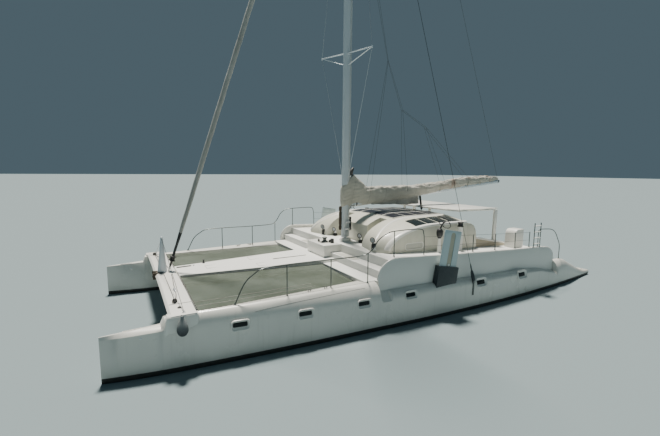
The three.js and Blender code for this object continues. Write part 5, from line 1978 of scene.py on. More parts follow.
        # Black base under the cowl: painted shade.
        base = turned(f"vent_base_{number}", [(0.095, -0.14), (0.098, 0.03), (0.09, 0.045), (0.07, 0.085),
            (0.058, 0.095)], 28, (x, y, z))
        dressed(base, Finishes.black)
        top = z + high
        path = catmull([(x, y, z + 0.09), (x, y, top - 0.14), (x + 0.015, y + 0.006, top - 0.095),
            (x + 0.05, y + 0.02, top - 0.075), (x + 0.095, y + 0.038, top - 0.078)], 5)
        radii = [*spread(0.052, 0.056, len(path))[:-4], 0.064, 0.078, 0.09, 0.098]
        dressed(tube(f"vent_cowl_{number}", path, radii, 28), Finishes.stainless)
        place = local_frame(path[-1], path[-1] - path[-2], (0, 0, 1))
        mouth = turned(f"vent_mouth_{number}", [(0.086, 0.0), (0.08, 0.004), (0.0, -0.02)], 28, place)
        dressed(mouth, Finishes.spar)
        ring = on_surface(circle(32), place, 0.004, 0.092)
        dressed(tube(f"vent_ring_{number}", ring, 0.015, 10, closed=True), Finishes.black)


def sheave_block(name: str, place: Sequence[float], axle: Point, body: str, size: float) -> Piece:
    """Pulley block: two cheeks, a sheave and a strap.

    Args:
        name: Piece name.
        place: Middle of the sheave.
        axle: Direction of its axle.
        body: Body it rides on.
        size: Radius of the cheeks.

    Returns:
        The block.
    """
    here = local_frame(place, axle, (0, 0, 1))
    outline = [(size * 1.25 * c, size * 0.85 * s) for c, s in circle(20)]
    pieces = [stacked("cheek", outline, here, ((s * size * 0.3,), (s * size * 0.48, 0.86))) for s in (-1, 1)]
    profile = ((0.2, -0.26), (0.8, -0.26), (0.68, 0), (0.8, 0.26), (0.2, 0.26))
    pieces.append(turned("sheave", [(size * r, size * z) for r, z in profile], 20, here))
    pieces.append(tube("axle", [here @ Vector((0, 0, s * size * 0.55)) for s in (-1, 1)], size * 0.16, 10))
    return dressed(joined(name, pieces), Finishes.black, body)


@dataclass
class Coachroof:
    """Domed cabin shell with rounded fronts, roof panes, windows, door and solar panels.

    Columns of a row: half width, front foot x, start of the flat roof x, roof z.
    """

    rows: tuple[Row, ...] = ((2.95, 1.42, -0.9, 2.92), (2.52, 1.86, -0.62, 3.0), (1.9, 1.7, -0.56, 3.105),
        (0.9, 1.45, -0.5, 3.17), (0.0, 1.45, -0.5, 3.17))
    rear: float = -2.55
    shell: float = 0.07
    arch_steps: int = 30
    door_half: float = 0.43
    bay_x: float = 1.0
    bay_half: float = 0.96
    wing_x: float = 0.35
    wing_half: float = 1.42
    bay_low: float = 1.4
    bay_end: Flat = (3.0, 4.0)
    panes: tuple[Flat, ...] = ((0.05, -0.56), (-0.595, -1.165), (-1.2, -1.78), (-1.815, -2.42))
    pane_inner: tuple[Flat, ...] = ((0.05, 2.11), (-2.42, 1.83))
    pane_outer: float = 2.78

    def build(self) -> None:
        """Builds the cabin."""
        self.skin()
        for side in Side:
            self.roof_panes(side)
            self.side_window(side)
            self.rear_window(side)
            self.arch_rim(side)
            self.front_ridge(side)
        self.door()
        self.panels()
        LOG.info("coachroof")

    def row_at(self, y: float) -> Row:
        """Front foot, start of the flat roof and roof height at a distance from the centre plane.

        Args:
            y: Distance from the centre plane.

        Returns:
            The three values.
        """
        ys = [row[0] for row in self.rows]

        def straight(at: float) -> list[float]:
            """Values between the two rows about a place.

            Args:
                at: Distance from the centre plane.

            Returns:
                The three values there.
            """
            at = min(abs(at), ys[0])
            k = next(i for i in range(len(ys) - 1) if at >= ys[i + 1])
            t = (ys[k] - at) / (ys[k] - ys[k + 1])
            return [mix(a, b, t) for a, b in zip(self.rows[k][1:], self.rows[k + 1][1:])]

        near = [straight(abs(y) + away) for away in (-0.045, 0.0, 0.045)]
        return tuple(sum(values) / len(near) for values in zip(*near))

    def surface(self, x: float, y: float, lift: float = 0.0) -> Vector:
        """Point of the outer skin above a place.

        Args:
            x: Place along the boat.
            y: Place across the boat.
            lift: Distance off the skin.

        Returns:
            The point.
        """
        foot, flat, top = self.row_at(y)
        base = WALL.deck_z(foot)
        if x <= flat:
            return Vector((x, y, top + lift))
        a = math.acos(min(1.0, (x - flat) / (foot - flat)))
        normal = Vector(((x - flat) / (foot - flat) ** 2, 0, math.sin(a) / (top - base))).normalized()
        return Vector((x, y, base + (top - base) * math.sin(a))) + normal * lift

    def form(self, name: str, inset: float, drop: float) -> Piece:
        """Closed form of the cabin, inset from its outside.

        Args:
            name: Piece name.
            inset: Distance from the cabin's outside.
            drop: How far it reaches below the deck.

        Returns:
            The form, with the recesses round the mast cut out.
        """
        edge = self.rows[0][0] - inset
        ys = [edge * math.sin(math.pi / 2 * k / 22) for k in range(-22, 23)]
        rings = []
        for y in reversed(ys):
            foot, flat, top = self.row_at(y)
            base = WALL.deck_z(foot) - drop
            ring = []
            for i in range(self.arch_steps + 1):
                a = math.pi / 2 * i / self.arch_steps
                ring.append((flat + (foot - inset - flat) * math.cos(a), y,
                    base + (top - inset - base) * math.sin(a)))
            back = self.rear + inset
            ring += [(mix(flat, back, 0.5), y, top - inset), (back, y, top - inset),
                (back, y, WALL.deck_z(back) - drop)]
            rings.append(ring)
        half, (end, top) = self.bay_half - inset, self.bay_end
        boxes = [block("bay", (self.bay_x - inset, -half, self.bay_low), (end, half, top))]
        boxes += [side_block("bay", side, (self.wing_x - inset, self.bay_half - inset * 0.999, self.bay_low),
            (end, self.wing_half + inset, top), 0.0) for side in Side]
        return carve(loft(name, rings), boxes)

    def skin(self) -> None:
        """Outer shell with its openings."""
        outer = soften(self.form("coachroof_skin", 0.0, -0.0003), 0.03, 3, 50)
        inner = self.form("inside", self.shell, 0.2)
        tools = [inner]
        for side in Side:
            for number in range(len(self.panes)):
                outline = [side.put(a, b, 2.6) for a, b in self.pane_outline(number, 1.0)]
                tools.append(plate("opening", outline, Vector((0, 0, 0.8))))
            window = [(0.25 + a, 2.205 + b) for a, b in rounded_outline(0.84, 0.215, 0.07, 5)]
            tools.append(plate("opening", [side.put(a, 2.8, b) for a, b in window], Vector((0, 0.3 * side.value, 0))))
            pane = [(1.35 + a, 2.49 + b) for a, b in rounded_outline(1.2, 0.68, 0.08, 5)]
            tools.append(plate("opening", [side.put(-2.7, a, b) for a, b in pane], Vector((0.3, 0, 0))))
        door = [(a, 1.93 + b) for a, b in rounded_outline(self.door_half * 2, 1.86, 0.06, 5)]
        tools.append(plate("opening", [(-2.7, a, b) for a, b in door], Vector((0.3, 0, 0))))
        tidy_normals(carve(outer, tools), 38)
        # The cabin skin takes the darker copy of the gelcoat, which paints its shade.
        dressed(outer, Finishes.shell)
        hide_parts("coachroof")

    def pane_outline(self, number: int, scale: float) -> list[Flat]:
        """Outline of one roof pane, seen from above, port side.

        Args:
            number: Number of the pane.
            scale: Size against the pane's own.

        Returns:
            Points of the outline.
        """
        fore, aft = self.panes[number]
        (x0, y0), (x1, y1) = self.pane_inner
        points = []
        for a, b in rounded_outline(scale, scale, 0.07 * scale, 5):
            x = mix(aft, fore, a + 0.5)
            points.append((x, mix(mix(y0, y1, (x - x0) / (x1 - x0)), self.pane_outer, b + 0.5)))
        return points

    def roof_panes(self, side: Side) -> None:
        """Smoked panes let into the roof's slope.

        Args:
            side: Side of the boat.
        """
        for number in range(len(self.panes)):
            rings = []
            for scale, lift in ((0.994, -0.03), (0.994, 0.001), (0.975, 0.004), (0.5, 0.006)):
                rings.append([self.surface(a, side.value * b, lift) for a, b in self.pane_outline(number, scale)])
            pane = loft(f"roof_pane_{number + 1}_{side.label}", rings)
            dressed(pane, Finishes.glass)
            if number == 0:
                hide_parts(f"roof_glazing_{side.label}")

    def side_window(self, side: Side) -> None:
        """Pale window in the cabin's side.

        Args:
            side: Side of the boat.
        """
        place = local_frame(side.put(0.25, 2.95, 2.205), side.put(0, 1, 0), (1, 0, 0))
        outline = rounded_outline(0.83, 0.205, 0.066, 6)
        pane = stacked(f"side_pane_{side.label}", outline, place, ((-0.07,), (-0.012,), (-0.008, 0.95)))
        dressed(pane, Finishes.pale_glass)
        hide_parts(f"side_window_{side.label}")
        rim = ringed_frame(f"side_pane_rim_{side.label}", rounded_outline(0.89, 0.265, 0.09, 6), outline, place,
            0.01, 0.008)
        dressed(rim, Finishes.gelcoat)

    def rear_window(self, side: Side) -> None:
        """Broad smoked window beside the door.

        Args:
            side: Side of the boat.
        """
        place = local_frame(side.put(self.rear, 1.35, 2.49), (-1, 0, 0), (0, 1, 0))
        outline = rounded_outline(1.19, 0.67, 0.075, 6)
        pane = stacked(f"rear_pane_{side.label}", outline, place, ((-0.07,), (-0.016,), (-0.012, 0.98)))
        dressed(pane, Finishes.glass)
        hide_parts(f"rear_window_{side.label}")
        rim = ringed_frame(f"rear_pane_rim_{side.label}", rounded_outline(1.27, 0.75, 0.11, 6), outline, place,
            0.004, 0.005)
        dressed(rim, Finishes.black)

    def on_front(self, side: Side, y: float, a: float, lift: float) -> Vector:
        """Point above the rounded front, at an angle up its curve.

        Args:
            side: Side of the boat.
            y: Distance from the centre plane.
            a: Angle up the curve, in radians.
            lift: Distance off the skin.

        Returns:
            The point.
        """
        foot, flat, top = self.row_at(y)
        base = WALL.deck_z(foot)
        normal = Vector((math.cos(a) / (foot - flat), 0, math.sin(a) / (top - base))).normalized()
        return side.put(flat + (foot - flat) * math.cos(a), y, base + (top - base) * math.sin(a)) + normal * lift

    def on_roof(self, side: Side, y: float, section: Sequence[Flat]) -> list[list[Vector]]:
        """Sections of a band along the flat roof, from behind its rounded front to the stern."""
        return [[side.put(x, across, self.row_at(across)[2] + lift) for across, lift in section]
            for x in spread(self.row_at(y)[1] - 0.15, self.rear + 0.04, 8)]

    def arch_rim(self, side: Side) -> None:
        """Raised band along the arched edge of the cabin's side.

        Args:
            side: Side of the boat.
        """
        section = ((2.957, -0.03), (2.957, 0.032), (2.944, 0.050), (2.90, 0.058), (2.84, 0.052), (2.812, 0.03),
            (2.802, -0.02))
        rings = [[self.on_front(side, y, math.pi / 2 * i / 40, lift) for y, lift in section] for i in range(3, 41)]
        rings += self.on_roof(side, 2.95, section)
        dressed(loft(f"arch_band_{side.label}", rings, angle=50), Finishes.gelcoat)

    def front_ridge(self, side: Side) -> None:
        """Raised crease that climbs the rounded front and runs aft beside the panes.

        Args:
            side: Side of the boat.
        """
        section = ((-0.085, -0.02), (-0.07, 0.004), (-0.04, 0.02), (0.0, 0.025), (0.04, 0.02), (0.07, 0.004),
            (0.085, -0.02))
        rings = []
        for a in (math.pi / 2 * i / 40 for i in range(2, 41)):
            middle = mix(2.57, 1.74, math.sin(a) ** 1.4)
            rings.append([self.on_front(side, middle + away, a, lift) for away, lift in section])
        rings += self.on_roof(side, 1.74, [(1.71 + away * 0.8, lift) for away, lift in section])
        dressed(loft(f"front_ridge_{side.label}", rings, angle=60), Finishes.gelcoat)

    def door(self) -> None:
        """Sliding smoked door with a pale frame and a pull."""
        front, back = -2.601, -2.566
        low, high = 1.258, 2.89
        half = (back - front) / 2
        place = local_frame(((front + back) / 2, 0, (low + high) / 2), (-1, 0, 0), (0, 1, 0))
        outline = rounded_outline(0.94, high - low, 0.04, 4)
        inner = rounded_outline(0.80, high - low - 0.16, 0.05, 4)
        rings = [on_surface(line, place, lift) for line, lift in ((outline, -half), (outline, half), (inner, half),
            (inner, -half), (outline, -half))]
        dressed(loft("door_frame", rings, capped=False, angle=40), Finishes.gelcoat, "door")
        pane = stacked("door_pane", inner, place, ((-half * 0.4,), (half * 0.4,)))
        dressed(pane, Finishes.glass, "door")
        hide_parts("companionway_door")
        grip = catmull([(front - out, -0.42, z) for out, z in ((0.002, 1.9), (0.006, 1.93), (0.006, 2.17),
            (0.002, 2.2))], 4)
        dressed(tube("door_pull", grip, 0.006, 8), Finishes.stainless, "door")
        dressed(block("door_track", (-2.612, -0.49, 2.8906), (-2.53, 1.35, 2.934), 0.004), Finishes.stainless)

    def panels(self) -> None:
        """Four rows of thin solar panels that follow the roof."""
        long, wide, pitch = 0.60, 0.76, 0.635
        steps = 10
        number = 0
        for side in Side:
            for middle_y in (0.41, 1.2):
                for column in range(4):
                    number += 1
                    middle = 0.16 - long / 2 - pitch * column
                    cells, rim = [], []
                    for i in range(steps + 1):
                        px = middle + (long / 2 - 0.012) * (1 - 2 * i / steps)
                        cells.append([self.surface(px, side.value * (middle_y + s * (wide / 2 - 0.02)), 0.027)
                            for s in spread(-1, 1, 7)])
                        px = middle + long / 2 * (1 - 2 * i / steps)
                        rim.append([self.surface(px, side.value * (middle_y + s * wide / 2), lift) for s,
                            lift in ((-1, 0.003), (-1, 0.026), (-0.955, 0.0265), (0.955, 0.0265), (1, 0.026),
                            (1, 0.003))])
                    surface = loft(f"solar_cells_{number}", cells, capped=False, looped=False)
                    dressed(surface, Finishes.solar)
                    if number == 1:
                        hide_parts("solar_array")
                    edge = tidy_normals(loft(f"solar_edge_{number}", rim), 40)
                    dressed(edge, Finishes.gelcoat)


# ---- rig


@dataclass
class Rig:
    """Turning wing mast with its spreaders and wires, boom, shrouds, stays and running lines."""

    mast_x: float = 1.46
    mast_turn: float = 20.0
    foot_z: float = 2.2
    top_z: float = 27.5
    taper_z: float = 21.0
    chord: float = 0.48
    thick: float = 0.21
    hounds: Point = (1.79, 0.0, 21.5)
    stay_foot: Point = (8.4, 0.0, 1.605)
    spreader_tip: Point = (0.11, 1.26, 9.6)
    spreader_root: float = 9.6
    brace_root: float = 9.15
    diamond_top: float = 19.8
    diamond_foot: float = 4.3
    pin_back: float = 0.3296
    boom_rise: float = 0.098
    chain_x: float = -1.18
    shroud_head: float = 0.33

    @property
    def mast_frame(self) -> Matrix:
        """The turned mast's own axes."""
        return Matrix.Translation((self.mast_x, 0, 0)) @ Matrix.Rotation(math.radians(self.mast_turn), 4, "Z")

    def boom_z(self, x: float) -> float:
        """Height of the boom's axis."""
        return 3.56 + (1.1 - x) * self.boom_rise

    def boom_point(self, x: float, up: float = 0.0, out: float = 0.0) -> Vector:
        """Point beside the boom's axis."""
        return Vector((x, mix(-0.09, 0.0, (1.01 - x) / 9.36) + out, self.boom_z(x) + up))

    def section(self, scale: float) -> list[Flat]:
        """Wing section of the mast: round nose, fullest ahead of the middle, blunt tail.

        Args:
            scale: Size against the mast's full section.

        Returns:
            Points of the outline.
        """
        c, t = self.chord * scale, self.thick * scale
        return [(c * (0.5 * x - 0.02 * (1 - x)), t * 0.5 * (y * (1.0 + 0.16 * x - 0.14 * x * x))) for x,
            y in circle(48)]

    def build(self) -> None:
        """Builds the rig."""
        self.wing()
        self.spreaders()
        self.diamonds()
        self.gooseneck()
        self.masthead()
        self.mast_gear()
        self.boom()
        self.collar()
        for side in Side:
            self.shroud(side)
        self.running_lines()
        LOG.info("rig")

    def wing(self) -> None:
        """Mast tube with a sail groove along its tail."""
        rings = []
        for z in [self.foot_z, *spread(self.foot_z + 0.02, self.taper_z, 40),
                *spread(self.taper_z + 0.6, self.top_z, 12)]:
            size = 1.0 if z <= self.taper_z else mix(1.0, 0.62, (z - self.taper_z) / (self.top_z - self.taper_z))
            rings.append([(x, y, z) for x, y in self.section(size)])
        wing = carve(loft("wing", rings), [block("groove", (-0.262, -0.009, 2.3), (-0.238, 0.009, 20.9))])
        heel = turned("heel", [(0.07, 2.1453), (0.07, 2.21)], 32)
        made = self.on_mast(joined("mast_wing", [wing, heel], 40), Finishes.spar)
        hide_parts("mast")

    def on_mast(self, piece: Piece, finish: Finish) -> Piece:
        """Moves a piece from the mast's own axes to its place and dresses it."""
        piece.data.transform(self.mast_frame)
        return dressed(piece, finish, "mast")

    def spreaders(self) -> None:
        """Tapered spreaders with braces below them."""
        x, y, z = self.spreader_tip
        root = 0.4 * self.thick - 0.02
        for side in Side:
            pieces = []
            for start, radius, end in (((0.06, root, self.spreader_root), 0.030, 0.020),
                    ((0.04, root, self.brace_root), 0.020, 0.014)):
                rings = []
                for t in spread(0, 1, 8):
                    centre = Vector(start).lerp(Vector((x, y, z)), t)
                    r = mix(radius, end, t)
                    rings.append([centre + Vector((1.7 * r * c, 0, 0.72 * r * s)) for c, s in circle(18)])
                pieces.append(loft("arm", rings))
            pieces.append(turned("tip", [(0.0, -0.05), (0.026, -0.045), (0.032, 0), (0.026, 0.045), (0.0, 0.05)], 18,
                (x, y, z)))
            made = joined(f"spreader_{side.label}", pieces, 40)
            made.data.transform(self.mast_frame @ Matrix.Scale(side.value, 4, (0, 1, 0)))
            if side is Side.STARBOARD:
                made.data.flip_normals()
            dressed(made, Finishes.spar, "mast")

    def diamonds(self) -> None:
        """Wires that stiffen the mast over the spreaders."""
        spans = []
        x, y, z = self.spreader_tip
        root = 0.4 * self.thick - 0.02
        for s in (side.value for side in Side):
            for height in (self.diamond_top, self.diamond_foot):
                spans.append((self.mast_frame @ Vector((x, y * s, z)), self.mast_frame @ Vector(
                    (0.03, root * s, height))))
        dressed(rods("diamond_wires", spans, 0.0075), Finishes.stainless, "mast")
        for number, (tip, foot) in enumerate(spans[1::2], 1):
            way = (tip - foot).normalized()
            screw = tube(f"diamond_screw_{number}", [foot + way * d for d in (0.05, 0.07, 0.3, 0.32)],
                [0.01, 0.017, 0.017, 0.01], 12)
            dressed(screw, Finishes.stainless, "mast")

    def gooseneck(self) -> None:
        """Lugs and bolt behind the mast that hold the boom."""
        pieces = []
        for z0, z1 in ((3.424, 3.45), (3.63, 3.656)):
            outline = [(-self.pin_back - 0.034 * math.cos(a), 0.034 * math.sin(a))
                for a in (math.radians(d) for d in range(90, -91, -15))]
            outline += [(-0.235, -0.06), (-0.235, 0.06)]
            pieces.append(plate("lug", [(x, y, z0) for x, y in outline], (0, 0, z1 - z0), 0.003))
        pieces.append(turned("bolt", [(0.0, 3.405), (0.024, 3.408), (0.024, 3.42), (0.014, 3.422), (0.014, 3.658),
            (0.024, 3.66), (0.024, 3.672), (0.0, 3.675)], 20, (-self.pin_back, 0, 0)))
        pieces.append(block("plate", (-0.252, -0.052, 3.36), (-0.232, 0.052, 3.72), 0.006))
        self.on_mast(joined("gooseneck_lugs", pieces, 40), Finishes.stainless)

    def masthead(self) -> None:
        """Crane at the masthead."""
        self.on_mast(block("masthead_crane", (-0.27, -0.03, 27.44), (0.13, 0.03, 27.498), 0.008), Finishes.spar)

    def mast_gear(self) -> None:
        """Winches, a hung bag, a rolled cloth, the sail's headboard and halyards along the mast."""
        for number, (x, y, z, turn, finish) in enumerate(((0.02, 0.105, 2.84, 1, Finishes.stainless),
                (0.05, -0.105, 2.95, -1, Finishes.black), (0.06, 0.105, 2.56, 1, Finishes.stainless)), 1):
            y0, y1 = sorted((y - 0.02 * turn, y + 0.03 * turn))
            pad = block("pad", (x - 0.07, y0, z - 0.07), (x + 0.07, y1, z + 0.07), 0.01)
            drum = turned("drum", [(0.06, 0.0), (0.06, 0.02), (0.042, 0.035), (0.040, 0.085), (0.052, 0.10),
                (0.052, 0.115), (0.02, 0.13)], 26, local_frame((x, y + 0.028 * turn, z), (0, turn, 0), (1, 0, 0)))
            self.on_mast(joined(f"mast_winch_{number}", [pad, drum], 40), finish)
        self.hung_roll("mast_roll", (0.266, -0.066), 2.50, 3.50, 0.058, Finishes.brown)
        self.hung_roll("mast_bag", (-0.318, 0.0), 2.44, 3.02, 0.062, Finishes.sail_dark)
        board = [(-0.41, 4.74), (-0.25, 4.78), (-0.252, 4.9), (-0.30, 5.0), (-0.45, 5.11), (-0.50, 5.08),
            (-0.45, 4.94)]
        self.on_mast(plate("sail_headboard", [(x, -0.03, z) for x, z in board], (0, 0.08, 0), 0.012), Finishes.black)
        lines = []
        for k, (x, y, top) in enumerate(((-0.12, 0.108, 20.6), (-0.06, 0.115, 12.4), (-0.10, -0.112, 21.0),
                (-0.03, -0.116, 9.4))):
            lines.append([self.mast_frame @ Vector(p) for p in ((x, y, 2.75 + 0.12 * k), (x * 0.9, y * 0.98, top))])
        dressed(rods("mast_halyards", lines, 0.006), Finishes.rope, "mast")

    def hung_roll(self, name: str, spot: Flat, low: float, high: float, radius: float, finish: Finish) -> None:
        """Rolled cloth that hangs upright against the mast, tied at two heights.

        Args:
            name: Piece name.
            spot: Its axis in the mast's own frame.
            low: Height of its lower end.
            high: Height of its upper end.
            radius: Usual radius.
            finish: Cloth it is made of.
        """
        rings = []
        for z in spread(low, high, 44):
            t = (z - low) / (high - low)
            tie = max(math.exp(-((t - 0.2) / 0.03) ** 2), math.exp(-((t - 0.78) / 0.03) ** 2))
            size = radius * (1 - 0.28 * tie) * min(1.0, 0.55 + min(t, 1 - t) * 14)
            ring = []
            for c, s in circle(28):
                fold = 1 + 0.10 * noise.noise(Vector((c * 2.5, s * 2.5, z * 5)))
                ring.append((spot[0] + size * fold * c, spot[1] + size * fold * s, z))
            rings.append(ring)
        roll = self.on_mast(loft(name, rings), finish)

    def boom(self) -> None:
        """Round boom with its neck and eye and two dark bands."""
        start, end = self.boom_point(1.01), self.boom_point(-8.35)
        way = (end - start).normalized()
        length = (end - start).length
        ends = [(0, 0.085), (0.02, 0.104), (0.05, 0.108)]
        profile = [*ends, (length * 0.5, 0.108), *((length - d, r) for d, r in reversed(ends))]
        spar = tube("spar", [start + way * d for d, _ in profile], [r for _, r in profile], 32)
        pin = self.mast_frame @ Vector((-self.pin_back, 0, 3.54))
        eye = turned("eye", [(0.018, -0.084), (0.036, -0.084), (0.036, 0.084), (0.018, 0.084), (0.018, -0.084)], 24,
            pin)
        neck = tube("neck", [pin + Vector((-0.01, 0, 0.005)), start - way * 0.02, start + way * 0.06],
            [0.032, 0.034, 0.05], 18)
        made = joined("boom_spar", [spar, eye, neck], 40)
        dressed(made, Finishes.spar, "boom")
        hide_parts("boom")
        for number, x in enumerate((-8.22, 0.9), 1):
            band = tube(f"boom_band_{number}", [self.boom_point(x + 0.03), self.boom_point(x - 0.03)], 0.1115, 32)
            dressed(band, Finishes.black, "boom")

    def collar(self) -> None:
        """Ring round the mast that the stays hold, with its ears and swivel."""
        x, _, z = self.hounds
        ring = turned("ring", [(0.268, -0.064), (0.274, -0.07), (0.294, -0.07), (0.30, -0.064), (0.30, 0.064),
            (0.294, 0.07), (0.274, 0.07), (0.268, 0.064), (0.268, -0.064)], 64, (self.mast_x, 0, z))
        pieces = [ring, block("tang", (self.mast_x + 0.285, -0.026, z - 0.07), (x + 0.04, 0.026, z + 0.05), 0.006)]
        pieces += [side_block("ear", side, (self.mast_x - 0.06, 0.286, z - 0.06),
            (self.mast_x + 0.02, self.shroud_head, z + 0.04), 0.006) for side in Side]
        top = Vector(self.hounds)
        along = (top - Vector(self.stay_foot)).normalized()
        pieces.append(tube("swivel", [top - along * 0.124, top], 0.018, 16))
        made = joined("hounds_ring", pieces, 40)
        dressed(made, Finishes.stainless)
        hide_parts("hounds_collar")

    def shroud(self, side: Side) -> None:
        """Cap shroud with its rigging screw, boot and chain plate.

        Args:
            side: Side of the boat.
        """
        hull_side = LINES.centre + LINES.half_beam(self.chain_x) + 0.028
        foot = side.put(self.chain_x, hull_side + 0.014, 1.06)
        head = side.put(self.mast_x - 0.02, self.shroud_head - 0.0195, self.hounds[2])
        way = (head - foot).normalized()
        wire = tube("wire", [foot, head], 0.008, 10)
        screw = tube("screw", [foot + way * d for d in (0.05, 0.09, 0.12, 0.56, 0.6, 0.66)],
            [0.013, 0.024, 0.0245, 0.0245, 0.02, 0.011], 20)
        out = hull_side + 0.022
        strap = side_block("plate", side, (self.chain_x - 0.032, hull_side - 0.04, 0.56),
            (self.chain_x + 0.032, out, 1.09), 0.006)
        bolts = [turned("bolt", [(0.012, 0.0), (0.012, 0.006), (0.006, 0.009), (0.0, 0.0095)], 12,
            local_frame(side.put(self.chain_x, out, z), side.put(0, 1, 0), (1, 0, 0)))
            for z in (0.62, 0.72, 0.82, 0.92, 1.02)]
        made = joined(f"shroud_{side.label}", [wire, screw, strap, *bolts], 40)
        dressed(made, Finishes.rail)
        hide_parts(f"cap_shroud_{side.label}")
        boot = tube(f"shroud_boot_{side.label}", [foot + way * d for d in (0.03, 0.06, 0.2, 0.34, 0.42)],
            [0.046, 0.058, 0.064, 0.05, 0.028], 20)
        dressed(boot, Finishes.case)

    def running_lines(self) -> None:
        """Lazy jacks, topping lift and mainsheet."""
        for side in Side:
            s = side.value
            fork, low, after = (Vector((x, y * s, z)) for x, y, z in ((-0.58, 0.02, 9.64), (-1.43, 0.05, 7.66),
                (-2.84, 0.06, 7.0)))
            spans = [(self.mast_frame @ Vector((-0.15, 0.09 * s, 17.4)), fork), (fork, low),
                (fork, self.boom_point(0.3, 0.2, 0.19 * s)), (low, self.boom_point(-1.8, 0.2, 0.2 * s)),
                (low, after), (after, self.boom_point(-4.2, 0.25, 0.19 * s)), (after,
                self.boom_point(-6.0, 0.25, 0.16 * s))]
            self.crossing(f"lazy_jacks_{side.label}", spans, 0.0045)
        masthead = self.mast_frame @ Vector((-0.25, 0, 27.45))
        self.crossing("topping_lift", [(self.boom_point(-8.26, 0.10), masthead)], 0.0055)
        self.mainsheet()

    def crossing(self, name: str, spans: Sequence[tuple[Vector, Vector]], radius: float) -> None:
        """Lines from the mast to the boom.

        Args:
            name: Piece name.
            spans: Ends of each line.
            radius: Radius of the lines.
        """
        pieces = []
        for a, b in spans:
            steps = max(4, int((a - b).length / 0.8))
            pieces.append(tube("line", [a.lerp(b, t) for t in spread(0, 1, steps + 1)], radius, 6))
        made = coated(joined(name, pieces), Finishes.rope_dark)
        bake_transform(made)

    def mainsheet(self) -> None:
        """Eight parts of line between two blocks, held taut under the boom."""
        top = self.boom_point(-2.74, -0.17)
        low = Vector((-2.26, 0.58, 3.30))
        for name, place in (("top", top), ("low", low)):
            sheave_block(f"mainsheet_block_{name}", place, (1, 0, 0), "boom", 0.06)
        parts = [(top + Vector((dx, dy, 0)), low + Vector((dx, dy, 0))) for dx in (-0.012, 0.012)
            for dy in (-0.045, -0.015, 0.015, 0.045)]
        dressed(rods("mainsheet_parts", parts, 0.011), Finishes.rope_dark, "boom")
        hang = rods("mainsheet_strap", [(top, self.boom_point(-2.74, -0.09))], 0.012)
        dressed(hang, Finishes.stainless, "boom")


RIG = Rig()


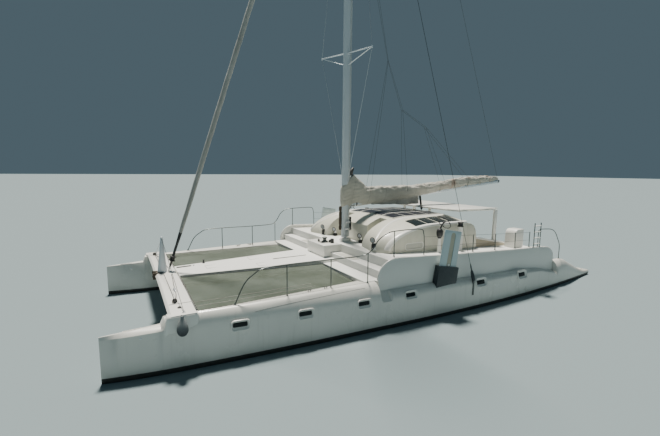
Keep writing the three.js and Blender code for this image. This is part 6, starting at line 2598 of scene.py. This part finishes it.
@dataclass
class Sails:
    """Mainsail stowed on the boom in its cover, and the furled headsail.

    Columns of the cover: x, top z, bottom z, half width, y of its middle.
    """

    cover: tuple[Row, ...] = ((1.765, 4.2, 3.56, 0.035, 0.09), (1.72, 4.33, 3.48, 0.09, 0.085),
        (1.6, 4.45, 3.46, 0.145, 0.045), (1.4, 4.6, 3.455, 0.17, -0.03), (1.2, 4.7, 3.45, 0.17, -0.085),
        (1.03, 4.8, 3.43, 0.17, -0.09), (0.86, 4.685, 3.446, 0.18, -0.089), (0.6, 4.5, 3.47, 0.19, -0.086),
        (0.33, 4.31, 3.496, 0.205, -0.084), (-0.8, 4.335, 3.608, 0.225, -0.073), (-1.7, 4.335, 3.704, 0.222, -0.064),
        (-2.6, 4.365, 3.82, 0.215, -0.055), (-4.0, 4.49, 4.005, 0.205, -0.042), (-5.5, 4.69, 4.18, 0.185, -0.027),
        (-7.4, 4.74, 4.39, 0.14, -0.009), (-8.23, 4.69, 4.475, 0.08, -0.001))
    skirt_low: tuple[Flat, ...] = ((0.12, 3.50), (-0.6, 3.485), (-1.55, 3.45), (-2.2, 3.43), (-2.62, 3.455))
    around: int = 72
    along: int = 260
    turn_from: float = 1.2
    turn_to: float = 0.8

    def build(self) -> None:
        """Builds both sails."""
        self.cover_bag()
        self.cover_skirt()
        self.headsail()
        LOG.info("sails")

    def at(self, x: float) -> Row:
        """Top, bottom, half width and middle of the cover at a place."""
        xs = [row[0] for row in self.cover]
        return tuple(smooth_value(xs, [row[c] for row in self.cover], x) for c in range(1, 5))

    def follow(self, piece: Piece, finish: Finish) -> None:
        """Dresses a piece of the cover and bakes its place into its mesh."""
        coated(piece, finish)
        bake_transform(piece)

    def cover_bag(self) -> None:
        """Sagging cover round mast and boom, with stacked wrinkles at the mast and crumples along its top."""
        rings = []
        for i in range(self.along + 1):
            x = mix(self.cover[0][0], self.cover[-1][0] + 0.005, (i / self.along) ** 0.9)
            high, low, half, y = self.at(x)
            middle, tall = (low + high) / 2, (high - low) / 2
            near = max(0.0, min(1.0, (x + 0.6) / 1.2))
            wrap = max(0.0, min(1.0, (x - 0.9) / 0.35))
            ring = []
            for c, s in circle(self.around):
                z = middle + tall * s
                wide = half * math.copysign(abs(c) ** mix(0.85, 0.5, wrap), c)
                spot = Vector((x, y + wide, z))
                up = max(0.0, s)
                lean = z * 40 + (x - 1.7) * 9
                folds = math.sin(lean + 2.4 * noise.noise(Vector((x * 1.3, c * 2, z * 2)))) * 0.010 * near * abs(c)
                rumple = noise.fractal(Vector((x * 1.6, c * 1.5 + 7, z * 3.2)), 0.8, 2.0,
                    5) * 0.030 * (1 - 0.45 * near)
                crest = noise.fractal(Vector((x * 3.2, c * 2.5, 3.3)), 0.9, 2.0, 4) * 0.045 * up * (1 - near)
                window = max(0.0, 1 - abs(x + 0.7) / 1.7) ** 0.6 * max(0.0, s + 0.15) ** 0.8
                gather = math.sin(x * 24 + 3.0 * noise.noise(Vector((x * 2.0, c, z * 2)))) * 0.013 * window
                pull = -0.014 * (0.5 + 0.5 * math.cos(2 * math.pi * x / 0.95)) ** 6 * (1 - near)
                out = Vector((0, c * tall, s * half)).normalized()
                ring.append(spot + out * (folds + rumple + crest + gather + pull - 0.010))
            rings.append(ring)
        inside = tube("inside", [RIG.boom_point(1.6), RIG.boom_point(-8.9)], 0.1095, 32)
        hole = loft("hole", [[RIG.mast_frame @ Vector((x, y, z)) for x, y in RIG.section(1.03)] for z in (3.2, 5.2)])
        bag = tidy_normals(carve(loft("mainsail_cover", rings), [inside, hole]), 70)
        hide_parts("sail_cover")
        self.follow(bag, Finishes.canvas)
        self.straps()
        self.head_seam()

    def cover_skirt(self) -> None:
        """Loose edge of the cover that hangs below the boom."""
        columns, rows = 64, 12
        xs = [row[0] for row in self.skirt_low]
        sheet = []
        for i in range(columns + 1):
            x = mix(xs[0], xs[-1], i / columns)
            _, bottom, _, middle = self.at(x)
            high = bottom + 0.035
            low = smooth_value(xs, [row[1] for row in self.skirt_low], x) + 0.014 * math.sin(x * 9) * math.sin(
                x * 3.7)
            line = []
            for k in range(rows + 1):
                t = k / rows
                wave = 0.028 * t * math.sin(x * 7.5 + 1.5 * t) + 0.012 * noise.noise(Vector((x * 4, 1.0, t * 3)))
                line.append(Vector((x, middle + 0.035 + wave, mix(high, min(low, high - 0.01), t))))
            sheet.append(line)
        skirt = loft("cover_skirt", sheet, capped=False, looped=False)
        dressed(skirt, Finishes.skirt, "boom")

    def straps(self) -> None:
        """Straps that hold the cover to the boom."""
        for number, x in enumerate((-2.95, -3.9, -4.85, -5.8, -6.75, -7.7), 1):
            top, _, half, y = self.at(x)
            low = RIG.boom_z(x) - 0.112
            middle, tall = (low + top) / 2, (top - low) / 2
            rings = []
            for dx, grow in ((-0.016, -0.004), (-0.016, 0.005), (0.016, 0.005), (0.016, -0.004), (-0.016, -0.004)):
                ring = []
                for c, s in circle(48):
                    h = (half if s > -0.4 else mix(half, 0.112, (-0.4 - s) / 0.6)) * 0.965 + grow
                    ring.append((x + dx, y + h * math.copysign(abs(c) ** 0.85, c),
                        middle + (tall * 0.985 + grow) * s))
                rings.append(ring)
            dressed(loft(f"cover_strap_{number}", rings, capped=False, angle=40), Finishes.canvas, "boom")

    def head_seam(self) -> None:
        """Bright line down the cover's sloping head."""
        path = []
        for x in spread(1.05, 0.35, 24):
            top, _, _, y = self.at(x)
            path.append((x, y, top - 0.006))
        top, _, half, y = self.at(0.33)
        path += [(0.33, y + 0.04, top - 0.02), (0.325, y + half * 0.7, top - 0.09), (0.33, y + half * 0.9, top - 0.2)]
        self.follow(tube("cover_piping", path, 0.012, 8), Finishes.sail)

    def headsail(self) -> None:
        """Sail rolled round its stay, with its dark foot, drum and swivel."""
        foot, head = Vector(RIG.stay_foot), Vector(RIG.hounds)
        way = (head - foot).normalized()
        length = (head - foot).length
        place = local_frame(foot, way, Vector((0, 1, 0)))
        profile = [(0.9, 0.046), (1.8, 0.072), (5.0, 0.088), (9.0, 0.092), (14.0, 0.080), (length - 1.5, 0.052),
            (length - 0.5, 0.026)]
        heights, radii = [p[0] for p in reversed(profile)], [p[1] for p in reversed(profile)]

        def roll(name: str, low: float, high: float, step: float) -> Piece:
            """Part of the rolled sail between two heights.

            Args:
                name: Piece name.
                low: Lower end along the stay.
                high: Upper end along the stay.
                step: Distance between rings.

            Returns:
                The rolled part.
            """
            rings = []
            for z in spread(low, high, max(4, int((high - low) / step))):
                r = smooth_value(heights, radii, min(max(z, 0.9), length - 0.5))
                ring = []
                for k in range(36):
                    a = 2 * math.pi * k / 36
                    lap = 0.5 + 0.5 * math.sin(a + z * 5.2)
                    wrinkle = noise.noise(Vector((math.cos(a) * 2, math.sin(a) * 2, z * 1.7))) * 0.05
                    edge = 1 - 0.10 * max(0.0, 1 - abs(((a + z * 5.2) / (2 * math.pi)) % 1 - 0.5) * 16)
                    ring.append(Vector((math.cos(a), math.sin(a), 0)) * r * (0.93 + 0.07 * lap + wrinkle) * edge
                        + Vector((0, 0, z)))
                rings.append(ring)
            made = loft(name, rings)
            made.data.transform(place)
            return made

        lower = roll("headsail_foot", 0.50, 1.32, 0.05)
        dressed(lower, Finishes.sail_dark, "headsail")
        body = roll("headsail_roll", 1.30, length - 0.42, 0.07)
        dressed(body, Finishes.sail, "headsail")
        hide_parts("furled_headsail")
        drum = turned("headsail_drum", [(0.0245, 0.296), (0.034, 0.13), (0.036, 0.30), (0.060, 0.326),
            (0.113, 0.336), (0.115, 0.345), (0.112, 0.352), (0.06, 0.36), (0.058, 0.46), (0.112, 0.470),
            (0.115, 0.478), (0.110, 0.486), (0.045, 0.50), (0.03, 0.52)], 36, place)
        dressed(drum, Finishes.black, "headsail")
        turns = [(0.074 + 0.003 * (i % 2), 0.364 + 0.0047 * i) for i in range(20)]
        winding = turned("furling_line_winding", [(0.058, 0.364), *turns, (0.058, 0.458)], 30, place)
        dressed(winding, Finishes.rope_dark, "headsail")
        swivel = turned("headsail_swivel", [(0.012, length - 0.44), (0.026, length - 0.42), (0.03, length - 0.36),
            (0.03, length - 0.2), (0.02, length - 0.13)], 24, place)
        dressed(swivel, Finishes.stainless, "headsail")
        dressed(tube("stay_foot_fitting", [foot - way * 0.06, foot + way * 0.285], 0.0235, 20), Finishes.stainless)


# ---- helm, cockpit and rails


@dataclass
class Helm:
    """Steering pods, wheels and deck winches on both sides."""

    pod_at: Flat = (-0.7, 3.25)
    wheel_at: Point = (-0.9, 3.25, 3.06)
    axis: Point = (-0.79, 0.0, 0.61)
    wheel_radius: float = 0.285
    winch_at: Point = (-1.89, 3.18, 2.82)

    def build(self) -> None:
        """Builds both helms."""
        for side in Side:
            self.pod(side)
            self.wheel(side)
            self.winch(side)
        LOG.info("helm")

    def pod(self, side: Side) -> None:
        """Black pod on a column, with a neck to the wheel.

        Args:
            side: Side of the boat.
        """
        x, y = self.pod_at
        base = WALL.deck_z(x + 0.09) + 0.0003 - 2.0
        column = turned(f"helm_column_{side.label}", [(0.10, base), (0.10, base + 0.012), (0.085, base + 0.02),
            (0.058, 0.3), (0.05, 0.5)], 32, side.put(x, y, 2.0))
        dressed(tidy_normals(column, 40), Finishes.gelcoat)
        profile = []
        for a in (math.pi * i / 20 for i in range(1, 20)):
            profile.append((0.122 * math.sin(a) ** 0.8 * (1 + 0.16 * -math.cos(a)), -0.2 * math.cos(a)))
        body = turned("body", profile, 32, side.put(x, y, 2.645))
        axis = Vector(self.axis).normalized()
        hub = side.put(*self.wheel_at) - axis * 0.046
        neck = tube("neck", catmull([side.put(x, y, 2.79), side.put(x - 0.05, y, 2.88), hub - axis * 0.05, hub], 5),
            0.03, 18)
        shaft = tube("shaft", [hub - axis * 0.02, side.put(*self.wheel_at)], 0.012, 16)
        made = joined(f"helm_pod_{side.label}", [body, neck, shaft], 40)
        dressed(made, Finishes.black)
        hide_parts(f"helm_console_{side.label}")
        glass = turned(f"compass_{side.label}", [(0.062, -0.01), (0.066, 0.01), (0.056, 0.035), (0.03, 0.052),
            (0.0, 0.057)], 28, local_frame(side.put(x - 0.1, y, 2.72), (-0.8, 0, 0.6), (0, 1, 0)))
        dressed(glass, Finishes.glass)

    def wheel(self, side: Side) -> None:
        """Wheel with a bound rim and three spokes.

        Args:
            side: Side of the boat.
        """
        rim = tube("rim", [(self.wheel_radius * c, self.wheel_radius * s, 0) for c, s in circle(96)],
            [0.0148 + 0.0008 * (k % 2) for k in range(96)], 14, closed=True)
        spokes = []
        for k in range(3):
            a = math.pi / 2 + 2 * math.pi * k / 3
            way = Vector((math.cos(a), math.sin(a), 0))
            spokes.append(tube("spoke", [way * d for d in (0.03, 0.08, 0.2, self.wheel_radius)],
                [0.013, 0.010, 0.009, 0.011], 12))
        hub = turned("hub", [(0.0135, 0.0), (0.0135, -0.028), (0.036, -0.028), (0.038, 0.0), (0.036, 0.026),
            (0.0, 0.028)], 30)
        made = joined(f"wheel_{side.label}", [rim, *spokes, hub], 45)
        turn = Vector((0, 0, 1)).rotation_difference(Vector(self.axis).normalized())
        made.data.transform(Matrix.Translation(side.put(*self.wheel_at)) @ turn.to_matrix().to_4x4())
        dressed(made, Finishes.black, f"wheel_{side.label}")
        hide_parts(f"helm_wheel_{side.label}")

    def winch(self, side: Side) -> None:
        """Two-speed winch on a pedestal.

        Args:
            side: Side of the boat.
        """
        x, y, z = self.winch_at
        base = WALL.deck_z(x + 0.12) + 0.0003 - z
        pedestal = turned(f"winch_stand_{side.label}", [(0.118, base), (0.118, base + 0.015), (0.112, base + 0.025),
            (0.095, -0.02), (0.098, -0.006), (0.03, -0.006), (0.03, 0.07)], 40, side.put(x, y, z))
        dressed(pedestal, Finishes.gelcoat)
        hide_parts(f"winch_pedestal_{side.label}")
        profile = [(0.0305, 0.0), (0.118, 0.0), (0.118, 0.03), (0.112, 0.038), (0.1, 0.052), (0.094, 0.07)]
        profile += [(0.0945 + 0.0012 * (i % 2), 0.074 + 0.005 * i) for i in range(12)]
        profile += [(0.1, 0.142), (0.114, 0.158), (0.117, 0.168), (0.117, 0.178), (0.085, 0.188), (0.03, 0.195),
            (0.0, 0.197)]
        drum = turned(f"winch_drum_{side.label}", profile, 44, side.put(x, y, z))
        dressed(drum, Finishes.black, f"winch_{side.label}")
        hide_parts(f"deck_winch_{side.label}")


@dataclass
class Cockpit:
    """Rigid roof, cushions, stern seats and coamings."""

    roof_low: float = 3.3
    roof_high: float = 3.38
    bench_z: float = 1.66

    def build(self) -> None:
        """Builds the cockpit."""
        self.roof()
        for side in Side:
            self.cushion(side)
            self.seat(side)
            self.coaming(side)
        LOG.info("cockpit")

    def roof(self) -> None:
        """Slab on two broad legs aft and two short posts ahead."""
        corners = [(-2.44, 1.9), (-2.6, 2.45), (-4.65, 2.68), (-4.86, 2.48)]
        outline = corners + [(x, -y) for x, y in reversed(corners)]
        slab = plate("slab", [(x, y, self.roof_low) for x, y in outline], (0, 0, self.roof_high - self.roof_low))
        pieces = [soften(slab, 0.034, 5, 20)]
        under = self.roof_low + 0.02
        gutter = ((-2.47, 1.88), (-2.62, 2.41), (-4.64, 2.64), (-4.83, 2.46))
        for side in Side:
            leg = ((-4.61, WALL.deck_z(-4.61)), (-4.79, WALL.deck_z(-4.79)), (-4.83, under), (-4.64, under))
            pieces.append(plate("leg", [side.put(x, 2.555, z) for x, z in leg], side.put(0, 0.09, 0), 0.02, 4))
            pieces.append(side_block("post", side, (-2.54, 0.79, 3.1703), (-2.46, 0.91, under), 0.018))
        made = joined("cockpit_roof", pieces, 40)
        dressed(made, Finishes.gelcoat)
        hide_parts("hard_bimini")
        for side in Side:
            path = catmull([side.put(x, y, self.roof_high + 0.001) for x, y in gutter], 6)
            dressed(tube(f"roof_gutter_{side.label}", path, 0.008, 8), Finishes.shell)

    def cushion(self, side: Side) -> None:
        """Three crowned seat pads along the bench.

        Args:
            side: Side of the boat.
        """
        for number, (x0, x1) in enumerate(((-2.96, -3.82), (-3.85, -4.70), (-4.73, -5.59)), 1):
            pad = self.pad(f"seat_pad_{number}_{side.label}", x1, x0, 1.905, 2.465, side)
            if number == 1:
                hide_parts(f"cockpit_cushion_{side.label}")

    def pad(self, name: str, x0: float, x1: float, y0: float, y1: float, side: Side) -> Piece:
        """Crowned pad whose sides pull in between its corners.

        Args:
            name: Piece name.
            x0: After end.
            x1: Forward end.
            y0: Inner edge, given for port.
            y1: Outer edge, given for port.
            side: Side of the boat.

        Returns:
            The pad.
        """
        low, high = self.bench_z + 0.001, self.bench_z + 0.099
        count = 26
        points, faces = [], []
        for top in (False, True):
            for u in (2 * i / count - 1 for i in range(count + 1)):
                for w in (2 * k / count - 1 for k in range(count + 1)):
                    x = mix(x0, x1, (u * (1 - 0.012 * (1 - w * w)) + 1) / 2)
                    y = mix(y0, y1, (w * (1 - 0.02 * (1 - u * u)) + 1) / 2)
                    edge = min(1.0, (1 - abs(u)) / 0.10) ** 0.5 * min(1.0, (1 - abs(w)) / 0.14) ** 0.5
                    crown = 0.5 + 0.5 * ((1 - u * u) * (1 - w * w)) ** 0.5
                    ripple = noise.noise(Vector((x * 5, y * 5, 1.0))) * 0.004
                    z = mix(low + 0.05, high, edge * crown) + ripple * edge if top else mix(low + 0.045, low, edge)
                    points.append(side.put(x, y, z))
        n = count + 1
        for i in range(count):
            for k in range(count):
                a = i * n + k
                faces.append((a, a + 1, a + n + 1, a + n))
                b = a + n * n
                faces.append((b, b + n, b + n + 1, b + 1))
        rim = [i * n for i in range(n)] + [(n - 1) * n + k for k in range(1, n)]
        rim += [i * n + n - 1 for i in range(n - 2, -1, -1)] + [k for k in range(n - 2, 0, -1)]
        for a, b in zip(rim, rim[1:] + rim[:1]):
            faces.append((a, b, b + n * n, a + n * n))
        pad = tidy_normals(mesh_object(name, points, faces), 80)
        dressed(pad, Finishes.cushion)
        loop = [pad.data.vertices[i].co.lerp(pad.data.vertices[i + n * n].co, 0.5) for i in rim[::2]]
        piping = tube(f"{name}_piping", loop, 0.005, 6, closed=True)
        dressed(piping, Finishes.sail)
        return pad

    def seat(self, side: Side) -> None:
        """Rounded seat box at the after end of the side deck."""
        made = softened_node(f"stern_seat_{side.label}", f"stern_seat_skin_{side.label}", 0.03, 4)
        dressed(made, Finishes.gelcoat)

    def coaming(self, side: Side) -> None:
        """Pale brown facing and white edge on the cockpit's side.

        Args:
            side: Side of the boat.
        """
        aft = WALL.deck_z(-5.64) + 0.062
        low = [(x, WALL.deck_z(x) + 0.02) for x in (-5.63, -2.57)]
        for name, y, push in (("outer", 2.8302, 0.012), ("inner", 2.7498, -0.012)):
            outline = [side.put(x, y, z) for x, z in [(-2.57, 2.33 - 0.03), (-5.63, aft - 0.03), *low]]
            facing = plate(f"coaming_{name}_{side.label}", outline, side.put(0, push, 0), 0.004)
            dressed(facing, Finishes.coaming)
        foot = WALL.deck_z(-2.9)
        shape = [(-2.52, 2.90), (-2.76, 2.87), (-2.97, 2.76), (-3.09, 2.55), (-3.13, 2.3), (-3.15, foot),
            (-2.52, foot)]
        wing = plate(f"cabin_wing_{side.label}", [side.put(x, 2.872, z) for x, z in shape], side.put(0, 0.076, 0),
            0.012, 3)
        dressed(wing, Finishes.shell)
        line = ((-2.57, 2.33), (-4.1, mix(2.33, aft, 0.5)), (-5.63, aft))
        edge = tube(f"coaming_edge_{side.label}", [side.put(x, 2.79, z - 0.004) for x, z in line], 0.045, 14)
        dressed(edge, Finishes.gelcoat)


@dataclass
class Rails:
    """Guard rails, lifelines, stern rails, boarding ladder and bow fender."""

    tube_radius: float = 0.017
    ladder_x: float = -5.29
    ladder_half: float = 0.21
    ladder_z: float = 1.88
    ladder_long: float = 1.01
    fender_at: Point = (8.56, 4.112, 0.94)

    def build(self) -> None:
        """Builds rails, ladder and fender."""
        for side in Side:
            self.side_rail(side)
            self.stern_rail(side)
        self.ladder()
        self.fender()
        LOG.info("rails")

    def cap_y(self, x: float) -> float:
        """Y of the posts on the cap rail, port side."""
        return LINES.wall_outer(x) - 0.105

    def bent_rail(self, side: Side, route: Sequence[Sequence[float]]) -> Piece:
        """Tube bent through points that are given for port."""
        return tube("rail", catmull([side.put(*p) for p in route], 8), self.tube_radius, 14)

    def foot(self, spot: Vector, sink: float) -> Piece:
        """Round foot of a post, sunk a little into what carries it."""
        return turned("foot", [(0.04, -sink), (0.04, 0.006), (0.024, 0.014), (0.021, 0.05)], 20, spot)

    def side_rail(self, side: Side) -> None:
        """Bent tube on posts, then lifelines on stanchions.

        Args:
            side: Side of the boat.
        """
        deck = LINES.top_point
        high = 3.06
        route = [(7.218, 3.815, deck(7.218, 3.815, side).z), (6.954, 3.8, 1.958), (6.676, 3.785, 2.193),
            (6.4, 3.78, 2.312), (5.72, 3.78, 2.338), (4.3, 3.79, 2.328), (3.3, 3.89, 2.348), (2.98, 4.01, 2.51),
            (2.74, 4.06, 2.84), (2.4, 4.09, 3.03)]
        route += [(x, self.cap_y(x), z) for x, z in ((2.0, high), (1.08, high), (0.91, 2.9), (0.87, 2.5),
            (0.87, WALL.cap_z(0.87) + 0.044))]
        pieces = [self.bent_rail(side, route)]
        posts = [(x, y, deck(x, y, side).z, z) for x, y, z in ((5.72, 3.78, 2.338), (4.3, 3.79, 2.328),
            (3.085, 3.975, 2.44))]
        wires = (-1.5, -2.75, -4.0, -5.0)
        stands = [(2.11, high), *((x, WALL.cap_z(x) + 0.68) for x in wires)]
        posts += [(x, self.cap_y(x), WALL.cap_z(x) + 0.041, z) for x, z in stands]
        for x, y, z0, z1 in posts:
            pieces.append(tube("post", [side.put(x, y, z0 - 0.004), side.put(x, y, z1)], self.tube_radius, 14))
        pieces += [self.foot(side.put(*spot[:3]), 0.008) for spot in (route[0], *posts)]
        stops = (0.87, *wires)
        for span in zip(stops, stops[1:]):
            for up in (0.34, 0.66):
                pieces.append(tube("line", [side.put(x, self.cap_y(x), WALL.cap_z(x) + up) for x in span], 0.005, 8))
        made = joined(f"guard_rail_{side.label}", pieces, 40)
        dressed(made, Finishes.rail)
        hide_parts(f"side_rail_{side.label}")

    def stern_rail(self, side: Side) -> None:
        """Tube that bends round the hull's after quarter.

        Args:
            side: Side of the boat.
        """
        y = LINES.wall_outer(-5.6) - 0.06
        foot = LINES.top_point(-7.42, 3.995, Side.PORT)
        route = [(-5.6, y, WALL.cap_z(-5.6) + 0.041), (-5.6, y, 2.42), (-5.68, y, 2.56), (-6.1, 4.09, 2.56),
            (-6.6, 4.06, 2.5), (-6.93, 4.03, 2.35), (-7.17, 4.01, 2.09), (-7.38, 4.0, 1.78), (-7.42, 3.997, 1.55),
            (-7.42, 3.995, 1.3), tuple(foot)]
        feet = [self.foot(side.put(*route[i]) - Vector((0, 0, 0.001)), 0.0) for i in (0, -1)]
        made = joined(f"quarter_rail_{side.label}", [self.bent_rail(side, route), *feet], 40)
        dressed(made, Finishes.rail)
        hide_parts(f"stern_rail_{side.label}")

    def ladder(self) -> None:
        """Folding ladder with rounded treads on its pin."""
        y = LINES.wall_outer(self.ladder_x) + 0.062
        place = Matrix.Translation((self.ladder_x, y, self.ladder_z))
        heights = (-0.016, 0.0, 0.5, self.ladder_long - 0.01, self.ladder_long)
        stiles = [tube("stile", [(x, 0, z) for z in heights], [0.014, 0.019, 0.019, 0.019, 0.012], 18)
            for x in (-self.ladder_half, self.ladder_half)]
        made = joined("ladder_stiles", stiles, 40)
        made.data.transform(place)
        dressed(made, Finishes.rail, "ladder")
        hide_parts("boarding_ladder")
        for number, z in enumerate((0.12, 0.37, 0.62, 0.87), 1):
            tread = block(f"ladder_tread_{number}", (-0.208, -0.045, z), (0.208, 0.045, z + 0.026), 0.009, 4)
            tread.data.transform(place)
            dressed(tread, Finishes.gelcoat, "ladder")
        dressed(softened_node("ladder_bracket", "ladder_bracket_skin", 0.002), Finishes.stainless)

    def fender(self) -> None:
        """Teardrop fender on its lanyard at the beam's port end."""
        x, y, z = self.fender_at
        knots = [(0.03, 0.053), (0.058, 0.064), (0.092, 0.091), (0.118, 0.132), (0.132, 0.178), (0.136, 0.224),
            (0.131, 0.27), (0.118, 0.316), (0.094, 0.38), (0.064, 0.442), (0.047, 0.486), (0.037, 0.52),
            (0.034, 0.535), (0.036, 0.545), (0.03, 0.56), (0.0, 0.565)]
        body = turned("fender_body", knots, 40, (x, y, z))
        dressed(body, Finishes.rubber)
        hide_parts("bow_fender")
        path = catmull([(x, y, 1.5), (x, y - 0.02, 1.515), (x, y - 0.09, 1.485), (x, 3.955, 1.455)], 6)
        dressed(tube("fender_lanyard", path, 0.008, 10), Finishes.rope_dark)


@dataclass
class Studio:
    """Camera, floor at the waterline and soft light."""

    camera_at: Point = (9.69390245, 13.2139944, 4.95309936)
    focal_pixels: float = 371.541789
    yaw: float = -2.08645856
    pitch: float = 0.126108798
    roll: float = 0.00799143762
    frame_width: float = 660.0
    sensor: float = 36.0
    view_end: float = 2000.0
    floor_half: float = 420.0
    floor_colour: Colour = (0.215, 0.275, 0.29)
    floor_roughness: float = 0.9
    sun_strength: float = 7.0
    sun_spread: float = 8.0
    sun_colour: Colour = (1.0, 0.955, 0.87)
    sky_colour: Colour = (0.46, 0.70, 0.84)
    sky_strength: float = 0.17
    sun_way: Point = (-0.08, -0.32, 1.0)

    def build(self) -> None:
        """Builds the studio."""
        self.camera()
        self.floor()
        self.lights()

    def camera(self) -> None:
        """Camera at the photograph's place and angle."""
        cy, sy = math.cos(self.yaw), math.sin(self.yaw)
        cp, sp = math.cos(self.pitch), math.sin(self.pitch)
        forward = Vector((cy * cp, sy * cp, -sp))
        right = Vector((sy, -cy, 0))
        up = right.cross(forward)
        cr, sr = math.cos(self.roll), math.sin(self.roll)
        across = right * cr + up * sr
        above = up * cr - right * sr
        data = bpy.data.cameras.new("photo_camera")
        data.sensor_width = self.sensor
        data.sensor_fit = "HORIZONTAL"
        data.lens = self.focal_pixels * self.sensor / self.frame_width
        data.clip_end = self.view_end
        made = linked("photo_camera", data)
        axes = Matrix((across, above, -forward)).transposed().to_4x4()
        made.matrix_world = Matrix.Translation(self.camera_at) @ axes
        bpy.context.scene.camera = made

    def floor(self) -> None:
        """Plain pale floor at the waterline."""
        h = self.floor_half
        floor = mesh_object("studio_floor", [(-h, -h, 0), (h, -h, 0), (h, h, 0), (-h, h, 0)], [(0, 1, 2, 3)])
        paint = bpy.data.materials.new("studio_floor_paint")
        paint.use_nodes = True
        shader = paint.node_tree.nodes["Principled BSDF"]
        shader.inputs["Base Color"].default_value = (*self.floor_colour, 1)
        shader.inputs["Roughness"].default_value = self.floor_roughness
        floor.data.materials.append(paint)

    def lights(self) -> None:
        """Soft high key from starboard and an even pale surround."""
        data = bpy.data.lights.new("key_light", "SUN")
        data.energy = self.sun_strength
        data.angle = math.radians(self.sun_spread)
        data.color = self.sun_colour
        lamp = linked("key_light", data)
        lamp.rotation_mode = "QUATERNION"
        lamp.rotation_quaternion = Vector(self.sun_way).to_track_quat("Z", "Y")
        world = bpy.data.worlds.new("surround")
        world.use_nodes = True
        back = world.node_tree.nodes["Background"]
        back.inputs["Color"].default_value = (*self.sky_colour, 1)
        back.inputs["Strength"].default_value = self.sky_strength
        bpy.context.scene.world = world


def main() -> None:
    """Builds the boat and its studio in order."""
    logging.basicConfig(level=logging.INFO)
    Studio().build()
    for part in (Hulls(), SideWalls(), SideBoards(), UnderwaterGear(), Foredeck(), Coachroof(), RIG, Sails(), Helm(),
            Cockpit(), Rails()):
        part.build()


if __name__ == "__main__":
    main()
